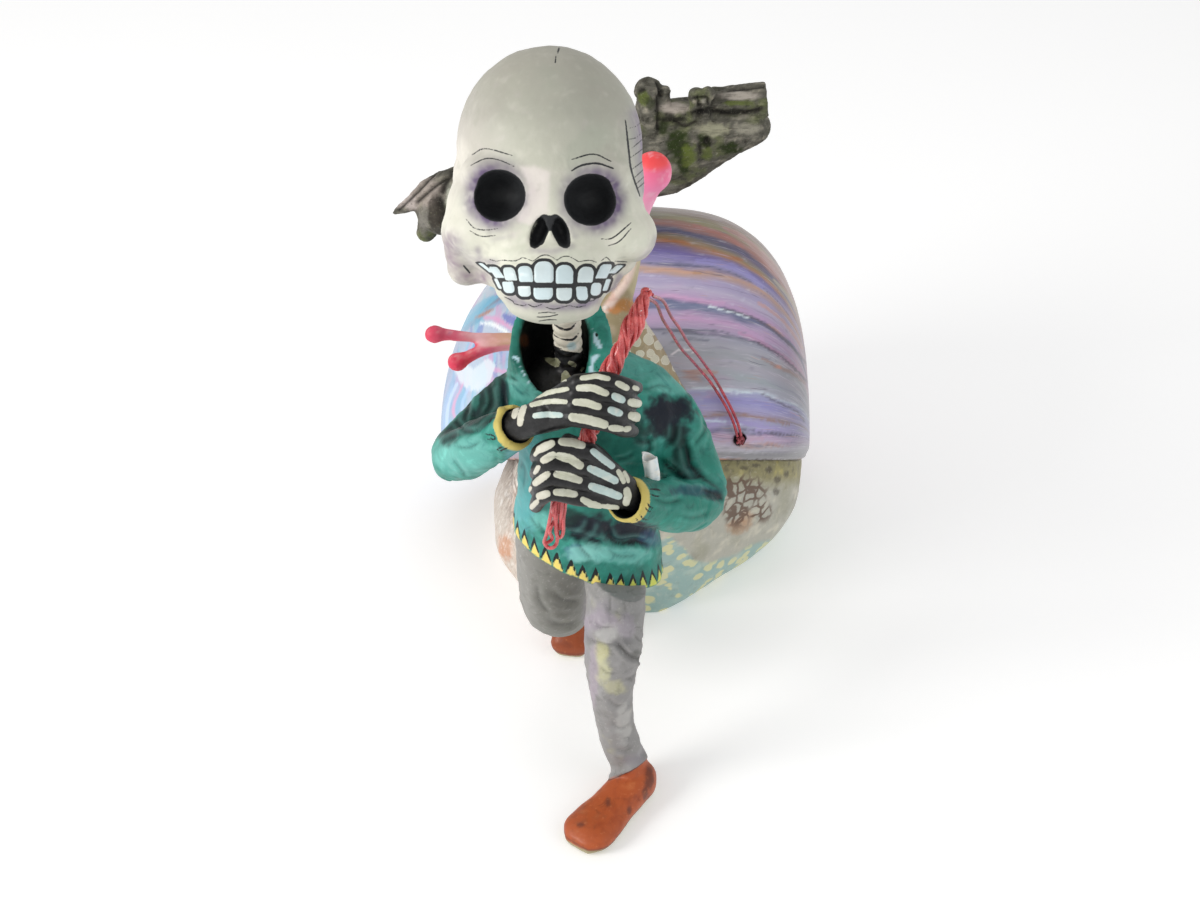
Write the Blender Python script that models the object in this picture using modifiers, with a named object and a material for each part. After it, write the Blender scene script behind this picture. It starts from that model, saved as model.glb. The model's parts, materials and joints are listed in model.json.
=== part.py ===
"""Paper-mache skeleton porter leading a giant snail.

A walking skeleton in a short jacket holds a twisted cord hank in both fists.
Two thin cords run from the hank to a knot in the rim of the snail's shell.
A weathered log rides on top of the shell.

Frame: metres, +Z up, +X to the figure's left hand, the figure walks towards -Y.
The ground is Z = 0.  The group is drawn in a frame whose origin lies between the
figure's feet, and moved at the end so that the origin is on the ground under the
middle of the group's bounding box.
"""
import math
from math import cos, pi, radians, sin, sqrt

import bmesh
import bpy
import numpy as np
from mathutils import Matrix, Vector

# ---------------------------------------------------------------- dimensions
GAP = 0.0003                      # clearance between neighbouring pieces
ORIGIN = Vector((0.0031, 0.1207, 0.0))   # middle of the footprint, as drawn

# skull: centre, tilt of the face upwards, half width of the cranium
SK_C = Vector((-0.0265, -0.030, 0.413))
SK_TILT = radians(28.0)
SK_HALF_WIDTH = 0.0510
EYE_R = 0.0136

# jacket: height of the hem plane at x = 0 and its slope to the side
HEM_Z = 0.151
HEM_SLOPE = -0.427

# shell: axis of the coil (runs along X), half width, radii round the axis
SH_Y, SH_Z = 0.220, 0.065
SH_X0, SH_X1 = -0.1190, 0.1505
SH_SQUARE = (2.15, 3.3)           # how boxy the shell is on its left and right
SH_RADII = ((149, 0.124), (120, 0.150), (90, 0.171), (61, 0.177), (35, 0.163),
            (0, 0.132), (-36, 0.094), (-80, 0.080), (-130, 0.082), (-180, 0.104),
            (-211, 0.124))
LIP_Y, LIP_Z, LIP_SLOPE = 0.115, 0.128, -0.7346   # plane of the shell's mouth
HOLE = Vector((0.0955, 0.1215, 0.1400))           # knot hole in the rim
HOLE_R, HOLE_DEPTH = 0.0042, 0.010

# cord
HANK_PATH = ((0.0246, -0.0590, 0.3666), (0.0171, -0.0690, 0.3509),
             (0.0070, -0.0750, 0.3311), (0.0000, -0.0790, 0.3130),
             (-0.0066, -0.0825, 0.2888), (-0.0157, -0.0840, 0.2534),
             (-0.0209, -0.0820, 0.2341), (-0.0271, -0.0750, 0.2082))
HANK_R = (0.0034, 0.0054, 0.0060, 0.0060, 0.0058, 0.0058, 0.0062, 0.0054)
STRAND_D = 0.0019
STRAND_PATH = ((0.0268, -0.0556, 0.3631), (0.0282, -0.0500, 0.3580),
               (0.0308, -0.0390, 0.3502), (0.0342, -0.0200, 0.3358),
               (0.0392, 0.0150, 0.3046), (0.0454, 0.0420, 0.2792),
               (0.0526, 0.0700, 0.2503), (0.0613, 0.0960, 0.2236),
               (0.0679, 0.1150, 0.2033), (0.0752, 0.1252, 0.1868),
               (0.0818, 0.1256, 0.1744), (0.0877, 0.1230, 0.1640),
               (0.0920, 0.1198, 0.1546), (0.0945, 0.1183, 0.1458))
KNOT_R = 0.0030

# white roll in the crook of the left arm
ROLL = Vector((0.0298, -0.0635, 0.2530))
ROLL_R, ROLL_H = (0.0050, 0.0046), 0.021


# ------------------------------------------------------------------- helpers
def clear_scene():
    for ob in list(bpy.data.objects):
        bpy.data.objects.remove(ob, do_unlink=True)
    for me in list(bpy.data.meshes):
        bpy.data.meshes.remove(me)


def material(name, colour, rough, metal=0.0):
    m = bpy.data.materials.new(name)
    m.use_nodes = True
    b = m.node_tree.nodes["Principled BSDF"]
    b.inputs["Base Color"].default_value = (*colour, 1.0)
    b.inputs["Roughness"].default_value = rough
    b.inputs["Metallic"].default_value = metal
    m.diffuse_color = (*colour, 1.0)
    return m


def smooth_path(points, count):
    """Points on a Catmull-Rom curve through the given points."""
    p = [np.array(q, float) for q in points]
    p = [2 * p[0] - p[1]] + p + [2 * p[-1] - p[-2]]
    n = len(p) - 3
    out = []
    for i in range(count):
        s = i * n / (count - 1)
        k = min(int(s), n - 1)
        t = s - k
        a, b, c, d = p[k], p[k + 1], p[k + 2], p[k + 3]
        out.append(0.5 * ((2 * b) + (c - a) * t + (2 * a - 5 * b + 4 * c - d) * t ** 2
                          + (3 * b - a - 3 * c + d) * t ** 3))
    return np.array(out)


def ball(bm, centre, radii, frame=None, seg=24, rings=14):
    """An ellipsoid; frame is a 3x3 matrix whose columns are its axes."""
    r = radii if hasattr(radii, "__len__") else (radii,) * 3
    m = Matrix.Translation(Vector(centre))
    if frame is not None:
        m = m @ frame.to_4x4()
    m = m @ Matrix.Diagonal((*r, 1.0))
    bmesh.ops.create_uvsphere(bm, u_segments=seg, v_segments=rings, radius=1.0, matrix=m)


def rings_to_faces(bm, rings):
    """A closed skin over a list of rings of points, capped at both ends."""
    vs = [[bm.verts.new(Vector(p)) for p in ring] for ring in rings]
    n = len(vs[0])
    for a, b in zip(vs, vs[1:]):
        for i in range(n):
            bm.faces.new((a[i], a[(i + 1) % n], b[(i + 1) % n], b[i]))
    bm.faces.new(list(reversed(vs[0])))
    bm.faces.new(vs[-1])


def frames_along(path, up=(0, 0, 1)):
    """Side and up directions for each point of a path."""
    path = np.asarray(path, float)
    t = np.gradient(path, axis=0)
    t /= np.linalg.norm(t, axis=1)[:, None]
    out = []
    u = np.array(up, float)
    for d in t:
        s = np.cross(d, u)
        if np.linalg.norm(s) < 1e-6:
            s = np.cross(d, np.array((0.0, 1.0, 0.0)))
        s /= np.linalg.norm(s)
        w = np.cross(s, d)
        out.append((s, w / np.linalg.norm(w)))
        u = w
    return out


def tube(bm, points, radii, count=None, flat=1.0, up=(0, 0, 1), seg=20, round_ends=True):
    """A tapering tube through the points; flat squeezes it along 'up'."""
    count = count or (len(points) - 1) * 6 + 1
    path = smooth_path(points, count)
    r = smooth_path([(q,) for q in radii], count)[:, 0]
    rings = []
    ang = np.linspace(0, 2 * pi, seg, endpoint=False)
    fr = frames_along(path, up)
    for p, q, (s, w) in zip(path, r, fr):
        rings.append([p + q * (cos(a) * s + sin(a) * flat * w) for a in ang])
    rings_to_faces(bm, rings)
    if round_ends:
        for k in (0, -1):
            s, w = fr[k]
            d = np.cross(s, w)
            ball(bm, path[k], (r[k] * 0.999, r[k] * flat * 0.999, r[k] * 0.95),
                 Matrix((s, w, d)).transposed(), 20, 12)


def mesh_object(name, bm, coll):
    me = bpy.data.meshes.new(name)
    bm.to_mesh(me)
    bm.free()
    ob = bpy.data.objects.new(name, me)
    coll.objects.link(ob)
    return ob


def bake(ob):
    """Replace the object's mesh by what its modifiers make of it."""
    bpy.context.view_layer.update()
    dg = bpy.context.evaluated_depsgraph_get()
    me = bpy.data.meshes.new_from_object(ob.evaluated_get(dg), depsgraph=dg)
    ob.modifiers.clear()
    ob.data = me
    return ob


def largest_shell(ob):
    """Keep only the biggest connected body of the mesh."""
    bm = bmesh.new()
    bm.from_mesh(ob.data)
    bm.verts.ensure_lookup_table()
    seen, best, groups = set(), None, []
    for v in bm.verts:
        if v.index in seen:
            continue
        stack, grp = [v], []
        seen.add(v.index)
        while stack:
            a = stack.pop()
            grp.append(a)
            for e in a.link_edges:
                o = e.other_vert(a)
                if o.index not in seen:
                    seen.add(o.index)
                    stack.append(o)
        groups.append(grp)
    groups.sort(key=len)
    for g in groups[:-1]:
        bmesh.ops.delete(bm, geom=g, context="VERTS")
    bm.to_mesh(ob.data)
    bm.free()
    return ob


def tri_count(ob):
    return sum(len(p.vertices) - 2 for p in ob.data.polygons)


def blob(name, bm, coll, voxel, smooth, tris):
    """Melt overlapping shapes into one skin, smooth it and thin it out."""
    ob = mesh_object(name, bm, coll)
    m = ob.modifiers.new("melt", "REMESH")
    m.mode = "VOXEL"
    m.voxel_size = voxel
    m.adaptivity = 0.0
    s = ob.modifiers.new("smooth", "SMOOTH")
    s.factor = 0.5
    s.iterations = smooth
    bake(ob)
    largest_shell(ob)
    if tris:
        d = ob.modifiers.new("thin", "DECIMATE")
        d.ratio = min(1.0, tris / tri_count(ob))
        bake(ob)
    return ob


def boolean(ob, tool, kind="DIFFERENCE"):
    m = ob.modifiers.new("cut", "BOOLEAN")
    m.operation = kind
    m.object = tool
    m.solver = "EXACT"
    bake(ob)
    return ob


def grown(ob, by, cutters):
    """A copy of a piece pushed out along its normals, to cut a clearance."""
    c = ob.copy()
    c.data = ob.data.copy()
    c.name = ob.name + "_room"
    cutters.objects.link(c)
    d = c.modifiers.new("grow", "DISPLACE")
    d.mid_level = 0.0
    d.strength = by
    bake(c)
    hide(c)
    return c


def hide(ob):
    ob.hide_render = True
    ob.display_type = "WIRE"


def trim(ob, other, cutters, by=GAP * 1.3):
    """Cut the piece back so that it clears a neighbour."""
    c = grown(other, by, cutters)
    boolean(ob, c)
    largest_shell(ob)
    return ob


def slice_off(ob, point, normal):
    """Cut the piece flat and throw away what lies on the normal's side."""
    bm = bmesh.new()
    bm.from_mesh(ob.data)
    bmesh.ops.bisect_plane(bm, geom=bm.verts[:] + bm.edges[:] + bm.faces[:],
                           dist=1e-6, plane_co=Vector(point), plane_no=Vector(normal),
                           clear_outer=True)
    edges = [e for e in bm.edges if e.is_boundary]
    res = bmesh.ops.holes_fill(bm, edges=edges, sides=0)
    bmesh.ops.triangulate(bm, faces=[f for f in res["faces"] if len(f.verts) > 3])
    bm.to_mesh(ob.data)
    bm.free()
    return largest_shell(ob)


def tidy(ob):
    """Weld slivers, triangulate and make the skin face out."""
    bm = bmesh.new()
    bm.from_mesh(ob.data)
    bmesh.ops.remove_doubles(bm, verts=bm.verts, dist=2e-5)
    bmesh.ops.dissolve_degenerate(bm, edges=bm.edges, dist=1e-5)
    bmesh.ops.triangulate(bm, faces=bm.faces)
    bmesh.ops.recalc_face_normals(bm, faces=bm.faces)
    bm.to_mesh(ob.data)
    bm.free()
    return ob


# ---------------------------------------------------------------- the shapes
SX = Vector((1, 0, 0))
SN = Vector((0, -cos(SK_TILT), sin(SK_TILT)))     # out of the face
ST = Vector((0, sin(SK_TILT), cos(SK_TILT)))      # up the face
SK_FRAME = Matrix((SX, ST, SN)).transposed()


def sk(x, n, t):
    return SK_C + SX * x + SN * n + ST * t


def sk_ball(bm, c, r):
    ball(bm, sk(*c), (r[0], r[2], r[1]), SK_FRAME)


def skull_shapes(bm):
    w = SK_HALF_WIDTH
    sk_ball(bm, (0.000, -0.006, 0.0225), (w, 0.057, 0.0545))         # cranium
    sk_ball(bm, (0.001, -0.004, 0.004), (w + 0.0025, 0.052, 0.046))
    sk_ball(bm, (-0.001, 0.008, -0.012), (w + 0.0020, 0.044, 0.040))  # face
    for s, x, t in ((-1, -0.0450, -0.0215), (1, 0.0440, -0.0235)):    # cheekbones
        sk_ball(bm, (x, 0.008, t), (0.0125, 0.021, 0.0150))
        sk_ball(bm, (x * 0.74, 0.022, t + 0.001), (0.020, 0.019, 0.014))
    for t, rx, n, rn in ((-0.0330, 0.037, 0.020, 0.036), (-0.0440, 0.0350, 0.022, 0.038),
                         (-0.0530, 0.0315, 0.022, 0.036)):
        sk_ball(bm, (0.001, n, t), (rx, rn, 0.0130))                 # muzzle
    sk_ball(bm, (0.0015, 0.026, -0.0618), (0.0270, 0.027, 0.0115))   # chin
    sk_ball(bm, (0.0, 0.010, -0.047), (0.032, 0.032, 0.016))
    sk_ball(bm, (-0.0430, -0.012, -0.0390), (0.0150, 0.022, 0.0130))  # jaw corners
    sk_ball(bm, (-0.0450, -0.004, -0.0310), (0.0130, 0.022, 0.0140))
    sk_ball(bm, (0.0340, -0.016, -0.0350), (0.0130, 0.022, 0.0120))
    for jaw in (((-0.0440, -0.010, -0.0400), (-0.0330, 0.004, -0.0490), (-0.0140, 0.020, -0.0600)),
                ((0.0340, -0.014, -0.0360), (0.0290, 0.004, -0.0480), (0.0150, 0.020, -0.0600))):
        tube(bm, [sk(*q) for q in jaw], (0.0100, 0.0095, 0.0100), seg=16)
    for x, t in ((-0.0253, 0.0100), (0.0235, 0.0095)):               # brow ridges
        sk_ball(bm, (x, 0.027, t), (0.021, 0.0190, 0.0100))
    sk_ball(bm, (0.000, 0.034, -0.002), (0.0100, 0.0165, 0.020))     # nose bridge


def skull_hollows(bm):
    for x, t in ((-0.0253, -0.0035), (0.0222, -0.0055)):
        ball(bm, sk(x, 0.047, t), (EYE_R, EYE_R, 0.021), SK_FRAME, 18, 10)
    for x in (-0.0045, 0.0060):
        ball(bm, sk(x + 0.0004, 0.054, -0.0205), (0.0043, 0.0088, 0.0130),
             SK_FRAME @ Matrix.Rotation(radians(-24 if x < 0 else 24), 3, "Z"), 12, 8)


def chest_shapes(bm):
    tube(bm, ((-0.0170, -0.010, 0.268), (-0.0180, -0.016, 0.300),
              (-0.0190, -0.022, 0.330), (-0.0200, -0.026, 0.360)),
         (0.0088, 0.0088, 0.0088, 0.0088))
    ball(bm, (-0.0180, -0.012, 0.262), (0.038, 0.030, 0.030))


JACKET_SECTIONS = (      # z, centre x, centre y, half width, half depth
    (0.118, -0.008, -0.010, 0.0485, 0.0375), (0.150, -0.008, -0.010, 0.0465, 0.0360),
    (0.180, -0.009, -0.012, 0.0440, 0.0345), (0.210, -0.006, -0.013, 0.0430, 0.0340),
    (0.240, -0.003, -0.013, 0.0460, 0.0350), (0.262, -0.003, -0.011, 0.0500, 0.0340),
    (0.278, -0.010, -0.010, 0.0450, 0.0320), (0.290, -0.018, -0.012, 0.0345, 0.0320),
    (0.300, -0.0220, -0.016, 0.0290, 0.0310), (0.318, -0.0220, -0.017, 0.0285, 0.0300),
    (0.335, -0.0220, -0.016, 0.0285, 0.0285))
COLLAR_BACK = (0.014, 0.3280)     # y, z of the collar's rim behind and in front
COLLAR_FRONT = (-0.046, 0.2870)
SLEEVE_L = (((0.026, -0.004, 0.267), 0.0190), ((0.045, -0.008, 0.252), 0.0210),
            ((0.055, -0.014, 0.228), 0.0200), ((0.057, -0.030, 0.211), 0.0180),
            ((0.044, -0.054, 0.221), 0.0160), ((0.0245, -0.0770, 0.2420), 0.0138))
SLEEVE_R = (((-0.038, -0.004, 0.270), 0.0180), ((-0.060, -0.008, 0.262), 0.0185),
            ((-0.080, -0.022, 0.244), 0.0175), ((-0.083, -0.040, 0.242), 0.0160),
            ((-0.068, -0.060, 0.266), 0.0145), ((-0.0530, -0.0730, 0.2850), 0.0132))


def jacket_shapes(bm):
    ang = np.linspace(0, 2 * pi, 36, endpoint=False)
    sec = smooth_path(JACKET_SECTIONS, 34)
    rings = []
    for z, cx, cy, rx, ry in sec:
        ring = []
        for a in ang:
            ca, sa = cos(a), sin(a)
            k = (abs(ca) ** 2.1 + abs(sa) ** 2.1) ** (-1 / 2.1)
            ring.append((cx + rx * k * ca, cy + ry * k * sa, z))
        rings.append(ring)
    rings_to_faces(bm, rings)
    for sleeve in (SLEEVE_L, SLEEVE_R):
        tube(bm, [p for p, r in sleeve], [r for p, r in sleeve], seg=28)


def collar_room(bm):
    """Everything above the sloping rim of the collar."""
    (y0, z0), (y1, z1) = COLLAR_BACK, COLLAR_FRONT
    ang = math.atan2(z0 - z1, y0 - y1)
    m = Matrix.Translation((-0.0220, (y0 + y1) / 2, (z0 + z1) / 2)) @ \
        Matrix.Rotation(ang, 4, "X") @ Matrix.Translation((0, 0.010, 0.030)) @ \
        Matrix.Diagonal((0.0720, 0.0900, 0.0600, 1.0))
    bmesh.ops.create_cube(bm, size=1.0, matrix=m)


def collar_hollow(bm):
    """The neck opening: a bowl inside the rim that runs to a point in front."""
    rings = []
    ang = np.linspace(0, 2 * pi, 22, endpoint=False)
    for z, cx, cy, rx, ry in smooth_path(
            ((0.258, -0.0180, -0.016, 0.0080, 0.0070), (0.264, -0.0185, -0.016, 0.0170, 0.0150),
             (0.280, -0.0200, -0.016, 0.0225, 0.0215), (0.300, -0.0215, -0.016, 0.0250, 0.0265),
             (0.320, -0.0218, -0.016, 0.0250, 0.0262), (0.345, -0.0218, -0.016, 0.0250, 0.0262)),
            9):
        rings.append([(cx + rx * cos(a), cy + ry * sin(a) * (1.12 if sin(a) < 0 else 1.0), z)
                      for a in ang])
    rings_to_faces(bm, rings)


def finger_rows(k1, k4, p1, p4, d1, d4, t1, t4):
    rows = []
    for i in range(4):
        f = i / 3.0
        rows.append([tuple(np.array(a) * (1 - f) + np.array(b) * f)
                     for a, b in ((k1, k4), (p1, p4), (d1, d4), (t1, t4))])
    return rows


R_FINGERS = finger_rows((-0.0120, -0.0925, 0.3315), (-0.0155, -0.0980, 0.3125),
                        (0.0030, -0.0945, 0.3345), (0.0030, -0.0990, 0.3095),
                        (0.0140, -0.0895, 0.3275), (0.0125, -0.0925, 0.3010),
                        (0.0200, -0.0790, 0.3190), (0.0180, -0.0830, 0.2930))
L_FINGERS = finger_rows((-0.0060, -0.0965, 0.2890), (-0.0110, -0.0990, 0.2600),
                        (-0.0235, -0.1015, 0.2960), (-0.0255, -0.1015, 0.2650),
                        (-0.0320, -0.0970, 0.2895), (-0.0325, -0.0975, 0.2585),
                        (-0.0350, -0.0865, 0.2780), (-0.0360, -0.0880, 0.2450))
R_WRIST, L_WRIST = (-0.0500, -0.0745, 0.2880), (0.0215, -0.0790, 0.2440)


def hand_shapes(bm, wrist, rows, thumb, finger_r):
    for row in rows:
        tube(bm, row, (finger_r * 1.12, finger_r * 1.05, finger_r, finger_r * 0.82), seg=16)
        mid = np.array(row[0]) * 0.62 + np.array(wrist) * 0.38
        tube(bm, (wrist, tuple(mid), row[0]), (finger_r * 1.5, finger_r * 1.3, finger_r * 1.12),
             seg=16)
    tube(bm, thumb, (finger_r * 1.2, finger_r * 1.1, finger_r * 0.9), seg=16)
    k = np.mean([r[0] for r in rows], axis=0)
    w = np.array(wrist)
    tube(bm, (tuple(w), tuple(w * 0.4 + k * 0.6)), (0.0092, 0.0085), seg=20)
    back = w + (w - k) / np.linalg.norm(w - k) * 0.012
    tube(bm, (tuple(back), tuple(w)), (0.0088, 0.0092), seg=20)


R_THUMB = ((-0.0380, -0.0760, 0.2950), (-0.0200, -0.0670, 0.3020), (-0.0020, -0.0640, 0.3040))
L_THUMB = ((0.0100, -0.0800, 0.2560), (-0.0020, -0.0700, 0.2680), (-0.0180, -0.0680, 0.2760))


def leg_shapes(bm):
    ball(bm, (-0.0130, -0.006, 0.160), (0.0340, 0.0260, 0.0200))
    ball(bm, (-0.0300, 0.002, 0.140), (0.0215, 0.0225, 0.0300))
    # the front leg, straight, its knee a little forward
    tube(bm, ((0.0090, -0.018, 0.165), (0.0095, -0.040, 0.140), (0.0085, -0.0560, 0.112),
              (0.0085, -0.0600, 0.092), (0.0100, -0.0620, 0.060), (0.0150, -0.0630, 0.036),
              (0.0185, -0.0620, 0.018)),
         (0.0215, 0.0190, 0.0180, 0.0160, 0.0132, 0.0112, 0.0110))
    # the rear leg, knee bent, the foot behind on its toes
    tube(bm, ((-0.0290, 0.000, 0.155), (-0.0310, 0.004, 0.125), (-0.0300, 0.012, 0.092),
              (-0.0270, 0.026, 0.068)),
         (0.0240, 0.0240, 0.0240, 0.0215))
    tube(bm, ((-0.0280, 0.016, 0.084), (-0.0260, 0.034, 0.066), (-0.0240, 0.062, 0.056),
              (-0.0215, 0.084, 0.049)),
         (0.0220, 0.0190, 0.0135, 0.0115))
    # shoes: heel, waist, ball and toe along the sole
    shoe(bm, (0.0270, -0.0665, 0.0), (-0.0105, -0.1165, 0.0), 1.0)
    shoe(bm, (-0.0165, 0.0920, 0.0300), (-0.0220, 0.0590, 0.0), 0.82)
    ball(bm, (0.0205, -0.0650, 0.018), (0.0128, 0.0145, 0.0180))
    ball(bm, (-0.0195, 0.0860, 0.0400), (0.0120, 0.0130, 0.0140))


def shoe(bm, heel, toe, wide):
    heel, toe = np.array(heel), np.array(toe)
    d = toe - heel
    length = np.linalg.norm(d)
    d /= length
    side = np.cross(d, (0, 0, 1.0))
    side /= np.linalg.norm(side)
    up = np.cross(side, d)
    stations = ((-0.08, 0.0075, 0.020), (0.05, 0.0128, 0.022), (0.25, 0.0138, 0.020),
                (0.5, 0.0146, 0.0165), (0.75, 0.0168, 0.0150), (0.93, 0.0164, 0.0130),
                (1.06, 0.0095, 0.0085))
    sec = smooth_path(stations, 25)
    ang = np.linspace(0, 2 * pi, 24, endpoint=False)
    rings = []
    for s, w, h in sec:
        c = heel + d * length * s
        ring = []
        for a in ang:
            x, z = cos(a), sin(a)
            k = (abs(x) ** 2.6 + abs(z) ** 2.6) ** (-1 / 2.6)
            ring.append(c + side * w * wide * k * x + up * (h / 2 + h / 2 * k * z))
        rings.append(ring)
    rings_to_faces(bm, rings)


def shell_radius(theta):
    """Radius round the axis at an angle (radians, from +Y towards +Z)."""
    a = [q[0] for q in SH_RADII]
    r = [q[1] for q in SH_RADII]
    deg = math.degrees(theta)
    while deg > a[0]:
        deg -= 360.0
    while deg < a[0] - 360.0:
        deg += 360.0
    pts = smooth_path([(x, y) for x, y in zip(a, r)], 241)
    return float(np.interp(-deg, -pts[:, 0], pts[:, 1]))


def shell_shapes(bm, nx=41, na=72):
    ang = np.linspace(0, 2 * pi, na, endpoint=False)
    rad = np.array([shell_radius(a) for a in ang])
    xc, hw = (SH_X0 + SH_X1) / 2, (SH_X1 - SH_X0) / 2
    rings = []
    for i in range(nx):
        u = -cos(pi * (i + 0.35) / (nx - 0.3))
        q = SH_SQUARE[0] + (SH_SQUARE[1] - SH_SQUARE[0]) * min(1, max(0, 0.5 + u))
        f = (1 - abs(u) ** q) ** (1 / q)
        # the left side is the spire: it is smaller and stands further back
        g = 1.0 - 0.10 * max(0.0, -u) ** 1.5
        dy = 0.010 * max(0.0, -u) ** 2
        x = xc + hw * u
        rings.append([(x, SH_Y + dy + r * f * g * cos(a), SH_Z + r * f * g * sin(a))
                      for a, r in zip(ang, rad)])
    rings_to_faces(bm, rings)


def snail_shapes(bm):
    # foot: wide stations from the front of the sole to the tail
    stations = ((0.104, 0.012, 0.038, 0.060), (0.111, 0.012, 0.061, 0.115),
                (0.128, 0.014, 0.085, 0.140), (0.150, 0.022, 0.103, 0.138),
                (0.180, 0.029, 0.116, 0.125), (0.215, 0.032, 0.117, 0.100),
                (0.250, 0.028, 0.102, 0.070), (0.285, 0.022, 0.080, 0.044),
                (0.315, 0.018, 0.056, 0.032), (0.345, 0.015, 0.032, 0.020),
                (0.366, 0.013, 0.010, 0.009))
    sec = smooth_path(stations, 41)
    ang = np.linspace(0, 2 * pi, 40, endpoint=False)
    rings = []
    for y, cx, hw, h in sec:
        ring = []
        for a in ang:
            x, z = cos(a), sin(a)
            k = (abs(x) ** 3.2 + abs(z) ** 3.2) ** (-1 / 3.2)
            zz = h * (0.5 + 0.5 * k * z) - 0.006
            # the right flank bulges above the sole, the left one draws in
            up = min(1.0, max(0.0, zz / 0.065))
            wide = 0.97 + 0.03 * up if x > 0 else 0.99 - 0.20 * up ** 2
            ring.append((cx + hw * wide * k * x, y, zz))
        rings.append(ring)
    rings_to_faces(bm, rings)
    # neck and head
    tube(bm, ((0.030, 0.175, 0.050), (0.026, 0.142, 0.105), (0.020, 0.116, 0.160),
              (0.010, 0.100, 0.205), (0.000, 0.088, 0.240)),
         (0.078, 0.066, 0.055, 0.044, 0.034), seg=32)
    ball(bm, (-0.004, 0.082, 0.2480), (0.036, 0.034, 0.030))
    # eye stalks: the near one stands up, the others reach out to the side
    tube(bm, ((0.006, 0.088, 0.262), (0.016, 0.096, 0.285), (0.0245, 0.100, 0.306),
              (0.0285, 0.102, 0.328), (0.0315, 0.102, 0.350)),
         (0.0130, 0.0105, 0.0085, 0.0085, 0.0110), seg=18)
    ball(bm, (0.0335, 0.102, 0.3520), (0.0122, 0.0115, 0.0135))
    tube(bm, ((-0.030, 0.076, 0.2440), (-0.056, 0.076, 0.2510), (-0.078, 0.073, 0.2540),
              (-0.0965, 0.071, 0.2585)), (0.0080, 0.0048, 0.0036, 0.0050), seg=16)
    ball(bm, (-0.0990, 0.0705, 0.2590), (0.0068, 0.0058, 0.0055))
    tube(bm, ((-0.030, 0.072, 0.2360), (-0.054, 0.069, 0.2420), (-0.072, 0.064, 0.2435),
              (-0.0850, 0.060, 0.2425)), (0.0080, 0.0048, 0.0036, 0.0050), seg=16)
    ball(bm, (-0.0870, 0.0595, 0.2415), (0.0066, 0.0058, 0.0060))


def log_shapes(bm):
    y = 0.262
    # main stem, a split log lying across the shell
    tube(bm, ((-0.1120, y, 0.2420), (-0.0700, y, 0.2640), (-0.0200, y, 0.2740),
              (0.0300, y, 0.2820), (0.0750, y, 0.2960), (0.1080, y, 0.3120)),
         (0.0200, 0.0240, 0.0265, 0.0260, 0.0225, 0.0130), flat=0.92, up=(0, 0, 1), seg=24)
    # the flat plank along its upper edge
    plank = Matrix.Translation((0.0790, y + 0.004, 0.3240)) @ \
        Matrix.Rotation(radians(-6), 4, "Y") @ Matrix.Diagonal((0.074, 0.020, 0.016, 1))
    bmesh.ops.create_cube(bm, size=1.0, matrix=plank)
    # knots and broken stubs
    tube(bm, ((0.0370, y, 0.2950), (0.0365, y, 0.3180), (0.0360, y, 0.3330)),
         (0.0130, 0.0110, 0.0092), seg=16)
    tube(bm, ((0.0655, y - 0.004, 0.3130), (0.0685, y - 0.006, 0.3275)),
         (0.0080, 0.0075), seg=16)
    # the pointed branch and the dark stub on the left
    tube(bm, ((-0.0900, y, 0.2580), (-0.1150, y, 0.2600), (-0.1320, y, 0.2480),
              (-0.1445, y, 0.2400)), (0.0150, 0.0110, 0.0065, 0.0018), seg=16)
    tube(bm, ((-0.1050, y, 0.2420), (-0.1230, y - 0.002, 0.2330), (-0.1275, y - 0.002, 0.2230)),
         (0.0120, 0.0085, 0.0070), seg=16)


def hank_shapes(bm):
    tube(bm, HANK_PATH, HANK_R, count=40, seg=14)


# ------------------------------------------------------------------ assembly
def cord_curve(name, points, diameter, coll, bevel_res=2):
    cu = bpy.data.curves.new(name, "CURVE")
    cu.dimensions = "3D"
    sp = cu.splines.new("POLY")
    sp.points.add(len(points) - 1)
    for q, p in zip(sp.points, points):
        q.co = (*p, 1.0)
    cu.bevel_depth = diameter / 2
    cu.bevel_resolution = bevel_res
    cu.use_fill_caps = True
    ob = bpy.data.objects.new(name, cu)
    coll.objects.link(ob)
    return ob


def strand_points(side):
    """One of the two thin cords: they part a little half way along."""
    base = smooth_path(STRAND_PATH, 30)
    n = len(base)
    out = []
    for i, p in enumerate(base):
        s = i / (n - 1)
        w = 0.0013 + 0.0016 * sin(pi * min(1.0, s * 1.15)) ** 2
        t = base[min(i + 1, n - 1)] - base[max(i - 1, 0)]
        d = np.cross(t, np.array((0.0, -1.0, 0.35)))
        d /= np.linalg.norm(d)
        out.append(tuple(p + side * w * d))
    return out


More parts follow.
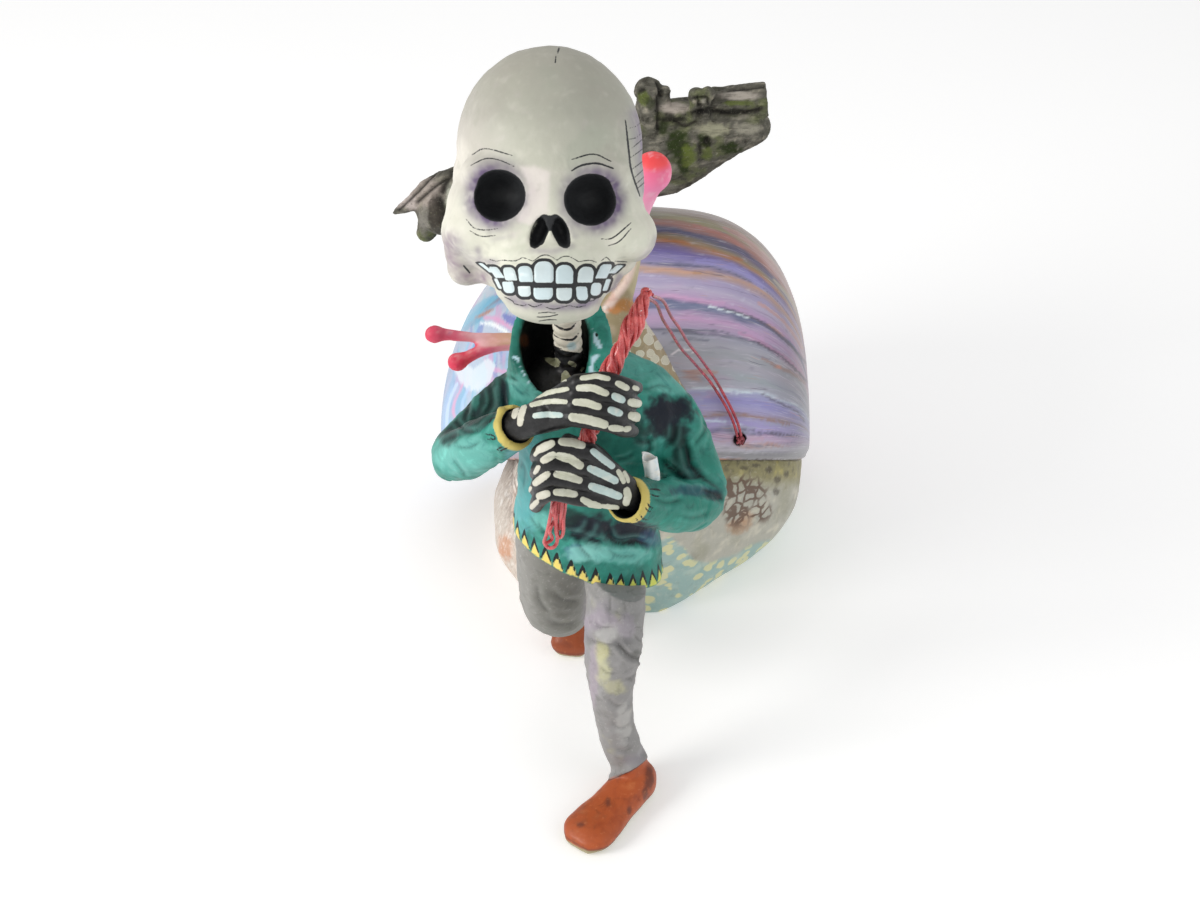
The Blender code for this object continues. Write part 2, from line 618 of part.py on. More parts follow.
def main():
    clear_scene()
    scene = bpy.context.scene
    parts = bpy.data.collections.new("skeleton_porter_with_snail")
    cutters = bpy.data.collections.new("cutters")
    scene.collection.children.link(parts)
    scene.collection.children.link(cutters)

    mats = {
        "bone": material("bone_paint", (0.74, 0.75, 0.66), 0.55),
        "chest": material("black_and_bone_paint", (0.03, 0.03, 0.035), 0.45),
        "green": material("green_paint", (0.07, 0.36, 0.28), 0.5),
        "grey": material("grey_cloth_paint", (0.42, 0.41, 0.42), 0.6),
        "shell": material("shell_paint", (0.55, 0.50, 0.64), 0.35),
        "skin": material("snail_skin_paint", (0.62, 0.55, 0.40), 0.5),
        "wood": material("weathered_wood", (0.36, 0.33, 0.29), 0.9),
        "cord": material("red_cord", (0.62, 0.12, 0.13), 0.3),
        "knot": material("knot_cord", (0.35, 0.04, 0.05), 0.3),
        "paper": material("white_paper", (0.85, 0.85, 0.84), 0.7),
    }

    def give(ob, m):
        ob.data.materials.clear()
        ob.data.materials.append(mats[m])
        for p in ob.data.polygons:
            p.use_smooth = True
            p.material_index = 0
        return ob

    # skull
    bm = bmesh.new()
    skull_shapes(bm)
    skull = blob("skull", bm, parts, 0.0022, 8, 960)
    bm = bmesh.new()
    skull_hollows(bm)
    cut = mesh_object("skull_hollows", bm, cutters)
    hide(cut)
    boolean(skull, cut)

    # jacket, hollowed at the neck and cut along its hem
    bm = bmesh.new()
    jacket_shapes(bm)
    jacket = blob("jacket", bm, parts, 0.0024, 4, 1150)
    for name, shape in (("collar_room", collar_room), ("collar_hollow", collar_hollow)):
        bm = bmesh.new()
        shape(bm)
        cut = mesh_object(name, bm, cutters)
        hide(cut)
        boolean(jacket, cut)
    hem_n = Vector((HEM_SLOPE, 0, -1)).normalized()
    slice_off(jacket, (0, 0, HEM_Z), hem_n)

    # neck bones and chest inside the collar
    bm = bmesh.new()
    chest_shapes(bm)
    chest = blob("neck_and_chest", bm, parts, 0.0020, 3, 280)
    trim(chest, jacket, cutters)
    trim(chest, skull, cutters)

    # trousers and shoes
    bm = bmesh.new()
    leg_shapes(bm)
    legs = blob("legs", bm, parts, 0.0022, 4, 1050)
    slice_off(legs, (0, 0, HEM_Z - GAP * 1.2), -hem_n)
    slice_off(legs, (0, 0, 0), (0, 0, -1))

    # cord hank
    bm = bmesh.new()
    hank_shapes(bm)
    hank = mesh_object("cord_hank", bm, parts)
    m = hank.modifiers.new("melt", "REMESH")
    m.mode = "VOXEL"
    m.voxel_size = 0.0016
    s = hank.modifiers.new("smooth", "SMOOTH")
    s.iterations = 3
    bake(hank)
    largest_shell(hank)
    d = hank.modifiers.new("thin", "DECIMATE")
    d.ratio = min(1.0, 380 / tri_count(hank))
    bake(hank)

    # hands round the hank
    hands = []
    for name, wrist, rows, thumb, fr in (
            ("right_hand", R_WRIST, R_FINGERS, R_THUMB, 0.0043),
            ("left_hand", L_WRIST, L_FINGERS, L_THUMB, 0.0047)):
        bm = bmesh.new()
        hand_shapes(bm, wrist, rows, thumb, fr)
        hand = blob(name, bm, parts, 0.0012, 3, 540)
        trim(hand, hank, cutters)
        trim(hand, jacket, cutters)
        hands.append(hand)
    trim(jacket, hank, cutters)

    # snail shell above its mouth plane, with the knot hole in its rim
    bm = bmesh.new()
    shell_shapes(bm)
    shell = blob("snail_shell", bm, parts, 0.0040, 6, 960)
    lip_n = Vector((0, LIP_SLOPE, -1)).normalized()
    slice_off(shell, (0, LIP_Y, LIP_Z), lip_n)
    bm = bmesh.new()
    bmesh.ops.create_cone(bm, cap_ends=True, segments=20, radius1=HOLE_R, radius2=HOLE_R,
                          depth=HOLE_DEPTH * 2,
                          matrix=Matrix.Translation(HOLE) @ Matrix.Rotation(radians(70), 4, "X"))
    cut = mesh_object("knot_hole", bm, cutters)
    hide(cut)
    boolean(shell, cut)

    # snail
    bm = bmesh.new()
    snail_shapes(bm)
    snail = blob("snail_body", bm, parts, 0.0026, 4, 1120)
    slice_off(snail, (0, 0, 0), (0, 0, -1))
    trim(snail, shell, cutters)

    # log on the shell
    bm = bmesh.new()
    log_shapes(bm)
    log = blob("driftwood_log", bm, parts, 0.0024, 2, 620)
    trim(log, shell, cutters)

    # thin cords and their knot
    bm = bmesh.new()
    bmesh.ops.create_uvsphere(bm, u_segments=10, v_segments=6, radius=KNOT_R,
                              matrix=Matrix.Translation(HOLE + Vector((0.0, -0.0006, 0.0002))))
    knot = mesh_object("shell_knot", bm, parts)
    for i, side in enumerate((-1, 1)):
        ob = cord_curve("cord_strand_%d" % (i + 1), strand_points(side), STRAND_D, parts)
        ob.data.materials.append(mats["cord"])

    # small white roll tucked in the crook of the left arm
    bm = bmesh.new()
    bmesh.ops.create_cone(bm, cap_ends=True, segments=16, radius1=ROLL_R[0], radius2=ROLL_R[1],
                          depth=ROLL_H, matrix=Matrix.Translation(ROLL)
                          @ Matrix.Rotation(radians(-4), 4, "Y"))
    roll = mesh_object("paper_roll", bm, parts)
    trim(roll, jacket, cutters)

    for ob, m in ((skull, "bone"), (jacket, "green"), (chest, "chest"), (legs, "grey"),
                  (hank, "cord"), (hands[0], "chest"), (hands[1], "chest"), (shell, "shell"),
                  (snail, "skin"), (log, "wood"), (knot, "knot"), (roll, "paper")):
        tidy(ob)
        give(ob, m)
    for ob in parts.objects:
        ob.data.transform(Matrix.Translation(-ORIGIN))


main()
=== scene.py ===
import json
import math
from math import cos, pi, radians, sin, sqrt

import bmesh
import bpy
import numpy as np
from mathutils import Matrix, Vector

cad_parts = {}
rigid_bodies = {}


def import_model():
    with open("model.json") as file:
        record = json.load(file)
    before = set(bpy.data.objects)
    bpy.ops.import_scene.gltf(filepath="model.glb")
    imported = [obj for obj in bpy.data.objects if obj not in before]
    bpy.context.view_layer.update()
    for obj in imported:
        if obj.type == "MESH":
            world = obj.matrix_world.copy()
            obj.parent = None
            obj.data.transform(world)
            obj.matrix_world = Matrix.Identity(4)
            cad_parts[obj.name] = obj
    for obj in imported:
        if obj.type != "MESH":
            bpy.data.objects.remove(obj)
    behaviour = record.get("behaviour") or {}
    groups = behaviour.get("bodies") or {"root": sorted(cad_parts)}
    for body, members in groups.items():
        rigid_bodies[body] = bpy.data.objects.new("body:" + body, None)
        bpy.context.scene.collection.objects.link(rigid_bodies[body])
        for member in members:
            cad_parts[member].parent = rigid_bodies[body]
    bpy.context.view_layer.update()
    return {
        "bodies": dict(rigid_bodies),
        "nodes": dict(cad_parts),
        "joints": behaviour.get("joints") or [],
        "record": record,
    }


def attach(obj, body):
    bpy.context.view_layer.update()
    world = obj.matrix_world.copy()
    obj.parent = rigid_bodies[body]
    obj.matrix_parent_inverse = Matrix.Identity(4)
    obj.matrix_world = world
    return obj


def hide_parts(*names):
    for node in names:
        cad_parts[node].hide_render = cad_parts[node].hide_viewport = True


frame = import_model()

ORIGIN = Vector((0.0031, 0.1207, 0.0))

# ------------------------------------------------------------------ the camera
VIEW_AT = np.array((0.0, -0.93037, 0.89595))      # in the drawing frame
VIEW_DOWN = radians(36.0)
VIEW_F = 1900.0                                    # focal length in 1200 x 900 frame

cam_data = bpy.data.cameras.new("front_camera")
cam_data.lens = VIEW_F / 1200.0 * 36.0
cam_data.sensor_width = 36.0
cam_data.clip_start = 0.05
cam = bpy.data.objects.new("front_camera", cam_data)
bpy.context.scene.collection.objects.link(cam)
cam.location = Vector(VIEW_AT) - ORIGIN
cam.rotation_euler = (pi / 2 - VIEW_DOWN, 0.0, 0.0)
bpy.context.scene.camera = cam


def front_view(p):
    """Where points of the drawing frame fall in the front view, in its pixels."""
    r = np.asarray(p, float) - VIEW_AT
    c, s = cos(VIEW_DOWN), sin(VIEW_DOWN)
    zc = r[:, 1] * c - r[:, 2] * s
    yc = r[:, 1] * s + r[:, 2] * c
    return 600 + VIEW_F * r[:, 0] / zc, 450 - VIEW_F * yc / zc


def facing(p, n):
    """1 where the skin faces the front view, 0 at its outline, negative behind."""
    d = VIEW_AT - p
    d /= np.linalg.norm(d, axis=1)[:, None]
    return (d * n).sum(1)


# ------------------------------------------------------------- shared drawing
def smooth_path(points, count):
    """Points on a Catmull-Rom curve through the given points."""
    p = [np.array(q, float) for q in points]
    p = [2 * p[0] - p[1]] + p + [2 * p[-1] - p[-2]]
    n = len(p) - 3
    out = []
    for i in range(count):
        s = i * n / (count - 1)
        k = min(int(s), n - 1)
        t = s - k
        a, b, c, d = p[k], p[k + 1], p[k + 2], p[k + 3]
        out.append(0.5 * ((2 * b) + (c - a) * t + (2 * a - 5 * b + 4 * c - d) * t ** 2
                          + (3 * b - a - 3 * c + d) * t ** 3))
    return np.array(out)


class Soup:
    """Loose closed skins, gathered in one mesh to be melted together."""

    def __init__(self):
        self.points, self.faces, self.count = [], [], 0

    def add(self, points, faces):
        k = self.count
        self.points.append(np.asarray(points, float))
        self.faces.extend([tuple([i + k for i in f]) for f in faces])
        self.count += len(points)


_balls = {}


def unit_ball(seg, rings):
    if (seg, rings) not in _balls:
        pts = [(0, 0, -1.0)]
        for j in range(1, rings):
            b = pi * j / rings - pi / 2
            for i in range(seg):
                a = 2 * pi * i / seg
                pts.append((cos(a) * cos(b), sin(a) * cos(b), sin(b)))
        pts.append((0, 0, 1.0))
        faces = []
        for i in range(seg):
            faces.append((0, 1 + (i + 1) % seg, 1 + i))
            last = 1 + (rings - 2) * seg
            faces.append((last + i, last + (i + 1) % seg, len(pts) - 1))
            for j in range(rings - 2):
                a, b = 1 + j * seg + i, 1 + j * seg + (i + 1) % seg
                faces.append((a, b, b + seg, a + seg))
        _balls[seg, rings] = (np.array(pts), faces)
    return _balls[seg, rings]


def placed(points, matrix):
    m = np.array(matrix)
    return np.asarray(points) @ m[:3, :3].T + m[:3, 3]


def ball(soup, centre, radii, frame=None, seg=40, rings=24):
    """An ellipsoid; frame is a 3x3 matrix whose columns are its axes."""
    r = radii if hasattr(radii, "__len__") else (radii,) * 3
    m = Matrix.Translation(Vector(centre))
    if frame is not None:
        m = m @ frame.to_4x4()
    m = m @ Matrix.Diagonal((*r, 1.0))
    pts, faces = unit_ball(seg, rings)
    soup.add(placed(pts, m), faces)


def block(soup, matrix):
    pts = [(x, y, z) for x in (-0.5, 0.5) for y in (-0.5, 0.5) for z in (-0.5, 0.5)]
    soup.add(placed(pts, matrix), ((0, 1, 3, 2), (4, 6, 7, 5), (0, 4, 5, 1), (2, 3, 7, 6),
                                   (0, 2, 6, 4), (1, 5, 7, 3)))


def rod(soup, r0, r1, depth, matrix, seg=40):
    """A cylinder or cone along Z, middle at the origin, before it is placed."""
    pts = [(r * cos(2 * pi * i / seg), r * sin(2 * pi * i / seg), z)
           for r, z in ((r0, -depth / 2), (r1, depth / 2)) for i in range(seg)]
    faces = [(i, (i + 1) % seg, seg + (i + 1) % seg, seg + i) for i in range(seg)]
    faces += [tuple(range(seg))[::-1], tuple(range(seg, 2 * seg))]
    soup.add(placed(pts, matrix), faces)


def rings_to_faces(soup, rings):
    """A closed skin over a list of rings of points, capped at both ends."""
    n, k = len(rings[0]), len(rings)
    faces = [(j * n + i, j * n + (i + 1) % n, (j + 1) * n + (i + 1) % n, (j + 1) * n + i)
             for j in range(k - 1) for i in range(n)]
    faces += [tuple(range(n))[::-1], tuple(range((k - 1) * n, k * n))]
    soup.add(np.concatenate([np.asarray(r, float) for r in rings]), faces)


def frames_along(path, up=(0, 0, 1)):
    path = np.asarray(path, float)
    t = np.gradient(path, axis=0)
    t /= np.linalg.norm(t, axis=1)[:, None]
    out = []
    u = np.array(up, float)
    for d in t:
        s = np.cross(d, u)
        if np.linalg.norm(s) < 1e-6:
            s = np.cross(d, np.array((0.0, 1.0, 0.0)))
        s /= np.linalg.norm(s)
        w = np.cross(s, d)
        out.append((s, w / np.linalg.norm(w)))
        u = w
    return out


def tube(soup, points, radii, count=None, flat=1.0, up=(0, 0, 1), seg=32, round_ends=True):
    """A tapering tube through the points; flat squeezes it along 'up'."""
    count = count or (len(points) - 1) * 10 + 1
    path = smooth_path(points, count)
    r = smooth_path([(q,) for q in radii], count)[:, 0]
    rings = []
    ang = np.linspace(0, 2 * pi, seg, endpoint=False)
    fr = frames_along(path, up)
    for p, q, (s, w) in zip(path, r, fr):
        rings.append([p + q * (cos(a) * s + sin(a) * flat * w) for a in ang])
    rings_to_faces(soup, rings)
    if round_ends:
        for k in (0, -1):
            s, w = fr[k]
            d = np.cross(s, w)
            ball(soup, path[k], (r[k] * 0.999, r[k] * flat * 0.999, r[k] * 0.95),
                 Matrix((s, w, d)).transposed(), 32, 20)


def mesh_object(name, soup):
    me = bpy.data.meshes.new(name)
    me.from_pydata(np.concatenate(soup.points).tolist(), [], soup.faces)
    ob = bpy.data.objects.new(name, me)
    bpy.context.scene.collection.objects.link(ob)
    return ob


def bake(ob):
    bpy.context.view_layer.update()
    dg = bpy.context.evaluated_depsgraph_get()
    me = bpy.data.meshes.new_from_object(ob.evaluated_get(dg), depsgraph=dg)
    ob.modifiers.clear()
    old = ob.data
    ob.data = me
    bpy.data.meshes.remove(old)
    return ob


def drop(ob):
    me = ob.data
    bpy.data.objects.remove(ob, do_unlink=True)
    if me.users == 0:
        bpy.data.meshes.remove(me)


def co_of(ob):
    a = np.empty(len(ob.data.vertices) * 3, np.float32)
    ob.data.vertices.foreach_get("co", a)
    return a.reshape(-1, 3).astype(float)


def set_co(ob, p):
    ob.data.vertices.foreach_set("co", p.astype(np.float32).ravel())
    ob.data.update()


def normals_of(ob):
    a = np.empty(len(ob.data.vertices) * 3, np.float32)
    ob.data.vertex_normals.foreach_get("vector", a)
    return a.reshape(-1, 3).astype(float)


def edges_of(ob):
    e = np.empty(len(ob.data.edges) * 2, np.int32)
    ob.data.edges.foreach_get("vertices", e)
    return e.reshape(-1, 2)


def bodies_of(ob):
    """A number for each vertex, the same for all that hang together."""
    e = edges_of(ob)
    lab = np.arange(len(ob.data.vertices))
    while True:
        m = np.minimum(lab[e[:, 0]], lab[e[:, 1]])
        new = lab.copy()
        np.minimum.at(new, e[:, 0], m)
        np.minimum.at(new, e[:, 1], m)
        new = new[new]
        new = new[new]
        if (new == lab).all():
            return lab
        lab = new


def largest(ob):
    """Keep only the biggest connected body of the mesh."""
    lab = bodies_of(ob)
    ids, counts = np.unique(lab, return_counts=True)
    if len(ids) > 1:
        keep = ids[counts.argmax()]
        bm = bmesh.new()
        bm.from_mesh(ob.data)
        bm.verts.ensure_lookup_table()
        bmesh.ops.delete(bm, geom=[bm.verts[i] for i in np.nonzero(lab != keep)[0]],
                         context="VERTS")
        bm.to_mesh(ob.data)
        bm.free()
    return ob


def remesh(ob, voxel, smooth=0):
    """Melt the mesh into one even skin and relax it."""
    m = ob.modifiers.new("melt", "REMESH")
    m.mode = "VOXEL"
    m.voxel_size = voxel
    m.adaptivity = 0.0
    if smooth:
        s = ob.modifiers.new("smooth", "SMOOTH")
        s.factor = 0.5
        s.iterations = smooth
    bake(ob)
    return largest(ob)


def blob(name, draw, voxel, smooth, *args):
    soup = Soup()
    draw(soup, *args)
    return remesh(mesh_object(name, soup), voxel, smooth)


def face_out(ob):
    bm = bmesh.new()
    bm.from_mesh(ob.data)
    bmesh.ops.recalc_face_normals(bm, faces=bm.faces)
    bm.to_mesh(ob.data)
    bm.free()
    return ob


def relax(ob, times, factor=0.5, where=None):
    """Even out the vertices a little, where asked."""
    e = edges_of(ob)
    p = co_of(ob)
    n = np.zeros(len(p))
    np.add.at(n, e[:, 0], 1)
    np.add.at(n, e[:, 1], 1)
    w = factor if where is None else (factor * where)[:, None]
    for _ in range(times):
        s = np.zeros_like(p)
        np.add.at(s, e[:, 0], p[e[:, 1]])
        np.add.at(s, e[:, 1], p[e[:, 0]])
        p = p + w * (s / np.maximum(n, 1)[:, None] - p)
    set_co(ob, p)
    return ob


def cut(ob, draw, *args, kind="DIFFERENCE"):
    """Cut a drawn shape out of the piece."""
    soup = Soup()
    draw(soup, *args)
    tool = face_out(mesh_object("tool", soup))
    return cut_by(ob, tool, kind)


def cut_by(ob, tool, kind="DIFFERENCE"):
    m = ob.modifiers.new("cut", "BOOLEAN")
    m.operation = kind
    m.object = tool
    m.solver = "MANIFOLD"
    bake(ob)
    drop(tool)
    return ob


def copy_of(ob, by=0.0):
    c = ob.copy()
    c.data = ob.data.copy()
    bpy.context.scene.collection.objects.link(c)
    if by:
        set_co(c, co_of(c) + by * normals_of(c))
    return c


def slice_off(ob, point, normal, fill=True):
    """Cut the piece flat and throw away what lies on the normal's side."""
    bm = bmesh.new()
    bm.from_mesh(ob.data)
    bmesh.ops.bisect_plane(bm, geom=bm.verts[:] + bm.edges[:] + bm.faces[:],
                           dist=1e-6, plane_co=Vector(point), plane_no=Vector(normal),
                           clear_outer=True)
    if fill:
        edges = [e for e in bm.edges if e.is_boundary]
        res = bmesh.ops.holes_fill(bm, edges=edges, sides=0)
        bmesh.ops.triangulate(bm, faces=[f for f in res["faces"] if len(f.verts) > 4])
    bm.to_mesh(ob.data)
    bm.free()
    return ob


def refine(ob, mask):
    """Halve the edges of the faces whose vertices are all in the mask."""
    bm = bmesh.new()
    bm.from_mesh(ob.data)
    bm.verts.ensure_lookup_table()
    edges = set()
    for f in bm.faces:
        if all(mask[v.index] for v in f.verts):
            edges.update(f.edges)
    bmesh.ops.subdivide_edges(bm, edges=list(edges), cuts=1, use_grid_fill=True)
    bmesh.ops.triangulate(bm, faces=[f for f in bm.faces if len(f.verts) > 4])
    bm.to_mesh(ob.data)
    bm.free()
    return ob


# --------------------------------------------------------------------- noise
_rng = np.random.RandomState(11)
_PERM = np.concatenate([_rng.permutation(256)] * 2)
_GRAD = _rng.normal(size=(256, 3))
_GRAD /= np.linalg.norm(_GRAD, axis=1)[:, None]
_JIT = _rng.rand(256, 3)


def perlin(p):
    i = np.floor(p).astype(int)
    f = p - i
    u = f * f * f * (f * (f * 6 - 15) + 10)
    out = np.zeros(len(p))
    for dx in (0, 1):
        wx = u[:, 0] if dx else 1 - u[:, 0]
        for dy in (0, 1):
            wy = u[:, 1] if dy else 1 - u[:, 1]
            for dz in (0, 1):
                wz = u[:, 2] if dz else 1 - u[:, 2]
                h = _PERM[_PERM[_PERM[(i[:, 0] + dx) & 255] + ((i[:, 1] + dy) & 255)]
                          + ((i[:, 2] + dz) & 255)]
                g = _GRAD[h & 255]
                out += wx * wy * wz * ((f - (dx, dy, dz)) * g).sum(1)
    return out * 1.7


def fbm(p, size, octaves=3, gain=0.5, seed=0.0):
    """Soft noise about -1..1; size is the width of its largest lumps in metres."""
    q = p / size + seed * 7.31
    out, a, tot = np.zeros(len(p)), 1.0, 0.0
    for _ in range(octaves):
        out += a * perlin(q)
        tot += a
        a *= gain
        q = q * 2.03 + 3.7
    return out / tot


def ridges(p, size, octaves=3, seed=0.0):
    """0..1 with sharp crests, for creased paper and bark."""
    q = p / size + seed * 5.17
    out, a, tot = np.zeros(len(p)), 1.0, 0.0
    for _ in range(octaves):
        out += a * (1 - np.abs(perlin(q)) * 1.6).clip(0, 1) ** 2
        tot += a
        a *= 0.5
        q = q * 2.1 + 1.9
    return out / tot


def cells(p, size, seed=0, jitter=0.85):
    """Distance to the nearest and the next cell point, in cells, and a cell number."""
    q = p / size + seed * 3.3
    i = np.floor(q).astype(int)
    d1 = np.full(len(p), 9.0)
    d2 = np.full(len(p), 9.0)
    who = np.zeros(len(p), int)
    for dx in (-1, 0, 1):
        for dy in (-1, 0, 1):
            for dz in (-1, 0, 1):
                c = i + (dx, dy, dz)
                h = _PERM[_PERM[_PERM[c[:, 0] & 255] + (c[:, 1] & 255)] + (c[:, 2] & 255)] & 255
                s = c + 0.5 + (_JIT[h] - 0.5) * jitter
                d = np.linalg.norm(q - s, axis=1)
                near = d < d1
                d2 = np.where(near, d1, np.minimum(d2, d))
                who = np.where(near, h, who)
                d1 = np.where(near, d, d1)
    return d1, d2, who


def step(x, a, b):
    """0 below a, 1 above b, smooth between."""
    t = ((x - a) / (b - a)).clip(0, 1)
    return t * t * (3 - 2 * t)


def bump_at(x, centre, width):
    return np.exp(-((x - centre) / width) ** 2)


# ------------------------------------------------------------- painted marks
FAR = 14.0                                  # "nowhere near", in front view pixels


def polyline(u, v, pts):
    """Distance to a line of points, and how far along it the nearest point lies."""
    pts = np.asarray(pts, float)
    seg = np.linalg.norm(np.diff(pts, axis=0), axis=1)
    at = np.concatenate([[0], np.cumsum(seg)])
    best = np.full(len(u), 1e9)
    along = np.zeros(len(u))
    for k in range(len(seg)):
        a, b = pts[k], pts[k + 1]
        d = b - a
        L = max(seg[k], 1e-9)
        t = (((u - a[0]) * d[0] + (v - a[1]) * d[1]) / L ** 2).clip(0, 1)
        q = np.hypot(u - a[0] - t * d[0], v - a[1] - t * d[1])
        m = q < best
        best = np.where(m, q, best)
        along = np.where(m, (at[k] + t * L) / at[-1], along)
    return best, along


def stroke(field, u, v, ok, pts, w, taper=0.3, soft=True):
    """Lower the field to the signed distance of a brush stroke of width w."""
    pts = np.asarray(pts, float)
    if soft and len(pts) > 2:
        pts = smooth_path(pts, 6 * (len(pts) - 1) + 1)
    lo, hi = pts.min(0) - FAR, pts.max(0) + FAR
    k = np.nonzero(ok & (u > lo[0]) & (u < hi[0]) & (v > lo[1]) & (v < hi[1]))[0]
    if len(k) == 0:
        return
    d, s = polyline(u[k], v[k], pts)
    e = np.minimum(s, 1 - s)
    width = w / 2 * (1 - taper + taper * np.minimum(1, e / 0.25))
    field[k] = np.minimum(field[k], d - width)


def crop(x0, y0, k, pts):
    """Marks read off an enlarged view, in pixels of the front view."""
    return [(x0 + x / k, y0 + y / k) for x, y in pts]


def polygon(u, v, pts):
    """Signed distance to a closed outline, negative inside."""
    pts = list(pts)
    d, _ = polyline(u, v, pts + [pts[0]])
    inside = np.zeros(len(u), bool)
    j = len(pts) - 1
    for i in range(len(pts)):
        (xi, yi), (xj, yj) = pts[i], pts[j]
        if yi != yj:
            hit = ((yi > v) != (yj > v)) & (u < (xj - xi) * (v - yi) / (yj - yi) + xi)
            inside ^= hit
        j = i
    return np.where(inside, -d, d)


def rgb(r, g, b):
    """A colour as it looks, 0..255, in the linear values that shaders use."""
    c = np.array((r, g, b), float) / 255.0
    return np.where(c <= 0.04045, c / 12.92, ((c + 0.055) / 1.055) ** 2.4)


def layer(col, colour, amount):
    """Lay a colour over a painted skin; amount is a number or one for each vertex."""
    a = np.asarray(amount, float)
    if a.ndim:
        a = a.clip(0, 1)[:, None]
    return col * (1 - a) + np.asarray(colour) * a


def put_colour(ob, col, name="paint"):
    me = ob.data
    if name in me.attributes:
        me.attributes.remove(me.attributes[name])
    a = me.attributes.new(name, "FLOAT_COLOR", "POINT")
    data = np.ones((len(col), 4), np.float32)
    data[:, :3] = col.clip(0, 1)
    a.data.foreach_set("color", data.ravel())


def put_value(ob, name, x):
    if name in ob.data.attributes:
        ob.data.attributes.remove(ob.data.attributes[name])
    a = ob.data.attributes.new(name, "FLOAT", "POINT")
    a.data.foreach_set("value", np.asarray(x, np.float32))


# ----------------------------------------------------------- shader building
class Look:
    """A small helper that wires a Principled material."""

    def __init__(self, name, rough=0.5, **plain):
        self.mat = bpy.data.materials.new(name)
        self.mat.use_nodes = True
        self.tree = self.mat.node_tree
        self.main = self.tree.nodes["Principled BSDF"]
        self.main.inputs["Roughness"].default_value = rough
        for k, v in plain.items():
            self.main.inputs[k.replace("_", " ")].default_value = v
        self.coord = self.node("TexCoord").outputs["Object"]

    def node(self, kind, ins=None, **props):
        k = self.tree.nodes.new("ShaderNode" + kind)
        for a, b in props.items():
            setattr(k, a, b)
        for a, b in (ins or {}).items():
            self.put(k.inputs[a], b)
        return k

    def put(self, socket, value):
        if isinstance(value, bpy.types.NodeSocket):
            self.tree.links.new(value, socket)
        elif hasattr(value, "__len__") and socket.type == "RGBA" and len(value) == 3:
            socket.default_value = (*[float(x) for x in value], 1.0)
        else:
            socket.default_value = value

    def attr(self, name, out="Fac"):
        return self.node("Attribute", attribute_name=name).outputs[out]

    def math(self, op, a, b=0.0, clamp=False):
        k = self.node("Math", operation=op, use_clamp=clamp)
        self.put(k.inputs[0], a)
        if len(k.inputs) > 1:
            self.put(k.inputs[1], b)
        return k.outputs[0]

    def span(self, x, a, b, c=0.0, d=1.0):
        k = self.node("MapRange", interpolation_type="SMOOTHSTEP")
        for s, v in zip(k.inputs, (x, a, b, c, d)):
            self.put(s, v)
        return k.outputs[0]

    def mix(self, f, a, b, mode="MIX"):
        k = self.node("Mix", data_type="RGBA", blend_type=mode)
        self.put(k.inputs[0], f)
        self.put(k.inputs[6], a)
        self.put(k.inputs[7], b)
        return k.outputs[2]

    def noise(self, size, detail=3.0, rough=0.55, warp=0.0, where=None):
        """size: width of the lumps in metres."""
        k = self.node("TexNoise", {"Scale": 1.0 / size, "Detail": detail,
                                   "Roughness": rough, "Distortion": warp})
        self.put(k.inputs["Vector"], where or self.coord)
        return k.outputs["Fac"]

    def cell(self, size, feature="F1", where=None, out="Distance"):
        k = self.node("TexVoronoi", {"Scale": 1.0 / size}, feature=feature)
        self.put(k.inputs["Vector"], where or self.coord)
        return k.outputs[out]

    def stretched(self, sx, sy, sz, where=None):
        k = self.node("Mapping", {"Scale": (sx, sy, sz)})
        self.put(k.inputs["Vector"], where or self.coord)
        return k.outputs[0]

    def ramp(self, x, stops):
        k = self.node("ValToRGB")
        e = k.color_ramp.elements
        while len(e) < len(stops):
            e.new(0.5)
        for s, (at, c) in zip(e, stops):
            s.position = at
            s.color = (*[float(q) for q in c], 1.0)
        self.put(k.inputs[0], x)
        return k.outputs[0]

    def bump(self, height, distance, strength=1.0, under=None):
        k = self.node("Bump", {"Strength": strength, "Distance": distance, "Height": height})
        if under is not None:
            self.put(k.inputs["Normal"], under)
        return k.outputs[0]

    def done(self, colour, rough=None, normal=None):
        self.put(self.main.inputs["Base Color"], colour)
        if rough is not None:
            self.put(self.main.inputs["Roughness"], rough)
        if normal is not None:
            self.put(self.main.inputs["Normal"], normal)
        return self.mat


def dress(ob, mat, node, smooth=True):
    """Move the piece into the row frame, give it its material, and hand it over."""
    ob.data.transform(Matrix.Translation(-ORIGIN))
    ob.data.materials.clear()
    ob.data.materials.append(mat)
    ob.data.polygons.foreach_set("use_smooth", [smooth] * len(ob.data.polygons))
    ob.data.polygons.foreach_set("material_index", [0] * len(ob.data.polygons))
    ob.data.update()
    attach(ob, "root")
    if node:
        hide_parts(*node)
    return ob


# ------------------------------------------------------------------- the cords
STRAND_D = 0.0019
STRAND_PATH = ((0.0268, -0.0556, 0.3631), (0.0282, -0.0500, 0.3580),
               (0.0308, -0.0390, 0.3502), (0.0342, -0.0200, 0.3358),
               (0.0392, 0.0150, 0.3046), (0.0454, 0.0420, 0.2792),
               (0.0526, 0.0700, 0.2503), (0.0613, 0.0960, 0.2236),
               (0.0679, 0.1150, 0.2033), (0.0752, 0.1252, 0.1868),
               (0.0818, 0.1256, 0.1744), (0.0877, 0.1230, 0.1640),
               (0.0920, 0.1198, 0.1546), (0.0945, 0.1183, 0.1458))
HOLE = Vector((0.0955, 0.1215, 0.1400))


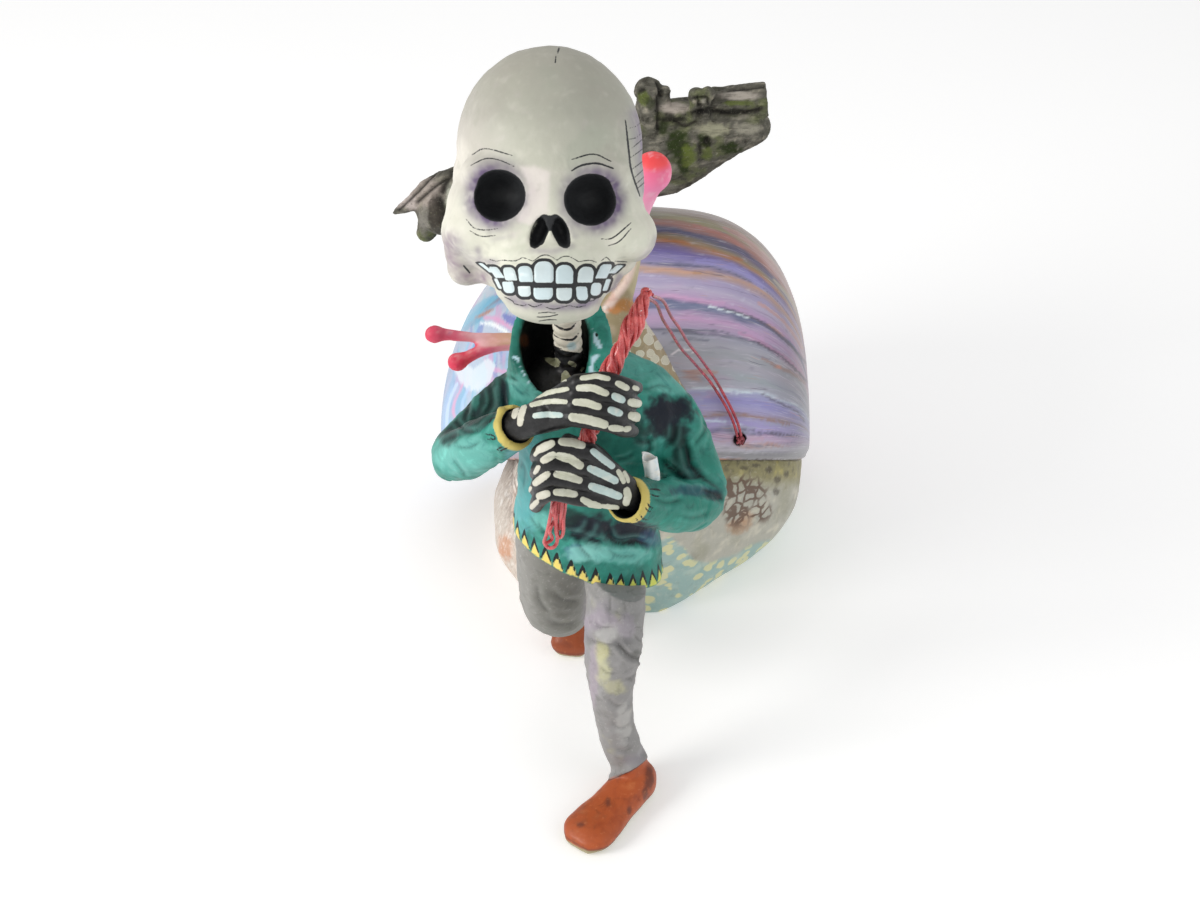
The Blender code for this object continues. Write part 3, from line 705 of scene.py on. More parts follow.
def strand_points(side):
    """One of the two thin cords: they part a little half way along."""
    base = smooth_path(STRAND_PATH, 30)
    n = len(base)
    out = []
    for i, p in enumerate(base):
        s = i / (n - 1)
        w = 0.0013 + 0.0016 * sin(pi * min(1.0, s * 1.15)) ** 2
        t = base[min(i + 1, n - 1)] - base[max(i - 1, 0)]
        d = np.cross(t, np.array((0.0, -1.0, 0.35)))
        d /= np.linalg.norm(d)
        out.append(tuple(p + side * w * d))
    return out


def curve_object(name, points, diameter, res=4, radii=None):
    """A smooth round cord through the points, in the drawing frame."""
    cu = bpy.data.curves.new(name, "CURVE")
    cu.dimensions = "3D"
    sp = cu.splines.new("POLY")
    sp.points.add(len(points) - 1)
    for i, (q, p) in enumerate(zip(sp.points, points)):
        q.co = (*(Vector(p) - ORIGIN), 1.0)
        if radii is not None:
            q.radius = radii[i]
    cu.bevel_depth = diameter / 2
    cu.bevel_resolution = res
    cu.use_fill_caps = True
    sp.use_smooth = True
    ob = bpy.data.objects.new(name, cu)
    bpy.context.scene.collection.objects.link(ob)
    return ob


CORD_RED = rgb(196, 62, 78)
CORD_DARK = rgb(128, 30, 44)
CORD_PALE = rgb(232, 128, 132)


def cord_look(name, lift=1.0, hank=False):
    """Glossy waxed cord: red, darker in the lay of its yarn, with pale wear; the hank is painted paler,
    with painted glints, and darker red towards its lower end.
    """
    m = Look(name, 0.3, Coat_Weight=0.35, Coat_Roughness=0.15)
    big = m.noise(0.006, 2.0)
    yarn = m.noise(0.0009, 2.0, 0.6)
    dark, red, pale = CORD_DARK * 1.15 * lift, CORD_RED * lift, CORD_PALE * lift
    if hank:                                      # the twisted bundle is painted in paler reds
        dark, red, pale = rgb(196, 74, 76), rgb(238, 116, 114), rgb(252, 176, 170)
    col = m.mix(m.span(big, 0.35, 0.7), dark, red)
    col = m.mix(m.span(yarn, 0.55, 0.8, 0, 0.55), col, pale)
    if hank:
        # painted highlights: sparse near-white glints on the shiny cord
        painted_glint = m.noise(0.0034, 2.0, 0.5)
        col = m.mix(m.span(painted_glint, 0.68, 0.74, 0, 0.8), col, rgb(255, 236, 234))
        tall = m.node("SeparateXYZ", {"Vector": m.coord}).outputs[2]
        col = m.mix(m.span(tall, 0.262, 0.285, 0.55, 0.0), col, rgb(176, 50, 58))
    return m.done(col, m.span(yarn, 0.3, 0.7, 0.22, 0.42), m.bump(yarn, 0.00012, 0.5))


def make_cords():
    look = cord_look("red_cord_skin")
    # the knot's red is painted darker, as painted shade in the hole it sits in
    knot_look = cord_look("knot_skin", 0.75)
    # the knot: two turns of cord round the hole's edge, pulled tight
    soup = Soup()
    turns = []
    for i in range(73):
        a = 2 * pi * 3 * i / 72
        turns.append((HOLE.x + 0.0018 * cos(a * 2 / 3) * (1 + 0.25 * cos(a)),
                      HOLE.y - 0.0006 + 0.0011 * sin(a * 2 / 3 + 0.6),
                      HOLE.z + 0.0002 + 0.0018 * sin(a)))
    tube(soup, turns, [0.00088] * len(turns), count=110, seg=10)
    for k in (0, 1):
        end = [HOLE + Vector((0.0, 0.0002, 0.0)) + Vector((0.0006 * k, -0.0008, -0.0007)) * j
               for j in range(4)]
        tube(soup, end, (0.00085, 0.00085, 0.0008, 0.0006), seg=10)
    knot = face_out(mesh_object("knot_in_the_rim", soup))
    dress(knot, knot_look, ("shell_knot",))
    for i, side in enumerate((-1, 1)):
        pts = strand_points(side)
        ob = curve_object("thin_cord_%d" % (i + 1), pts, STRAND_D, 3)
        ob.data.materials.append(look)
        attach(ob, "root")
        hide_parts("cord_strand_%d" % (i + 1))


make_cords()


# ------------------------------------------------------------------- the skull
SK_C = Vector((-0.0265, -0.030, 0.413))
SK_TILT = radians(28.0)
SK_HALF_WIDTH = 0.0510
EYE_R, EYE_T = 0.0136, 0.0127      # half width and half height of a socket
SX = Vector((1, 0, 0))
SN = Vector((0, -cos(SK_TILT), sin(SK_TILT)))     # out of the face
ST = Vector((0, sin(SK_TILT), cos(SK_TILT)))      # up the face
SK_FRAME = Matrix((SX, ST, SN)).transposed()
EYES = ((-0.0253, 0.047, -0.0026), (0.0222, 0.047, -0.0047))


def sk(x, n, t):
    return SK_C + SX * x + SN * n + ST * t


def sk_ball(soup, c, r):
    ball(soup, sk(*c), (r[0], r[2], r[1]), SK_FRAME)


def skull_shapes(soup):
    w = SK_HALF_WIDTH
    sk_ball(soup, (-0.0004, -0.006, 0.0235), (w - 0.0013, 0.057, 0.0524))        # cranium
    sk_ball(soup, (-0.0008, -0.004, 0.004), (w + 0.0002, 0.052, 0.046))
    sk_ball(soup, (-0.0026, 0.008, -0.012), (w + 0.0018, 0.044, 0.040))  # face
    for s, x, t in ((-1, -0.0462, -0.0215), (1, 0.0440, -0.0235)):    # cheekbones
        sk_ball(soup, (x, 0.008, t), (0.0114 if x < 0 else 0.0128, 0.021, 0.0145))
        sk_ball(soup, (x * 0.74, 0.022, t + 0.001), (0.020, 0.019, 0.014))
    for t, rx, n, rn in ((-0.0325, 0.0365, 0.020, 0.036), (-0.0430, 0.0338, 0.022, 0.038),
                         (-0.0510, 0.0298, 0.022, 0.036)):
        sk_ball(soup, (0.001, n, t), (rx, rn, 0.0130))                 # muzzle
    sk_ball(soup, (0.0018, 0.026, -0.0588), (0.0250, 0.027, 0.0108))   # chin
    sk_ball(soup, (0.0, 0.010, -0.045), (0.030, 0.032, 0.013))
    sk_ball(soup, (-0.0450, -0.012, -0.0398), (0.0112, 0.020, 0.0112))  # jaw corners
    sk_ball(soup, (-0.0450, -0.006, -0.0418), (0.0108, 0.014, 0.0098))
    sk_ball(soup, (-0.0466, -0.004, -0.0310), (0.0108, 0.022, 0.0135))
    sk_ball(soup, (0.0340, -0.016, -0.0350), (0.0130, 0.022, 0.0120))
    for jaw in (((-0.0440, -0.010, -0.0398), (-0.0320, 0.002, -0.0425), (-0.0150, 0.014, -0.0485)),
                ((0.0340, -0.014, -0.0360), (0.0280, 0.004, -0.0460), (0.0150, 0.018, -0.0555))):
        tube(soup, [sk(*q) for q in jaw], (0.0096, 0.0085, 0.0092), seg=28)
    for x, t in ((-0.0253, 0.0100), (0.0235, 0.0095)):               # brow ridges
        sk_ball(soup, (x, 0.027, t), (0.021, 0.0190, 0.0100))
    sk_ball(soup, (0.000, 0.034, -0.002), (0.0100, 0.0165, 0.020))     # nose bridge


def skull_hollows(soup):
    for x, n, t in EYES:
        ball(soup, sk(x, n, t), (EYE_R, EYE_T, 0.021), SK_FRAME, 48, 28)
    for x in (-0.0045, 0.0060):
        ball(soup, sk(x + 0.0004, 0.054, -0.0205), (0.0043, 0.0088, 0.0130),
             SK_FRAME @ Matrix.Rotation(radians(-24 if x < 0 else 24), 3, "Z"), 28, 18)
    ball(soup, sk(0.0008, 0.054, -0.0152), (0.0028, 0.0046, 0.0110), SK_FRAME, 28, 18)


# One row for a painted tooth: centre u, v, half width, half height, lean, corner
# radius above and below, width of its dark outline.
TEETH = (
    (543.9, 272.0, 10.1, 11.0, 0.00, 8.5, 3.5, 2.3), (564.5, 274.3, 9.0, 9.7, 0.00, 8.0, 2.0, 2.3),
    (585.8, 274.6, 8.0, 8.3, 0.12, 7.0, 2.0, 2.3), (604.0, 271.3, 5.6, 7.4, 0.45, 3.5, 1.2, 2.0),
    (615.8, 269.3, 2.9, 4.4, 1.10, 1.5, 1.0, 0.8), (525.4, 274.0, 7.3, 8.3, -0.12, 5.5, 2.0, 2.3),
    (509.8, 273.9, 6.1, 6.9, -0.26, 4.5, 1.5, 2.0), (496.3, 272.3, 4.1, 5.9, -0.68, 2.5, 1.0, 1.7),
    (485.9, 267.8, 1.7, 5.0, -1.25, 1.0, 0.8, 0.7),
    (543.2, 293.8, 10.0, 6.2, 0.00, 1.2, 5.8, 2.4), (564.1, 294.3, 8.1, 6.7, 0.00, 1.2, 6.0, 2.4),
    (582.0, 293.5, 6.0, 7.3, -0.08, 2.5, 5.0, 2.4), (596.0, 289.2, 5.4, 6.8, 0.12, 4.0, 4.5, 2.2),
    (606.7, 285.0, 2.6, 6.2, 0.35, 1.5, 1.5, 1.5), (524.5, 291.4, 6.6, 5.6, -0.10, 1.2, 4.5, 2.3),
    (508.6, 287.4, 5.8, 6.0, -0.20, 1.5, 4.5, 2.0), (498.0, 283.8, 1.9, 5.4, -0.50, 1.0, 1.2, 1.0),
)


def tooth_field(u, v):
    """Signed distance to the nearest tooth, and to the dark band round the teeth."""
    tooth = np.full(len(u), FAR)
    dark = np.full(len(u), FAR)
    who = np.zeros(len(u), int)
    for k, (cu, cv, hw, hh, lean, rt, rb, rim) in enumerate(TEETH):
        y = v - cv
        x = (u - cu) + lean * y
        r = np.where(y < 0, rt, rb)
        r = np.minimum(r, min(hw, hh) * 0.98)
        qx, qy = np.abs(x) / sqrt(1 + lean * lean) * 1.0 - hw + r, np.abs(y) - hh + r
        d = np.minimum(np.maximum(qx, qy), 0) + np.hypot(qx.clip(0), qy.clip(0)) - r
        who = np.where(d < tooth, k, who)
        tooth = np.minimum(tooth, d + 0.35)
        dark = np.minimum(dark, d - rim - 0.5)
    return tooth, dark, who


A = (455, 30, 5.0586)
SKULL_LINES = (          # width in front view pixels, then the line in frame A
    (1.9, ((536, 74), (517, 118), (507, 165))),
    (1.3, ((85, 632), (155, 600), (290, 635))),
    (1.3, ((80, 685), (150, 652), (215, 655), (300, 690))),
    (1.5, ((590, 655), (700, 628), (790, 665))),
    (2.1, ((590, 712), (640, 685), (720, 675), (800, 700))),
    (1.2, ((55, 955), (95, 1000), (150, 1012), (215, 1005))),
    (1.2, ((75, 1015), (130, 1043), (205, 1040))),
    (1.4, ((740, 1057), (800, 1050), (890, 975))),
    (1.2, ((775, 1092), (830, 1070), (890, 1005))),
    (2.0, ((862, 455), (878, 600), (892, 710), (935, 840))),
    (1.0, ((882, 497), (920, 485), (945, 460))), (1.0, ((880, 553), (915, 545), (945, 520))),
    (1.0, ((895, 598), (940, 560), (975, 530))), (1.0, ((890, 645), (950, 600), (985, 560))),
    (1.0, ((895, 705), (960, 655), (985, 620))), (1.0, ((905, 750), (970, 690))),
    (1.0, ((915, 780), (970, 730))), (1.0, ((925, 800), (965, 765))),
    (1.1, ((207, 1170), (240, 1165), (300, 1168), (325, 1160), (345, 1152), (395, 1170))),
    (1.1, ((395, 1170), (430, 1145), (460, 1138), (490, 1148), (515, 1165))),
    (1.1, ((515, 1165), (545, 1147), (575, 1145), (605, 1160), (625, 1172))),
    (1.1, ((625, 1172), (680, 1165), (715, 1175))),
    (1.1, ((740, 1168), (765, 1150), (790, 1172))), (1.1, ((810, 1170), (870, 1173))),
    (1.1, ((175, 1160), (207, 1170))),
    (1.1, ((250, 1350), (290, 1370), (300, 1385))), (1.1, ((300, 1385), (345, 1395), (360, 1390))),
    (1.1, ((370, 1388), (400, 1400), (440, 1388))), (1.2, ((450, 1398), (500, 1412), (570, 1395))),
    (1.1, ((575, 1393), (620, 1402), (660, 1395))), (1.0, ((660, 1372), (700, 1368), (720, 1345))),
    (1.2, ((422, 1432), (470, 1428), (510, 1432))), (1.2, ((415, 1452), (470, 1450), (520, 1440))),
    (1.1, ((425, 1473), (470, 1466), (515, 1466))),
)


def make_skull():
    ob = blob("skull_skin", skull_shapes, 0.00115, 30)
    cut(ob, skull_hollows)
    remesh(ob, 0.00131, 2)
    p = co_of(ob)
    u, v = front_view(p)
    face = facing(p, normals_of(ob))
    near = (face > -0.05) & (u > 452) & (u < 662) & (v > 138) & (v < 332)
    refine(ob, near)
    relax(ob, 2)
    p, n = co_of(ob), normals_of(ob)
    # hand-laid paper: broad dents, small lumps, a few overlapping edges of paper
    lump = 0.00075 * fbm(p, 0.034, 2, seed=1) + 0.00026 * fbm(p, 0.010, 3, seed=2)
    edge = ridges(p, 0.030, 2, seed=3)
    lump += 0.00022 * step(edge, 0.72, 0.95)
    lump += 0.00007 * fbm(p, 0.0028, 2, seed=4)
    u, v = front_view(p)
    face = facing(p, n)
    ok = face > 0.03
    tooth, dark, who = tooth_field(u, v)
    mouth = np.where(ok, np.minimum(tooth, FAR), FAR)
    calm = step(mouth, 0.0, 10.0)
    lump = lump * (0.35 + 0.65 * calm)
    # the teeth stand a little proud, the dark line between them is pressed in
    lump += 0.00055 * step(-mouth, -0.6, 2.2) - 0.00022 * bump_at(mouth, 1.4, 1.2)
    # gums: a soft swelling along both rows
    lump += 0.0007 * bump_at(np.where(ok, v - 262 + 0.004 * (u - 550) ** 2 * 0.06, 99), 0, 5) \
        * step(u, 480, 500) * (1 - step(u, 605, 620))
    set_co(ob, p + n * lump[:, None])
    p, n = co_of(ob), normals_of(ob)
    u, v = front_view(p)
    ok = facing(p, n) > 0.02

    ink = np.full(len(p), FAR)
    for w, pts in SKULL_LINES:
        stroke(ink, u, v, ok, crop(*A, pts), w)
    # between the rows of teeth, and the dark sliver on the jaw
    stroke(ink, u, v, ok, ((484, 262.5), (492, 272), (498, 278.5), (510, 283.3), (526, 285.3),
                           (545, 285.6), (566, 285.6), (585, 284.3), (598, 280.2), (610, 277.0),
                           (616, 273)), 2.3, 0.6)
    stroke(ink, u, v, ok, ((463.5, 265.5), (466, 268.5), (470, 273)), 2.0)
    stroke(ink, u, v, ok, ((478, 262), (485, 270), (494, 277)), 1.2)
    tooth, dark, who = tooth_field(u, v)
    dark = np.where(ok, dark, FAR)
    tooth = np.where(ok, tooth, FAR)
    ink = np.maximum(np.minimum(ink, dark), -tooth)
    # sockets and nose are painted black inside
    q = p - np.array(SK_C)
    X = q @ np.array(SX)
    N = q @ np.array(SN)
    T = q @ np.array(ST)
    for x, nn, t in EYES:
        e = np.sqrt(((X - x) / EYE_R) ** 2 + ((T - t) / EYE_T) ** 2 + ((N - nn) / 0.021) ** 2)
        ink = np.minimum(ink, np.where(N > 0.0, (e - 1.045) * EYE_R / 0.00055, FAR))
    fu = ok | (N > 0.02)
    lobes = np.full(len(p), FAR)
    for (a0, b0), (a1, b1), r0, r1 in (((549.2, 219.5), (538.8, 239.5), 3.8, 6.2),
                                       ((549.8, 219.5), (563.8, 241.0), 3.8, 6.6),
                                       ((549.3, 219.0), (549.6, 226.5), 3.8, 4.6)):
        dd, s = polyline(u, v, ((a0, b0), (a1, b1)))
        lobes = np.minimum(lobes, dd - (r0 + (r1 - r0) * s))
    ink = np.minimum(ink, np.where(fu & (N > 0.02) & (np.abs(X) < 0.02), lobes, FAR))
    for x in (-0.0045, 0.0060):
        a = radians(-24 if x < 0 else 24)
        x1, t1 = X - x - 0.0004, T + 0.0205
        e = np.sqrt(((x1 * cos(a) + t1 * sin(a)) / 0.0043) ** 2
                    + ((t1 * cos(a) - x1 * sin(a)) / 0.0088) ** 2 + ((N - 0.054) / 0.0130) ** 2)
        ink = np.minimum(ink, np.where(N > 0.02, (e - 1.06) * 0.0060 / 0.00055, FAR))
    # colours
    col = np.tile(rgb(222, 222, 205), (len(p), 1))
    warm = rgb(236, 228, 220)
    col = layer(col, rgb(214, 210, 196), step(fbm(p, 0.030, 3, seed=8), -0.1, 0.6) * 0.7)
    col = layer(col, rgb(208, 214, 194), step(fbm(p, 0.024, 3, seed=12), 0.0, 0.6) * 0.55)
    col = layer(col, warm, step(fbm(p, 0.012, 3, seed=9), 0.15, 0.7) * 0.5)
    # painted light: the left side lighter and warmer, as if lit from the left
    col = layer(col, warm * 1.04, 0.70 * step(-X, 0.014, 0.050) * step(T, -0.04, 0.03)
                * (1 - 0.6 * step(T, 0.030, 0.060)))
    # painted shade: a greyer tone over the crown
    col = layer(col, rgb(205, 199, 184), 0.5 * step(T, 0.040, 0.072))
    # painted shade: darker towards the crown and under the mouth, the lit left side kept lighter as
    # painted light
    shade = np.interp(T, (-0.072, -0.056, -0.046, -0.020, 0.004, 0.014, 0.030, 0.040),
                      (0.70, 0.78, 0.95, 1.0, 0.86, 0.74, 0.66, 0.58))
    shade = np.maximum(shade, 0.88 * step(-X, 0.008, 0.048) * step(T, -0.035, -0.02)
                       * (1 - step(T, 0.012, 0.066)))
    col = col * shade[:, None]
    lilac = rgb(128, 114, 138)
    pale_lilac = rgb(190, 178, 192)
    # lilac rings round the sockets, stronger on their outer sides
    for (x, nn, t), side, w in zip(EYES, (-1, 1), (0.0050, 0.0044)):
        rr = np.hypot(X - x, T - t)
        a = np.arctan2(T - t, side * (X - x))      # 0 on the outer side
        amt = bump_at(rr, EYE_R, w) * (N > 0.012) * (0.62 + 0.5 * step(np.cos(a), -0.6, 0.5))
        amt = (amt * (0.85 + 0.4 * fbm(p, 0.006, 2, seed=5))).clip(0, 1)
        col = layer(col, rgb(104, 88, 118), amt)
    front = ok & (N > 0)

    speckle = fbm(p, 0.005, 2, seed=6)

    def wash(pts, reach, amount, colour=lilac):
        nonlocal col
        d, _ = polyline(u, v, pts)
        w = np.where(ok, np.exp(-(d / reach) ** 2), 0) * amount
        col = layer(col, colour, w * (0.8 + 0.4 * speckle))

    wash(((638, 116), (642, 140), (645, 165), (647, 190)), 9, 0.95)           # temple
    wash(((492, 240), (512, 236)), 3, 0.25)
    wash(((512, 298), (524, 304), (545, 306), (566, 307), (585, 305), (596, 300)), 5.0, 0.9)
    wash(((532, 250), (552, 252), (572, 246)), 3.5, 0.5)
    wash(((567, 225), (575, 236)), 3.5, 0.45)
    wash(((596, 226), (604, 221)), 3.0, 0.5)
    wash(((640, 262), (652, 250), (657, 238)), 4.5, 0.6)
    wash(((478, 250), (480, 262), (496, 262)), 4.0, 0.6)
    wash(((448, 240), (452, 262), (462, 276), (482, 278)), 10.0, 1.0, rgb(146, 128, 140))
    wash(((612, 290), (620, 276)), 4.0, 0.75)
    wash(((456, 240), (470, 262)), 8.0, 0.35)
    # painted highlight: the lit left face of the nose bridge, pale pink
    plane = polygon(u, v, ((519, 166), (534, 164), (552, 172), (549, 212), (531, 226), (514, 222),
                           (526, 204), (527, 186)))
    plane = plane + 3.2 * fbm(p, 0.007, 3, seed=15)
    col = layer(col, rgb(244, 232, 230), np.where(ok, 0.50, 0) * (1 - step(plane, -4.5, 2.2)))
    mottle = fbm(p, 0.0075, 3, seed=16)
    col = layer(col, rgb(238, 234, 222), step(mottle, 0.12, 0.6) * 0.35 * shade ** 2)
    col = layer(col, rgb(168, 168, 154), step(-mottle, 0.15, 0.65) * 0.35)
    # teeth, each a little different
    tint = np.array([(0.98, 1.0, 1.0), (0.94, 0.985, 0.99), (1.0, 1.0, 0.98), (0.96, 0.99, 1.0)])
    white = rgb(212, 225, 228)
    inside = step(-tooth, -0.8, 0.2)[:, None]
    col = col * (1 - inside) + white * tint[who % 4] * inside
    put_colour(ob, col)
    put_value(ob, "ink", ink.clip(-4, FAR))
    put_value(ob, "tooth", tooth.clip(-6, FAR))

    m = Look("skull_paint", 0.5, Specular_IOR_Level=0.4)
    base = m.attr("paint", "Color")
    fine = m.noise(0.0045, 4.0, 0.6)
    brush = m.noise(0.008, 3.0, 0.6, 0.6, m.stretched(1.0, 0.6, 0.25))
    base = m.mix(m.span(fine, 0.50, 0.80, 0, 0.05), base, rgb(250, 247, 240))
    base = m.mix(m.span(brush, 0.5, 0.8, 0, 0.14), base, rgb(168, 164, 152))
    rough_edge = m.math("MULTIPLY_ADD", m.noise(0.0016, 2.0), 0.9)
    rough_edge.node.inputs[2].default_value = -0.45
    d = m.math("ADD", m.attr("ink"), rough_edge)
    line = m.span(d, -0.35, 0.35, 1.0, 0.0)
    black = m.mix(m.noise(0.004, 2.0), rgb(24, 25, 28), rgb(50, 52, 54))
    col_out = m.mix(line, base, black)
    toothy = m.span(m.attr("tooth"), -0.5, 0.1, 1.0, 0.0)
    rough = m.mix(toothy, (0.52,) * 3, (0.33,) * 3)
    rough = m.mix(line, rough, (0.60,) * 3)
    h = m.bump(m.noise(0.0011, 3.0, 0.6), 0.00010, 0.5)
    h = m.bump(brush, 0.0004, 0.35, h)
    dress(ob, m.done(col_out, rough, h), ("skull",))
    return ob


make_skull()


# ------------------------------------------------------------------ the jacket
JACKET_SECTIONS = (      # z, centre x, centre y, half width, half depth
    (0.118, -0.008, -0.010, 0.0485, 0.0375), (0.150, -0.008, -0.010, 0.0465, 0.0360),
    (0.180, -0.009, -0.012, 0.0440, 0.0345), (0.210, -0.006, -0.013, 0.0430, 0.0340),
    (0.240, -0.003, -0.013, 0.0460, 0.0350), (0.262, -0.003, -0.011, 0.0500, 0.0340),
    (0.278, -0.010, -0.010, 0.0450, 0.0320), (0.290, -0.018, -0.012, 0.0345, 0.0320),
    (0.300, -0.0220, -0.016, 0.0290, 0.0310), (0.318, -0.0220, -0.017, 0.0285, 0.0300),
    (0.335, -0.0220, -0.016, 0.0285, 0.0285))
COLLAR_BACK = (0.014, 0.3280)     # y, z of the collar's rim behind and in front
COLLAR_FRONT = (-0.046, 0.2870)
SLEEVE_L = (((0.024, -0.004, 0.266), 0.0185), ((0.0400, -0.008, 0.250), 0.0188),
            ((0.0510, -0.014, 0.227), 0.0188), ((0.0575, -0.030, 0.2095), 0.0180),
            ((0.044, -0.054, 0.2200), 0.0160), ((0.0222, -0.0775, 0.2408), 0.0134))
SLEEVE_R = (((-0.038, -0.004, 0.268), 0.0168), ((-0.0570, -0.010, 0.2580), 0.0164),
            ((-0.0755, -0.024, 0.2440), 0.0162), ((-0.0836, -0.040, 0.2432), 0.0146),
            ((-0.068, -0.060, 0.2668), 0.0148), ((-0.0518, -0.0730, 0.2858), 0.0122))
HEM_Z = 0.151
HEM_SLOPE = -0.427
HEM_N = Vector((HEM_SLOPE, 0, -1)).normalized()


def cuff_axis(sleeve, beyond):
    """The middle of a cuff's rim, and the way it points."""
    a, b = Vector(sleeve[-2][0]), Vector(sleeve[-1][0])
    d = (b - a).normalized()
    return b + d * beyond, d


CUFF_L, CUFF_L_DIR = cuff_axis(SLEEVE_L, 0.0148)
CUFF_R, CUFF_R_DIR = cuff_axis(SLEEVE_R, 0.0105)
CUFFS = ((CUFF_L, CUFF_L_DIR, 0.0125), (CUFF_R, CUFF_R_DIR, 0.0117))


def jacket_shapes(soup):
    ang = np.linspace(0, 2 * pi, 96, endpoint=False)
    sec = smooth_path(JACKET_SECTIONS, 90)
    rings = []
    for z, cx, cy, rx, ry in sec:
        ring = []
        for a in ang:
            ca, sa = cos(a), sin(a)
            k = (abs(ca) ** 2.1 + abs(sa) ** 2.1) ** (-1 / 2.1)
            ring.append((cx + rx * k * ca, cy + ry * k * sa, z))
        rings.append(ring)
    rings_to_faces(soup, rings)
    for sleeve, (rim, d, r) in zip((SLEEVE_L, SLEEVE_R), CUFFS):
        pts = [p for p, q in sleeve] + [tuple(rim + d * 0.004)]
        rad = [q for p, q in sleeve] + [r]
        tube(soup, pts, rad, seg=48, round_ends=False)
        ball(soup, pts[0], rad[0] * 0.98)


def cuff_ends(soup, rim, d, r):
    """What lies beyond the rim."""
    s = d.to_track_quat("Z", "Y").to_matrix().to_4x4()
    rod(soup, r + 0.0035, r + 0.0035, 0.020, Matrix.Translation(rim + d * 0.010) @ s)


def cuff_inside(soup, rim, d, r):
    s = d.to_track_quat("Z", "Y").to_matrix().to_4x4()
    rod(soup, r - 0.0032, r - 0.0019, 0.022, Matrix.Translation(rim - d * 0.010) @ s)


def collar_room(soup):
    """Everything above the sloping rim of the collar."""
    (y0, z0), (y1, z1) = COLLAR_BACK, COLLAR_FRONT
    ang = math.atan2(z0 - z1, y0 - y1)
    m = Matrix.Translation((-0.0220, (y0 + y1) / 2, (z0 + z1) / 2)) @ \
        Matrix.Rotation(ang, 4, "X") @ Matrix.Translation((0, 0.010, 0.030)) @ \
        Matrix.Diagonal((0.0720, 0.0900, 0.0600, 1.0))
    block(soup, m)


HOLLOW = ((0.258, -0.0190, -0.016, 0.0080, 0.0070), (0.264, -0.0200, -0.016, 0.0150, 0.0150),
          (0.280, -0.0228, -0.016, 0.0180, 0.0215), (0.300, -0.0255, -0.016, 0.0192, 0.0258),
          (0.320, -0.0258, -0.016, 0.0192, 0.0250), (0.345, -0.0258, -0.016, 0.0192, 0.0250))


def in_hollow(p, room):
    """Whether a point lies inside the neck opening or on its wall."""
    t = np.array(HOLLOW)
    cx, cy, rx, ry = (np.interp(p[:, 2], t[:, 0], t[:, i]) for i in (1, 2, 3, 4))
    dy = p[:, 1] - cy
    ry = np.where(dy < 0, ry * 1.12, ry)
    return np.hypot((p[:, 0] - cx) / (rx + room), dy / (ry + room)) < 1.0


def collar_hollow(soup):
    """The neck opening: a bowl inside the rim that runs to a point in front."""
    rings = []
    ang = np.linspace(0, 2 * pi, 64, endpoint=False)
    for z, cx, cy, rx, ry in smooth_path(
            HOLLOW, 28):
        rings.append([(cx + rx * cos(a), cy + ry * sin(a) * (1.12 if sin(a) < 0 else 1.0), z)
                      for a in ang])
    rings_to_faces(soup, rings)


B = (430, 320, 5.058)
FOLDS = (                # depth in mm, width in pixels, and the line in frame B
    (2.4, 3.2, ((1165, 705), (1240, 770), (1310, 800), (1400, 792))),
    (2.6, 3.6, ((1290, 610), (1305, 680), (1320, 740), (1380, 800), (1490, 872))),
    (2.6, 3.6, ((1370, 855), (1440, 880), (1490, 918))),
    (1.6, 2.6, ((1100, 590), (1110, 650), (1080, 690))),
    (1.2, 2.2, ((1050, 610), (1095, 620), (1140, 600))),
    (1.0, 2.0, ((940, 705), (985, 700), (1035, 678))),
    (2.2, 3.0, ((690, 1085), (760, 1100), (880, 1130))),
    (2.2, 3.0, ((890, 1040), (915, 1105), (960, 1130), (1040, 1122), (1120, 1140))),
    (1.4, 3.0, ((820, 1010), (800, 1060), (745, 1100))),
    (1.2, 2.6, ((640, 1060), (585, 1075), (545, 1020))),
    (1.6, 3.0, ((370, 255), (372, 330), (388, 440), (420, 470))),
    (1.3, 2.4, ((40, 642), (130, 590), (250, 560), (330, 482))),
    (0.9, 2.0, ((205, 365), (190, 440), (170, 520))),
    (0.9, 2.2, ((300, 330), (310, 420), (280, 480))),
    (1.0, 2.2, ((120, 500), (180, 560), (250, 565))),
    (0.9, 2.2, ((130, 640), (200, 645), (260, 610))),
    (0.8, 2.2, ((110, 700), (160, 760), (185, 800))),
    (1.0, 2.6, ((1180, 660), (1230, 600), (1240, 520))),
    (1.0, 2.4, ((1330, 640), (1390, 560), (1395, 470))),
    (0.8, 2.4, ((1010, 330), (1090, 350), (1160, 330), (1230, 350))),
    (0.9, 2.6, ((1120, 900), (1200, 925), (1290, 905))),
    (0.7, 2.4, ((1240, 985), (1330, 1000), (1420, 975))),
    (1.1, 2.6, ((740, 1105), (770, 1160), (820, 1210))),
    (0.8, 2.4, ((900, 1160), (960, 1195), (1050, 1190))),
    (0.7, 2.0, ((455, 700), (480, 760), (470, 860))),
    (0.8, 2.2, ((500, 980), (545, 1050), (600, 1100))),
    (0.9, 2.0, ((350, 245), (395, 285), (450, 310))),
)
NK = (510, 315, 15.68)
COLLAR_MARKS = (
    (3.6, ((70, 660), (140, 690), (195, 780), (240, 930))),
    (3.0, ((315, 1045), (370, 1012), (430, 1022), (500, 1080))),
    (3.9, ((1260, 225), (1310, 330), (1370, 430), (1415, 505))),
    (4.2, ((1365, 640), (1285, 720), (1262, 830), (1300, 905))),
    (2.8, ((1455, 900), (1500, 860), (1540, 850))),
)
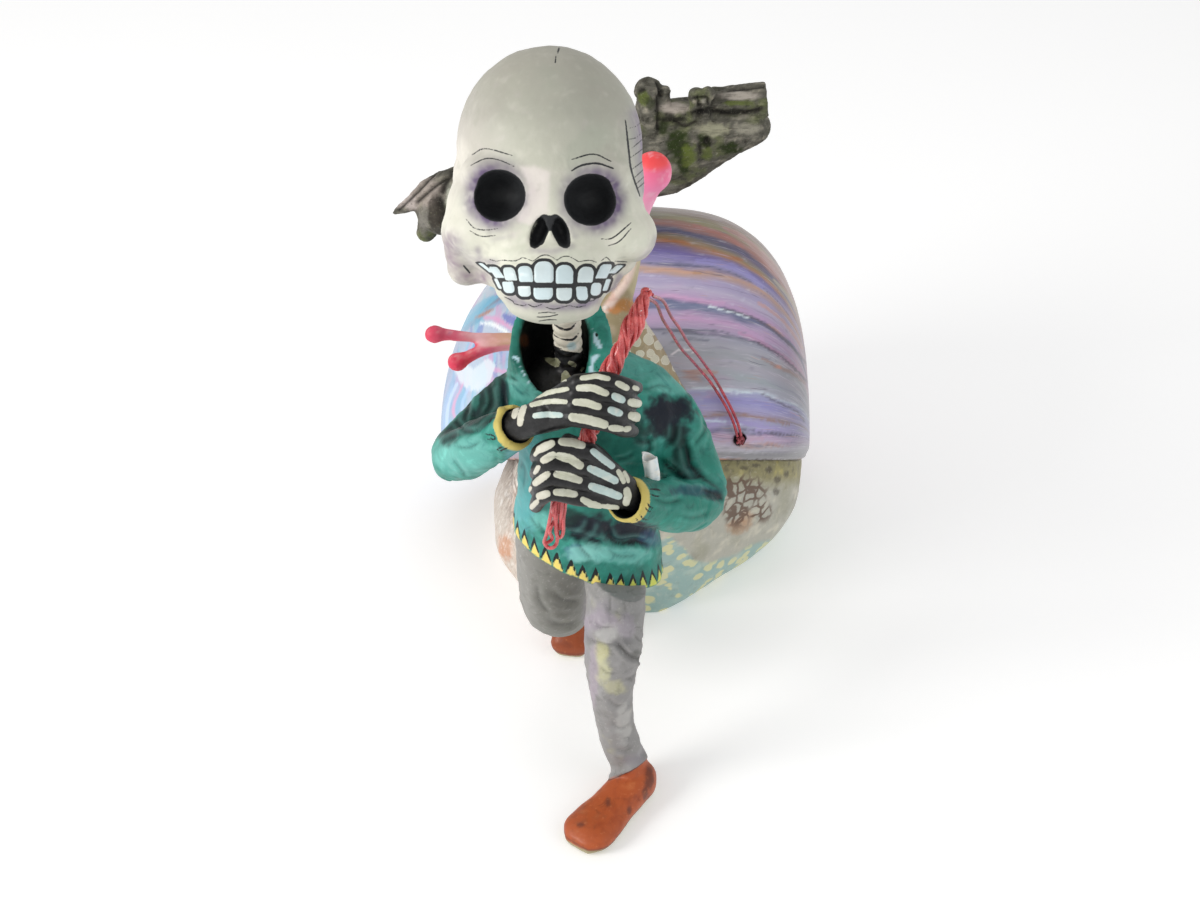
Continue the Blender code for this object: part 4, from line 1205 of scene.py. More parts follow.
STITCHES = (
    ((1110, 856), (1138, 856), (1168, 862)), ((1112, 880), (1140, 890), (1166, 892)),
    ((1100, 925), (1112, 945), (1130, 952)), ((1088, 948), (1104, 966), (1120, 968)),
    ((1062, 985), (1080, 1006), (1104, 1012)), ((1040, 1002), (1056, 1020), (1078, 1026)),
    ((278, 578), (305, 580), (330, 592)), ((292, 602), (315, 604), (338, 600)),
    ((336, 662), (350, 648), (366, 640)), ((352, 668), (372, 654), (392, 646)),
    ((300, 520), (312, 500), (330, 492)),
)


def blotch(p, u, v, centre, radii, frame=None, wobble=0.35, size=0.006, seed=1.0):
    """A soft brushed patch in the front view: 1 inside, 0 outside."""
    cx, cy = centre
    rx, ry = radii
    if frame:
        x0, y0, k = frame
        cx, cy, rx, ry = x0 + cx / k, y0 + cy / k, rx / k, ry / k
    e = np.hypot((u - cx) / rx, (v - cy) / ry)
    out = np.zeros(len(u))
    k = e < 2.2
    e = e[k] + wobble * fbm(p[k], size, 3, seed=seed)
    out[k] = 1 - step(e, 0.55, 1.15)
    return out


def hem_run(p, h):
    """How far round the hem each vertex lies, as a length, and the hem's length."""
    cx, cy = -0.008, -0.010
    a = np.arctan2(p[:, 1] - cy, p[:, 0] - cx)
    k = (h < 0.004) & (h > -0.001)
    bins = 120
    edges = np.linspace(-pi, pi, bins + 1)
    which = np.clip(np.digitize(a[k], edges) - 1, 0, bins - 1)
    pts = np.array([p[k][which == b].mean(0) if (which == b).any() else (np.nan,) * 3
                    for b in range(bins)])
    good = ~np.isnan(pts[:, 0])
    mid = (edges[:-1] + edges[1:]) / 2
    pts = np.stack([np.interp(mid, mid[good], pts[good, j]) for j in range(3)], 1)
    ring = np.vstack([pts, pts[:1]])
    seg = np.linalg.norm(np.diff(ring, axis=0), axis=1)
    seg = np.convolve(np.concatenate([seg[-3:], seg, seg[:3]]), np.ones(7) / 7, "valid")
    at = np.concatenate([[0], np.cumsum(seg)])
    pos = np.interp(a, np.concatenate([mid, [mid[0] + 2 * pi]]), at)
    return pos, at[-1]


def collar_place(p):
    """Height over the plane of the collar's rim, and whether a point is up there."""
    (y0, z0), (y1, z1) = COLLAR_BACK, COLLAR_FRONT
    t = np.array((0.0, y0 - y1, z0 - z1))
    t /= np.linalg.norm(t)
    up = np.cross(np.array((1.0, 0, 0)), t)
    return ((p - np.array((0, y1, z1))) @ up,
            (np.abs(p[:, 0] + 0.022) < 0.034) & (p[:, 2] > 0.262))


def make_jacket():
    ob = blob("jacket_skin", jacket_shapes, 0.00115, 17)
    cut(ob, collar_room)
    cut(ob, collar_hollow)
    for rim, d, r in CUFFS:
        cut(ob, cuff_ends, rim, d, r)
        cut(ob, cuff_inside, rim, d, r)
    remesh(ob, 0.00124, 1)
    p = co_of(ob)
    edge = np.zeros(len(p), bool)                 # the cuffs' rims are even and round
    for rim, d, r in CUFFS:
        q = p - np.array(rim)
        along = q @ np.array(d)
        edge |= (np.abs(along) < 0.0045) & \
            (np.linalg.norm(q - along[:, None] * np.array(d), axis=1) < 0.018)
    relax(ob, 8, 0.5, edge)
    p, n = co_of(ob), normals_of(ob)
    u, v = front_view(p)
    ok = facing(p, n) > 0.0
    # crumpled paper: sharp crests and flat facets, then the folds that show in front
    d1, d2, who = cells(p + 0.004 * np.stack([fbm(p, 0.02, 2, seed=s) for s in (1, 2, 3)], 1),
                        0.023, 2)
    facet = (_JIT[who, 0] - 0.5) * 1.2 + 0.9 * (d2 - d1)
    lump = 0.0010 * fbm(p, 0.040, 2, seed=21)
    lump += 0.00105 * (facet - 0.3)
    lump += 0.0005 * (ridges(p, 0.030, 1, seed=22) - 0.35)
    lump += 0.00012 * fbm(p, 0.006, 2, seed=23)
    fold = np.zeros(len(p))
    crest = np.zeros(len(p))
    for depth, w, pts in FOLDS:
        line = smooth_path(crop(*B, pts), 6 * (len(pts) - 1) + 1)
        lo, hi = line.min(0) - 20, line.max(0) + 20
        k = np.nonzero(ok & (u > lo[0]) & (u < hi[0]) & (v > lo[1]) & (v < hi[1]))[0]
        d, s = polyline(u[k], v[k], line)
        fade = np.minimum(1, np.minimum(s, 1 - s) / 0.18 + 0.25)
        fold[k] = np.maximum(fold[k], depth * fade * np.exp(-(d / w) ** 2))
        crest[k] = np.maximum(crest[k], depth * 0.55 * fade * np.exp(-((d - 2.3 * w) / w) ** 2))
    rimmed = np.zeros(len(p))                     # near an edge that has to stay even
    for rim, d, r in CUFFS:
        q = p - np.array(rim)
        along = -(q @ np.array(d))
        away = np.linalg.norm(q + along[:, None] * np.array(d), axis=1)
        rimmed = np.maximum(rimmed, (1 - step(along, 0.001, 0.008)) * (away < 0.02))
    h = -((p - np.array((0, 0, HEM_Z))) @ np.array(HEM_N))
    collar, neck = collar_place(p)
    rimmed = np.maximum(rimmed, np.where(neck, step(collar, -0.010, 0.0), 0) * 0.85)
    inside = neck & in_hollow(p, 0.0012)
    calm = 1 - 0.85 * rimmed
    lump = lump * calm
    move = lump + (crest - fold) * 0.001 * np.where(inside, 0, 1)
    # a band below the collar's rim stands proud like a folded flap
    lip = np.where(neck & ~inside, step(collar, -0.0115, -0.0085) * 0.0011, 0)
    move += lip
    # the cuffs roll outwards
    move += 0.0006 * rimmed * np.where(neck, 0, 1)
    set_co(ob, p + n * move[:, None])
    relax(ob, 1, 0.35)
    slice_off(ob, (0, 0, HEM_Z), HEM_N, fill=False)
    # the hem: a thick paper edge that turns in under the jacket
    bm = bmesh.new()
    bm.from_mesh(ob.data)
    rim_edges = [e for e in bm.edges if e.is_boundary]
    for depth, inward in ((0.0006, 0.0009), (0.0022, 0.0011)):
        res = bmesh.ops.extrude_edge_only(bm, edges=rim_edges)["geom"]
        vs = [g for g in res if isinstance(g, bmesh.types.BMVert)]
        for w in vs:
            c = Vector((-0.008, -0.010, w.co.z)) - w.co
            c.normalize()
            w.co += c * inward + Vector((0, 0, depth * 0.45))
        rim_edges = [g for g in res if isinstance(g, bmesh.types.BMEdge)]
    res = bmesh.ops.holes_fill(bm, edges=rim_edges, sides=0)
    bmesh.ops.triangulate(bm, faces=[f for f in bm.faces if len(f.verts) > 4])
    bmesh.ops.recalc_face_normals(bm, faces=bm.faces)
    bm.to_mesh(ob.data)
    bm.free()

    p, n = co_of(ob), normals_of(ob)
    u, v = front_view(p)
    ok = facing(p, n) > -0.02
    collar, neck = collar_place(p)
    # relief again on the final skin, to steer the paint: a painted highlight on its crests
    rough = ridges(p, 0.026, 2, seed=22) - 0.35
    col = np.tile(rgb(44, 134, 119), (len(p), 1))
    broad = fbm(p, 0.050, 2, seed=31)
    mid = fbm(p, 0.016, 3, seed=32)
    fine = fbm(p, 0.005, 3, seed=33)
    col = layer(col, rgb(30, 102, 90), step(broad + 0.4 * fine, 0.0, 0.6) * 0.8)
    col = layer(col, rgb(88, 170, 160), step(-broad + 0.5 * fine, 0.1, 0.8) * 0.6)
    col = layer(col, rgb(80, 160, 152), step(mid, 0.2, 0.7) * 0.5)
    col = layer(col, rgb(18, 78, 70), step(-mid, 0.2, 0.7) * 0.55)
    col = layer(col, rgb(28, 62, 84), step(-mid - 0.5 * broad + 0.3 * fine, 0.55, 1.0) * 0.5)
    # painted highlight on the crests of the crumpled paper
    col = layer(col, rgb(112, 184, 172), step(rough, 0.25, 0.55) * 0.10)
    mint = rgb(112, 186, 176)
    teal = rgb(98, 168, 160)
    navy = rgb(5, 17, 33)
    deep = rgb(7, 38, 36)
    pine = rgb(16, 78, 68)

    def patch(colour, amount, centre, radii, seed=1.0, wobble=0.4, size=0.006):
        nonlocal col
        w = blotch(p, u, v, centre, radii, B, wobble, size, seed) * np.where(ok, amount, 0)
        col = layer(col, colour, w)

    patch(rgb(96, 172, 176), 0.85, (470, 800), (110, 330), 1)    # left flank
    # painted highlights on the lit top of the shoulder on the right, teal and mint
    patch(teal, 0.5, (1110, 230), (200, 80), 2)                  # shoulder
    patch(mint, 0.55, (1250, 330), (150, 60), 3)
    # painted light on the lit plane of the forearm on the left and its elbow
    patch(mint, 0.75, (180, 690), (190, 110), 4)                 # right forearm
    patch(mint, 0.5, (60, 670), (60, 90), 5)
    patch(mint, 0.6, (480, 350), (90, 80), 6)
    patch(rgb(40, 122, 106), 0.7, (1270, 970), (240, 120), 7)                  # left forearm
    patch(pine, 0.6, (950, 620), (190, 160), 8)                  # chest
    patch(pine, 0.5, (1080, 780), (130, 90), 9)
    patch(rgb(44, 122, 106), 0.5, (1400, 620), (80, 200), 10)
    patch(navy, 1.0, (1205, 470), (140, 110), 11, 0.5)
    patch(navy, 0.9, (1225, 560), (90, 60), 35, 0.5)
    patch(navy, 0.85, (1290, 440), (46, 66), 12, 0.5)
    patch(navy, 0.85, (1150, 540), (56, 66), 13, 0.5)
    patch(deep, 0.75, (1060, 560), (60, 70), 30, 0.5)
    patch(deep, 0.7, (1240, 590), (70, 60), 31, 0.5)
    patch(deep, 0.8, (1270, 700), (60, 120), 14)
    patch(navy, 0.75, (1320, 770), (60, 40), 15)
    patch(navy, 0.9, (1430, 885), (60, 32), 16)
    patch(rgb(30, 58, 84), 0.7, (1330, 860), (130, 34), 17)
    patch(navy, 1.0, (800, 1050), (165, 82), 18, 0.5)
    patch(navy, 1.0, (1010, 1070), (160, 74), 19, 0.5)
    patch(deep, 0.8, (700, 1000), (80, 50), 32, 0.5)
    patch(rgb(34, 70, 110), 0.6, (1110, 1110), (60, 50), 20)
    patch(rgb(52, 90, 128), 0.7, (735, 1175), (55, 45), 21, 0.5)
    # painted highlights on the ridges of the lower front and near the hem
    patch(rgb(130, 196, 188), 0.85, (800, 1178), (150, 52), 22, 0.5)
    patch(mint, 0.75, (980, 1190), (150, 50), 23, 0.5)
    patch(mint, 0.7, (560, 1010), (70, 60), 24, 0.5)
    # painted shade under the left hand
    patch(deep, 0.55, (560, 940), (60, 40), 25)
    # painted shade: the upper part of the sleeve on the left, a plane turned away from the light,
    # mottled darker and lighter
    d = polygon(u, v, crop(*B, ((62, 622), (75, 560), (320, 262), (378, 250), (392, 440),
                                (330, 490), (250, 556), (140, 585))))
    w = (1 - step(d + 2.2 * fine, -3.0, 2.5)) * ok
    col = layer(col, rgb(6, 46, 40), w * 0.98)
    col = layer(col, rgb(12, 36, 42), w * step(fbm(p, 0.012, 3, seed=41), 0.0, 0.6) * 0.75)
    col = layer(col, rgb(26, 92, 78), w * step(-fbm(p, 0.010, 3, seed=42), 0.15, 0.6) * 0.5)
    # painted shade in the armpit and the inner elbow, and a painted highlight streak on the upper
    # sleeve
    patch(navy, 0.8, (378, 370), (30, 90), 26)
    patch(deep, 0.7, (90, 590), (60, 60), 27)
    patch(rgb(60, 140, 126), 0.5, (230, 400), (24, 60), 28)
    for depth, w0, pts in FOLDS:                                  # painted shade in the folds, with a faint painted highlight along each side
        line = smooth_path(crop(*B, pts), 5 * (len(pts) - 1) + 1)
        lo, hi = line.min(0) - 12, line.max(0) + 12
        k = np.nonzero(ok & (u > lo[0]) & (u < hi[0]) & (v > lo[1]) & (v < hi[1]))[0]
        d, s = polyline(u[k], v[k], line)
        fade = np.minimum(1, np.minimum(s, 1 - s) / 0.2 + 0.1)
        a = np.zeros(len(p))
        a[k] = fade * np.exp(-(d / (w0 * 0.55)) ** 2) * min(1.0, depth / 2.0)
        col = layer(col, rgb(7, 20, 28), a * 0.92)
        a[k] = fade * np.exp(-((d - 2.0 * w0) / (0.8 * w0)) ** 2) * 0.16
        col = layer(col, rgb(120, 190, 180), a)
    # hem band and the painted triangles with their dark chevrons
    h = -((p - np.array((0, 0, HEM_Z))) @ np.array(HEM_N))
    run, total = hem_run(p, h)
    count = round(total / 0.0086)
    gap = total / count
    k = np.nonzero(ok & (np.hypot(u - 598, v - 578) < 8))[0]
    start = np.median(run[k]) if len(k) else 0.0
    x = (run - start) / gap
    which = np.floor(x + 0.5).astype(int) % count
    jit = _JIT[which & 255]
    x = (x + 0.5) % 1.0 - 0.5 + (jit[:, 0] - 0.5) * 0.16
    x = x * gap
    tall = 0.0074 * (0.88 + 0.26 * jit[:, 1])
    half = 0.0029 * (0.9 + 0.25 * jit[:, 2])
    base = 0.0008
    y = h - base
    # signed distance to a slim upright triangle
    nx, ny = tall / np.hypot(tall, half), half / np.hypot(tall, half)
    side = np.abs(x) * nx + (y - tall) * ny
    tri = np.maximum(side, -y) / 0.00055
    low = h < 0.020
    body = ~neck
    torso = np.hypot((p[:, 0] + 0.008) / 0.056, (p[:, 1] + 0.010) / 0.046) < 1.15
    tri = np.where(low & torso & (h > -0.0004), tri, FAR)
    peak, foot = tall + 0.0024, half + 0.0009
    ox, oy = peak / np.hypot(peak, foot), foot / np.hypot(peak, foot)
    outer = (np.abs(x + 0.0002) * ox + (y - peak) * oy) / 0.00055
    thick = 0.75 + 0.75 * step(y, 0.001, 0.007)
    chev = np.where(low & torso, np.maximum(np.abs(outer) - thick, -(h - 0.0014) / 0.00055), FAR)
    yellow = rgb(226, 204, 108)
    lime = rgb(196, 208, 88)
    tcol = yellow * (0.9 + 0.25 * jit[:, 1:2]) 
    green_side = step(np.where(ok, u, 600), 612, 632)[:, None]
    tcol = tcol * (1 - green_side * 0.8) + lime * green_side * 0.8
    w = step(-tri, -1.2, -0.2)[:, None]
    col = col * (1 - w) + tcol * w
    # cuffs
    cuff = np.full(len(p), FAR)
    dark = np.full(len(p), FAR)
    for rim, d, r in CUFFS:
        q = p - np.array(rim)
        along = -(q @ np.array(d))
        away = np.linalg.norm(q + along[:, None] * np.array(d), axis=1)
        here = (away < 0.019) & (along > -0.004) & (along < 0.03)
        wob = 0.0004 * fbm(p, 0.008, 2, seed=51)
        band = (along - (0.0056 if rim[0] > 0 else 0.0042) + wob) / 0.00055
        hole = (r - 0.0026 - away) / 0.00055
        f = np.maximum(band, hole)
        cuff = np.where(here, np.minimum(cuff, f), cuff)
        # painted shade: the inside of the sleeve's opening turns black round the wrist
        black = (away - (r - 0.0016)) / 0.00055
        dark = np.where(here, np.minimum(dark, black), dark)
    w = step(-cuff, -1.2, 0.0)[:, None]
    tone = rgb(210, 192, 106) * (0.92 + 0.14 * fbm(p, 0.006, 2, seed=52))[:, None]
    col = col * (1 - w) + tone * w
    # inside of the collar: painted shade from the rim inwards, black further in, and a brown patch
    inward = (-0.0225 - p[:, 0]) * n[:, 0] + (-0.016 - p[:, 1]) * n[:, 1] > 0
    inside = (neck & in_hollow(p, 0.0008)) | ((p[:, 2] > 0.262) & inward & in_hollow(p, 0.0026))
    depth = -collar
    col = layer(col, rgb(20, 23, 18), np.where(inside, step(depth, -0.0012, 0.0014), 0))
    col = layer(col, rgb(10, 10, 11), np.where(inside, step(depth + 0.003 * fine, 0.006, 0.014), 0))
    col = layer(col, rgb(86, 52, 32), blotch(p, u, v, (215, 400), (80, 110), NK) * inside * 0.8)
    # painted strokes: pale blue on the collar, black stitches, chevrons
    pale = np.full(len(p), FAR)
    for w, pts in COLLAR_MARKS:
        stroke(pale, u, v, ok & ~inside, crop(*NK, pts), w, 0.45)
    w = step(-pale, -1.3, -0.3)[:, None]
    col = col * (1 - w) + rgb(190, 224, 236) * w
    ink = np.full(len(p), FAR)
    for pts in STITCHES:
        stroke(ink, u, v, ok, crop(*B, pts), 1.9, 0.45)
    stroke(ink, u, v, ok & ~inside, crop(*NK, ((1345, 290), (1370, 330))), 3.0, 0.3)
    stroke(ink, u, v, ok & ~inside, crop(*NK, ((1350, 800), (1380, 840), (1430, 885))), 1.6, 0.5)
    stroke(ink, u, v, ok & ~inside, crop(*NK, ((95, 760), (120, 800))), 2.0, 0.4)
    # the chevrons and the painted shade inside the cuffs join the dark marks
    ink = np.minimum(np.minimum(ink, chev), dark)
    put_colour(ob, col)
    put_value(ob, "ink", ink.clip(-4, FAR))
    put_value(ob, "crisp", np.minimum(np.minimum(tri, cuff), pale).clip(-4, FAR))

    m = Look("jacket_paint", 0.5, Specular_IOR_Level=0.28)
    base = m.attr("paint", "Color")
    brush = m.noise(0.010, 4.0, 0.6, 0.8)
    base = m.mix(m.span(brush, 0.52, 0.78, 0, 1.0), base, (1.42, 1.34, 1.34), "MULTIPLY")
    base = m.mix(m.span(brush, 0.48, 0.25, 0, 1.0), base, (0.50, 0.64, 0.68), "MULTIPLY")
    speck = m.noise(0.0016, 3.0, 0.65)
    base = m.mix(m.span(speck, 0.60, 0.85, 0, 0.10), base, rgb(150, 206, 192))
    crisp = m.attr("crisp")
    plain = m.attr("paint", "Color")
    wob = m.math("MULTIPLY_ADD", m.noise(0.0018, 2.0), 0.6)
    wob.node.inputs[2].default_value = -0.3
    base = m.mix(m.span(m.math("ADD", crisp, wob), -0.4, 0.4, 1.0, 0.0), base, plain)
    d = m.math("ADD", m.attr("ink"), wob)
    line = m.span(d, -0.35, 0.35, 1.0, 0.0)
    col_out = m.mix(line, base, rgb(20, 26, 28))
    h = m.bump(speck, 0.00018, 0.5)
    h = m.bump(m.noise(0.0045, 3.0, 0.6, 0.4), 0.00055, 0.6, h)
    rough = m.span(brush, 0.3, 0.7, 0.42, 0.60)
    dress(ob, m.done(col_out, rough, h), ("jacket",))
    return ob


make_jacket()


# ------------------------------------------------------------- neck and chest
def chest_shapes(soup):
    tube(soup, ((-0.0170, -0.010, 0.268), (-0.0180, -0.016, 0.300),
                (-0.0190, -0.022, 0.330), (-0.0200, -0.026, 0.360)),
         (0.0080, 0.0080, 0.0080, 0.0080), seg=40)
    ball(soup, (-0.0180, -0.012, 0.262), (0.038, 0.030, 0.030))


def chest_bounds(soup):
    """The room inside the collar, where the chest shows."""
    rings = []
    ang = np.linspace(0, 2 * pi, 64, endpoint=False)
    for z, cx, cy, rx, ry in smooth_path(
            ((0.240, -0.0180, -0.016, 0.0250, 0.0240), (0.264, -0.0185, -0.016, 0.0262, 0.0262),
             (0.280, -0.0200, -0.016, 0.0266, 0.0270), (0.300, -0.0215, -0.016, 0.0266, 0.0272),
             (0.375, -0.0218, -0.016, 0.0266, 0.0272)), 24):
        rings.append([(cx + rx * cos(a), cy + ry * sin(a) * (1.12 if sin(a) < 0 else 1.0), z)
                      for a in ang])
    rings_to_faces(soup, rings)


def make_chest():
    ob = blob("neck_and_chest_skin", chest_shapes, 0.0008, 16)
    cut(ob, chest_bounds, kind="INTERSECT")
    remesh(ob, 0.0010, 1)
    p, n = co_of(ob), normals_of(ob)
    # a stack of neck bones: each is a drum with a rim, sunk lines between them
    axis = (p[:, 2] - 0.292) / 0.0078
    r = np.hypot(p[:, 0] + 0.0185, p[:, 1] + 0.019)
    neck = (p[:, 2] > 0.286) & (r < 0.012)
    a = np.arctan2(p[:, 1] + 0.019, p[:, 0] + 0.0185)
    cyc = (axis + 0.25 * np.cos(a + 2.2)) % 1.0
    groove = np.exp(-((cyc - 0.5) / 0.10) ** 2)
    drum = np.cos((cyc - 0.0) * 2 * pi) * 0.0004
    move = np.where(neck, drum - groove * 0.0007, 0) + 0.00025 * fbm(p, 0.009, 3, seed=3)
    set_co(ob, p + n * move[:, None])
    p, n = co_of(ob), normals_of(ob)
    u, v = front_view(p)
    ok = facing(p, n) > 0.0
    # bone colour on the neck, down to a slanting painted edge
    edge = polygon(u, v, crop(*NK, ((600, -900), (630, 330), (700, 480), (800, 545), (940, 580),
                                    (1100, 592), (1150, 540), (1150, -900))))
    back = (p[:, 2] - 0.297) / -0.00055
    bone = np.where(ok, edge, back)
    bone = np.where(p[:, 2] > 0.270, bone, FAR)
    col = np.tile(rgb(204, 198, 182), (len(p), 1))
    col = layer(col, rgb(226, 220, 210), step(fbm(p, 0.008, 3, seed=61), -0.1, 0.6) * 0.6)
    col = layer(col, rgb(176, 166, 142), step(fbm(p, 0.006, 3, seed=62), 0.1, 0.7) * 0.6)
    col = layer(col, rgb(164, 194, 200), blotch(p, u, v, (975, 490), (90, 70), NK, 0.5) * ok * 0.8)
    ribs = np.full(len(p), FAR)
    for pts in (((530, 662), (620, 664), (740, 672), (800, 730), (770, 812), (710, 826),
                 (620, 775), (550, 720)),
                ((890, 752), (935, 712), (1000, 728), (1052, 765), (1035, 828), (960, 808)),
                ((800, 985), (808, 915), (868, 852), (925, 905), (965, 975), (960, 1080),
                 (790, 1080)),
                ((240, 560), (330, 560), (400, 610), (380, 660), (280, 640)),
                ((1090, 860), (1150, 800), (1180, 830), (1120, 900))):
        d = polygon(u, v, crop(*NK, pts)) + 0.3
        ribs = np.where(ok, np.minimum(ribs, d), ribs)
    w = step(-ribs, -1.0, 0.0) * (1 - step(-bone, -1, 0))
    col = layer(col, rgb(146, 146, 116), w)
    col = layer(col, rgb(112, 112, 92), w * step(fbm(p, 0.005, 3, seed=63), 0.0, 0.5) * 0.8)
    ink = np.full(len(p), FAR)
    for w, pts in ((2.6, ((700, 150), (780, 205), (880, 232), (970, 200), (1035, 130))),
                   (1.3, ((640, 240), (700, 320), (800, 372))),
                   (2.4, ((800, 376), (900, 392), (1000, 376), (1080, 285))),
                   (1.2, ((740, 505), (800, 528), (860, 528)))):
        stroke(ink, u, v, ok, crop(*NK, pts), w, 0.5)
    ink = np.where(neck & ~ok, (np.abs(cyc - 0.5) - 0.10) * 8.0, ink)
    put_colour(ob, col)
    put_value(ob, "bone", np.minimum(bone, ribs).clip(-4, FAR))
    put_value(ob, "ink", ink.clip(-4, FAR))
    dress(ob, bone_look("neck_paint"), ("neck_and_chest",))


def bone_look(name):
    """Bones painted in thick cream paint over black."""
    m = Look(name, 0.4, Specular_IOR_Level=0.36)
    fine = m.noise(0.0030, 3.0, 0.6)
    grit = m.noise(0.0010, 3.0, 0.6)
    cream = m.mix(m.span(fine, 0.45, 0.75, 0, 0.35), m.attr("paint", "Color"),
                  rgb(226, 225, 212))
    black = m.mix(m.span(fine, 0.40, 0.75), rgb(14, 14, 15), rgb(34, 33, 35))
    black = m.mix(m.span(grit, 0.62, 0.8, 0, 0.18), black, rgb(72, 69, 69))
    wob = m.math("MULTIPLY_ADD", m.noise(0.0016, 2.0), 1.1)
    wob.node.inputs[2].default_value = -0.55
    mask = m.span(m.math("ADD", m.attr("bone"), wob), -0.35, 0.35, 1.0, 0.0)
    line = m.span(m.math("ADD", m.attr("ink"), wob), -0.35, 0.35, 1.0, 0.0)
    col = m.mix(mask, black, cream)
    col = m.mix(line, col, rgb(24, 23, 25))
    h = m.bump(grit, 0.00012, 0.5)
    h = m.bump(mask, 0.00020, 0.8, h)
    rough = m.mix(mask, (0.40,) * 3, (0.46,) * 3)
    return m.done(col, rough, h)


make_chest()


# ------------------------------------------------------------------- the hands
def finger_rows(k1, k4, p1, p4, d1, d4, t1, t4):
    rows = []
    for i in range(4):
        f = i / 3.0
        rows.append([tuple(np.array(a) * (1 - f) + np.array(b) * f)
                     for a, b in ((k1, k4), (p1, p4), (d1, d4), (t1, t4))])
    return rows


R_FINGERS = finger_rows((-0.0120, -0.0925, 0.3315), (-0.0155, -0.0980, 0.3125),
                        (0.0030, -0.0945, 0.3345), (0.0030, -0.0990, 0.3095),
                        (0.0140, -0.0895, 0.3275), (0.0125, -0.0925, 0.3010),
                        (0.0200, -0.0790, 0.3190), (0.0180, -0.0830, 0.2930))
L_FINGERS = finger_rows((-0.0060, -0.0965, 0.2890), (-0.0110, -0.0990, 0.2600),
                        (-0.0235, -0.1015, 0.2960), (-0.0255, -0.1015, 0.2650),
                        (-0.0320, -0.0970, 0.2895), (-0.0325, -0.0975, 0.2585),
                        (-0.0350, -0.0865, 0.2780), (-0.0360, -0.0880, 0.2450))
R_WRIST, L_WRIST = (-0.0500, -0.0745, 0.2880), (0.0215, -0.0790, 0.2440)
R_THUMB = ((-0.0380, -0.0760, 0.2950), (-0.0200, -0.0670, 0.3020), (-0.0020, -0.0640, 0.3040))
L_THUMB = ((0.0100, -0.0800, 0.2560), (-0.0020, -0.0700, 0.2680), (-0.0180, -0.0680, 0.2760))


def hand_shapes(soup, wrist, rows, thumb, finger_r):
    for row in rows:
        tube(soup, row, (finger_r * 1.12, finger_r * 1.05, finger_r, finger_r * 0.82), seg=24)
        mid = np.array(row[0]) * 0.62 + np.array(wrist) * 0.38
        tube(soup, (wrist, tuple(mid), row[0]),
             (finger_r * 1.5, finger_r * 1.3, finger_r * 1.12), seg=24)
    tube(soup, thumb, (finger_r * 1.2, finger_r * 1.1, finger_r * 0.9), seg=24)
    k = np.mean([r[0] for r in rows], axis=0)
    w = np.array(wrist)
    tube(soup, (tuple(w), tuple(w * 0.4 + k * 0.6)), (0.0092, 0.0085), seg=32)
    back = w + (w - k) / np.linalg.norm(w - k) * 0.012
    tube(soup, (tuple(back), tuple(w)), (0.0088, 0.0092), seg=32)


# Painted bones: pale or blue, width and line in frame B.
R_BONES = (
    (0, 9, ((520, 362), (560, 340), (610, 322), (690, 304))),
    (0, 30, ((425, 492), (440, 445))), (0, 34, ((455, 528), (462, 480), (478, 434))),
    (0, 26, ((518, 392), (580, 372), (640, 358), (700, 348))),
    (0, 27, ((512, 432), (560, 418), (620, 410), (690, 414))),
    (1, 32, ((528, 484), (590, 478), (665, 482))),
    (0, 28, ((765, 294), (840, 284), (905, 298))), (0, 38, ((748, 344), (820, 342), (895, 372))),
    (0, 40, ((730, 414), (790, 418), (858, 440))), (0, 48, ((712, 490), (800, 504), (890, 530))),
    (0, 34, ((945, 318), (970, 330), (998, 346))), (1, 40, ((928, 382), (955, 396), (978, 406))),
    (1, 38, ((908, 452), (935, 462), (965, 474))), (0, 34, ((910, 545), (945, 548), (972, 550))),
    (0, 24, ((1028, 340), (1052, 350))), (0, 42, ((1008, 414), (1035, 420), (1062, 424))),
    (0, 46, ((1012, 482), (1040, 490), (1066, 498))), (0, 30, ((984, 556), (1008, 546))),
)
L_BONES = (
    (0, 44, ((660, 616), (715, 618), (775, 636))), (0, 42, ((548, 658), (585, 640), (622, 622))),
    (0, 20, ((530, 684), (545, 664))),
    (1, 34, ((820, 660), (870, 700), (925, 742))), (1, 42, ((805, 748), (875, 780), (942, 815))),
    (1, 42, ((810, 838), (890, 865), (962, 893))), (0, 36, ((768, 905), (810, 928), (862, 944))),
    (0, 26, ((872, 940), (910, 944), (950, 948))),
    (0, 46, ((645, 685), (710, 702), (765, 740))), (0, 42, ((570, 712), (600, 694), (630, 680))),
    (0, 24, ((530, 775), (552, 740))),
    (0, 42, ((635, 778), (700, 792), (760, 812))), (0, 38, ((530, 828), (565, 800), (600, 775))),
    (0, 24, ((485, 880), (510, 845))),
    (0, 38, ((632, 870), (680, 872), (738, 882))), (0, 40, ((548, 892), (575, 884), (600, 876))),
    (0, 26, ((512, 950), (528, 932), (545, 915))),
    (0, 26, ((950, 762), (968, 792), (980, 822))), (0, 20, ((982, 768), (998, 800), (1002, 820))),
    (0, 40, ((994, 855), (1000, 890), (990, 930))), (0, 10, ((950, 972), (985, 968))),
)


def shorten(pts, by):
    """Take a length off both ends of a line."""
    pts = np.asarray(pts, float)
    seg = np.linalg.norm(np.diff(pts, axis=0), axis=1)
    run = np.concatenate([[0], np.cumsum(seg)])
    by = min(by, 0.42 * run[-1])
    at = np.linspace(by, run[-1] - by, max(2, 2 * len(pts) - 1))
    return np.stack([np.interp(at, run, pts[:, i]) for i in (0, 1)], -1)


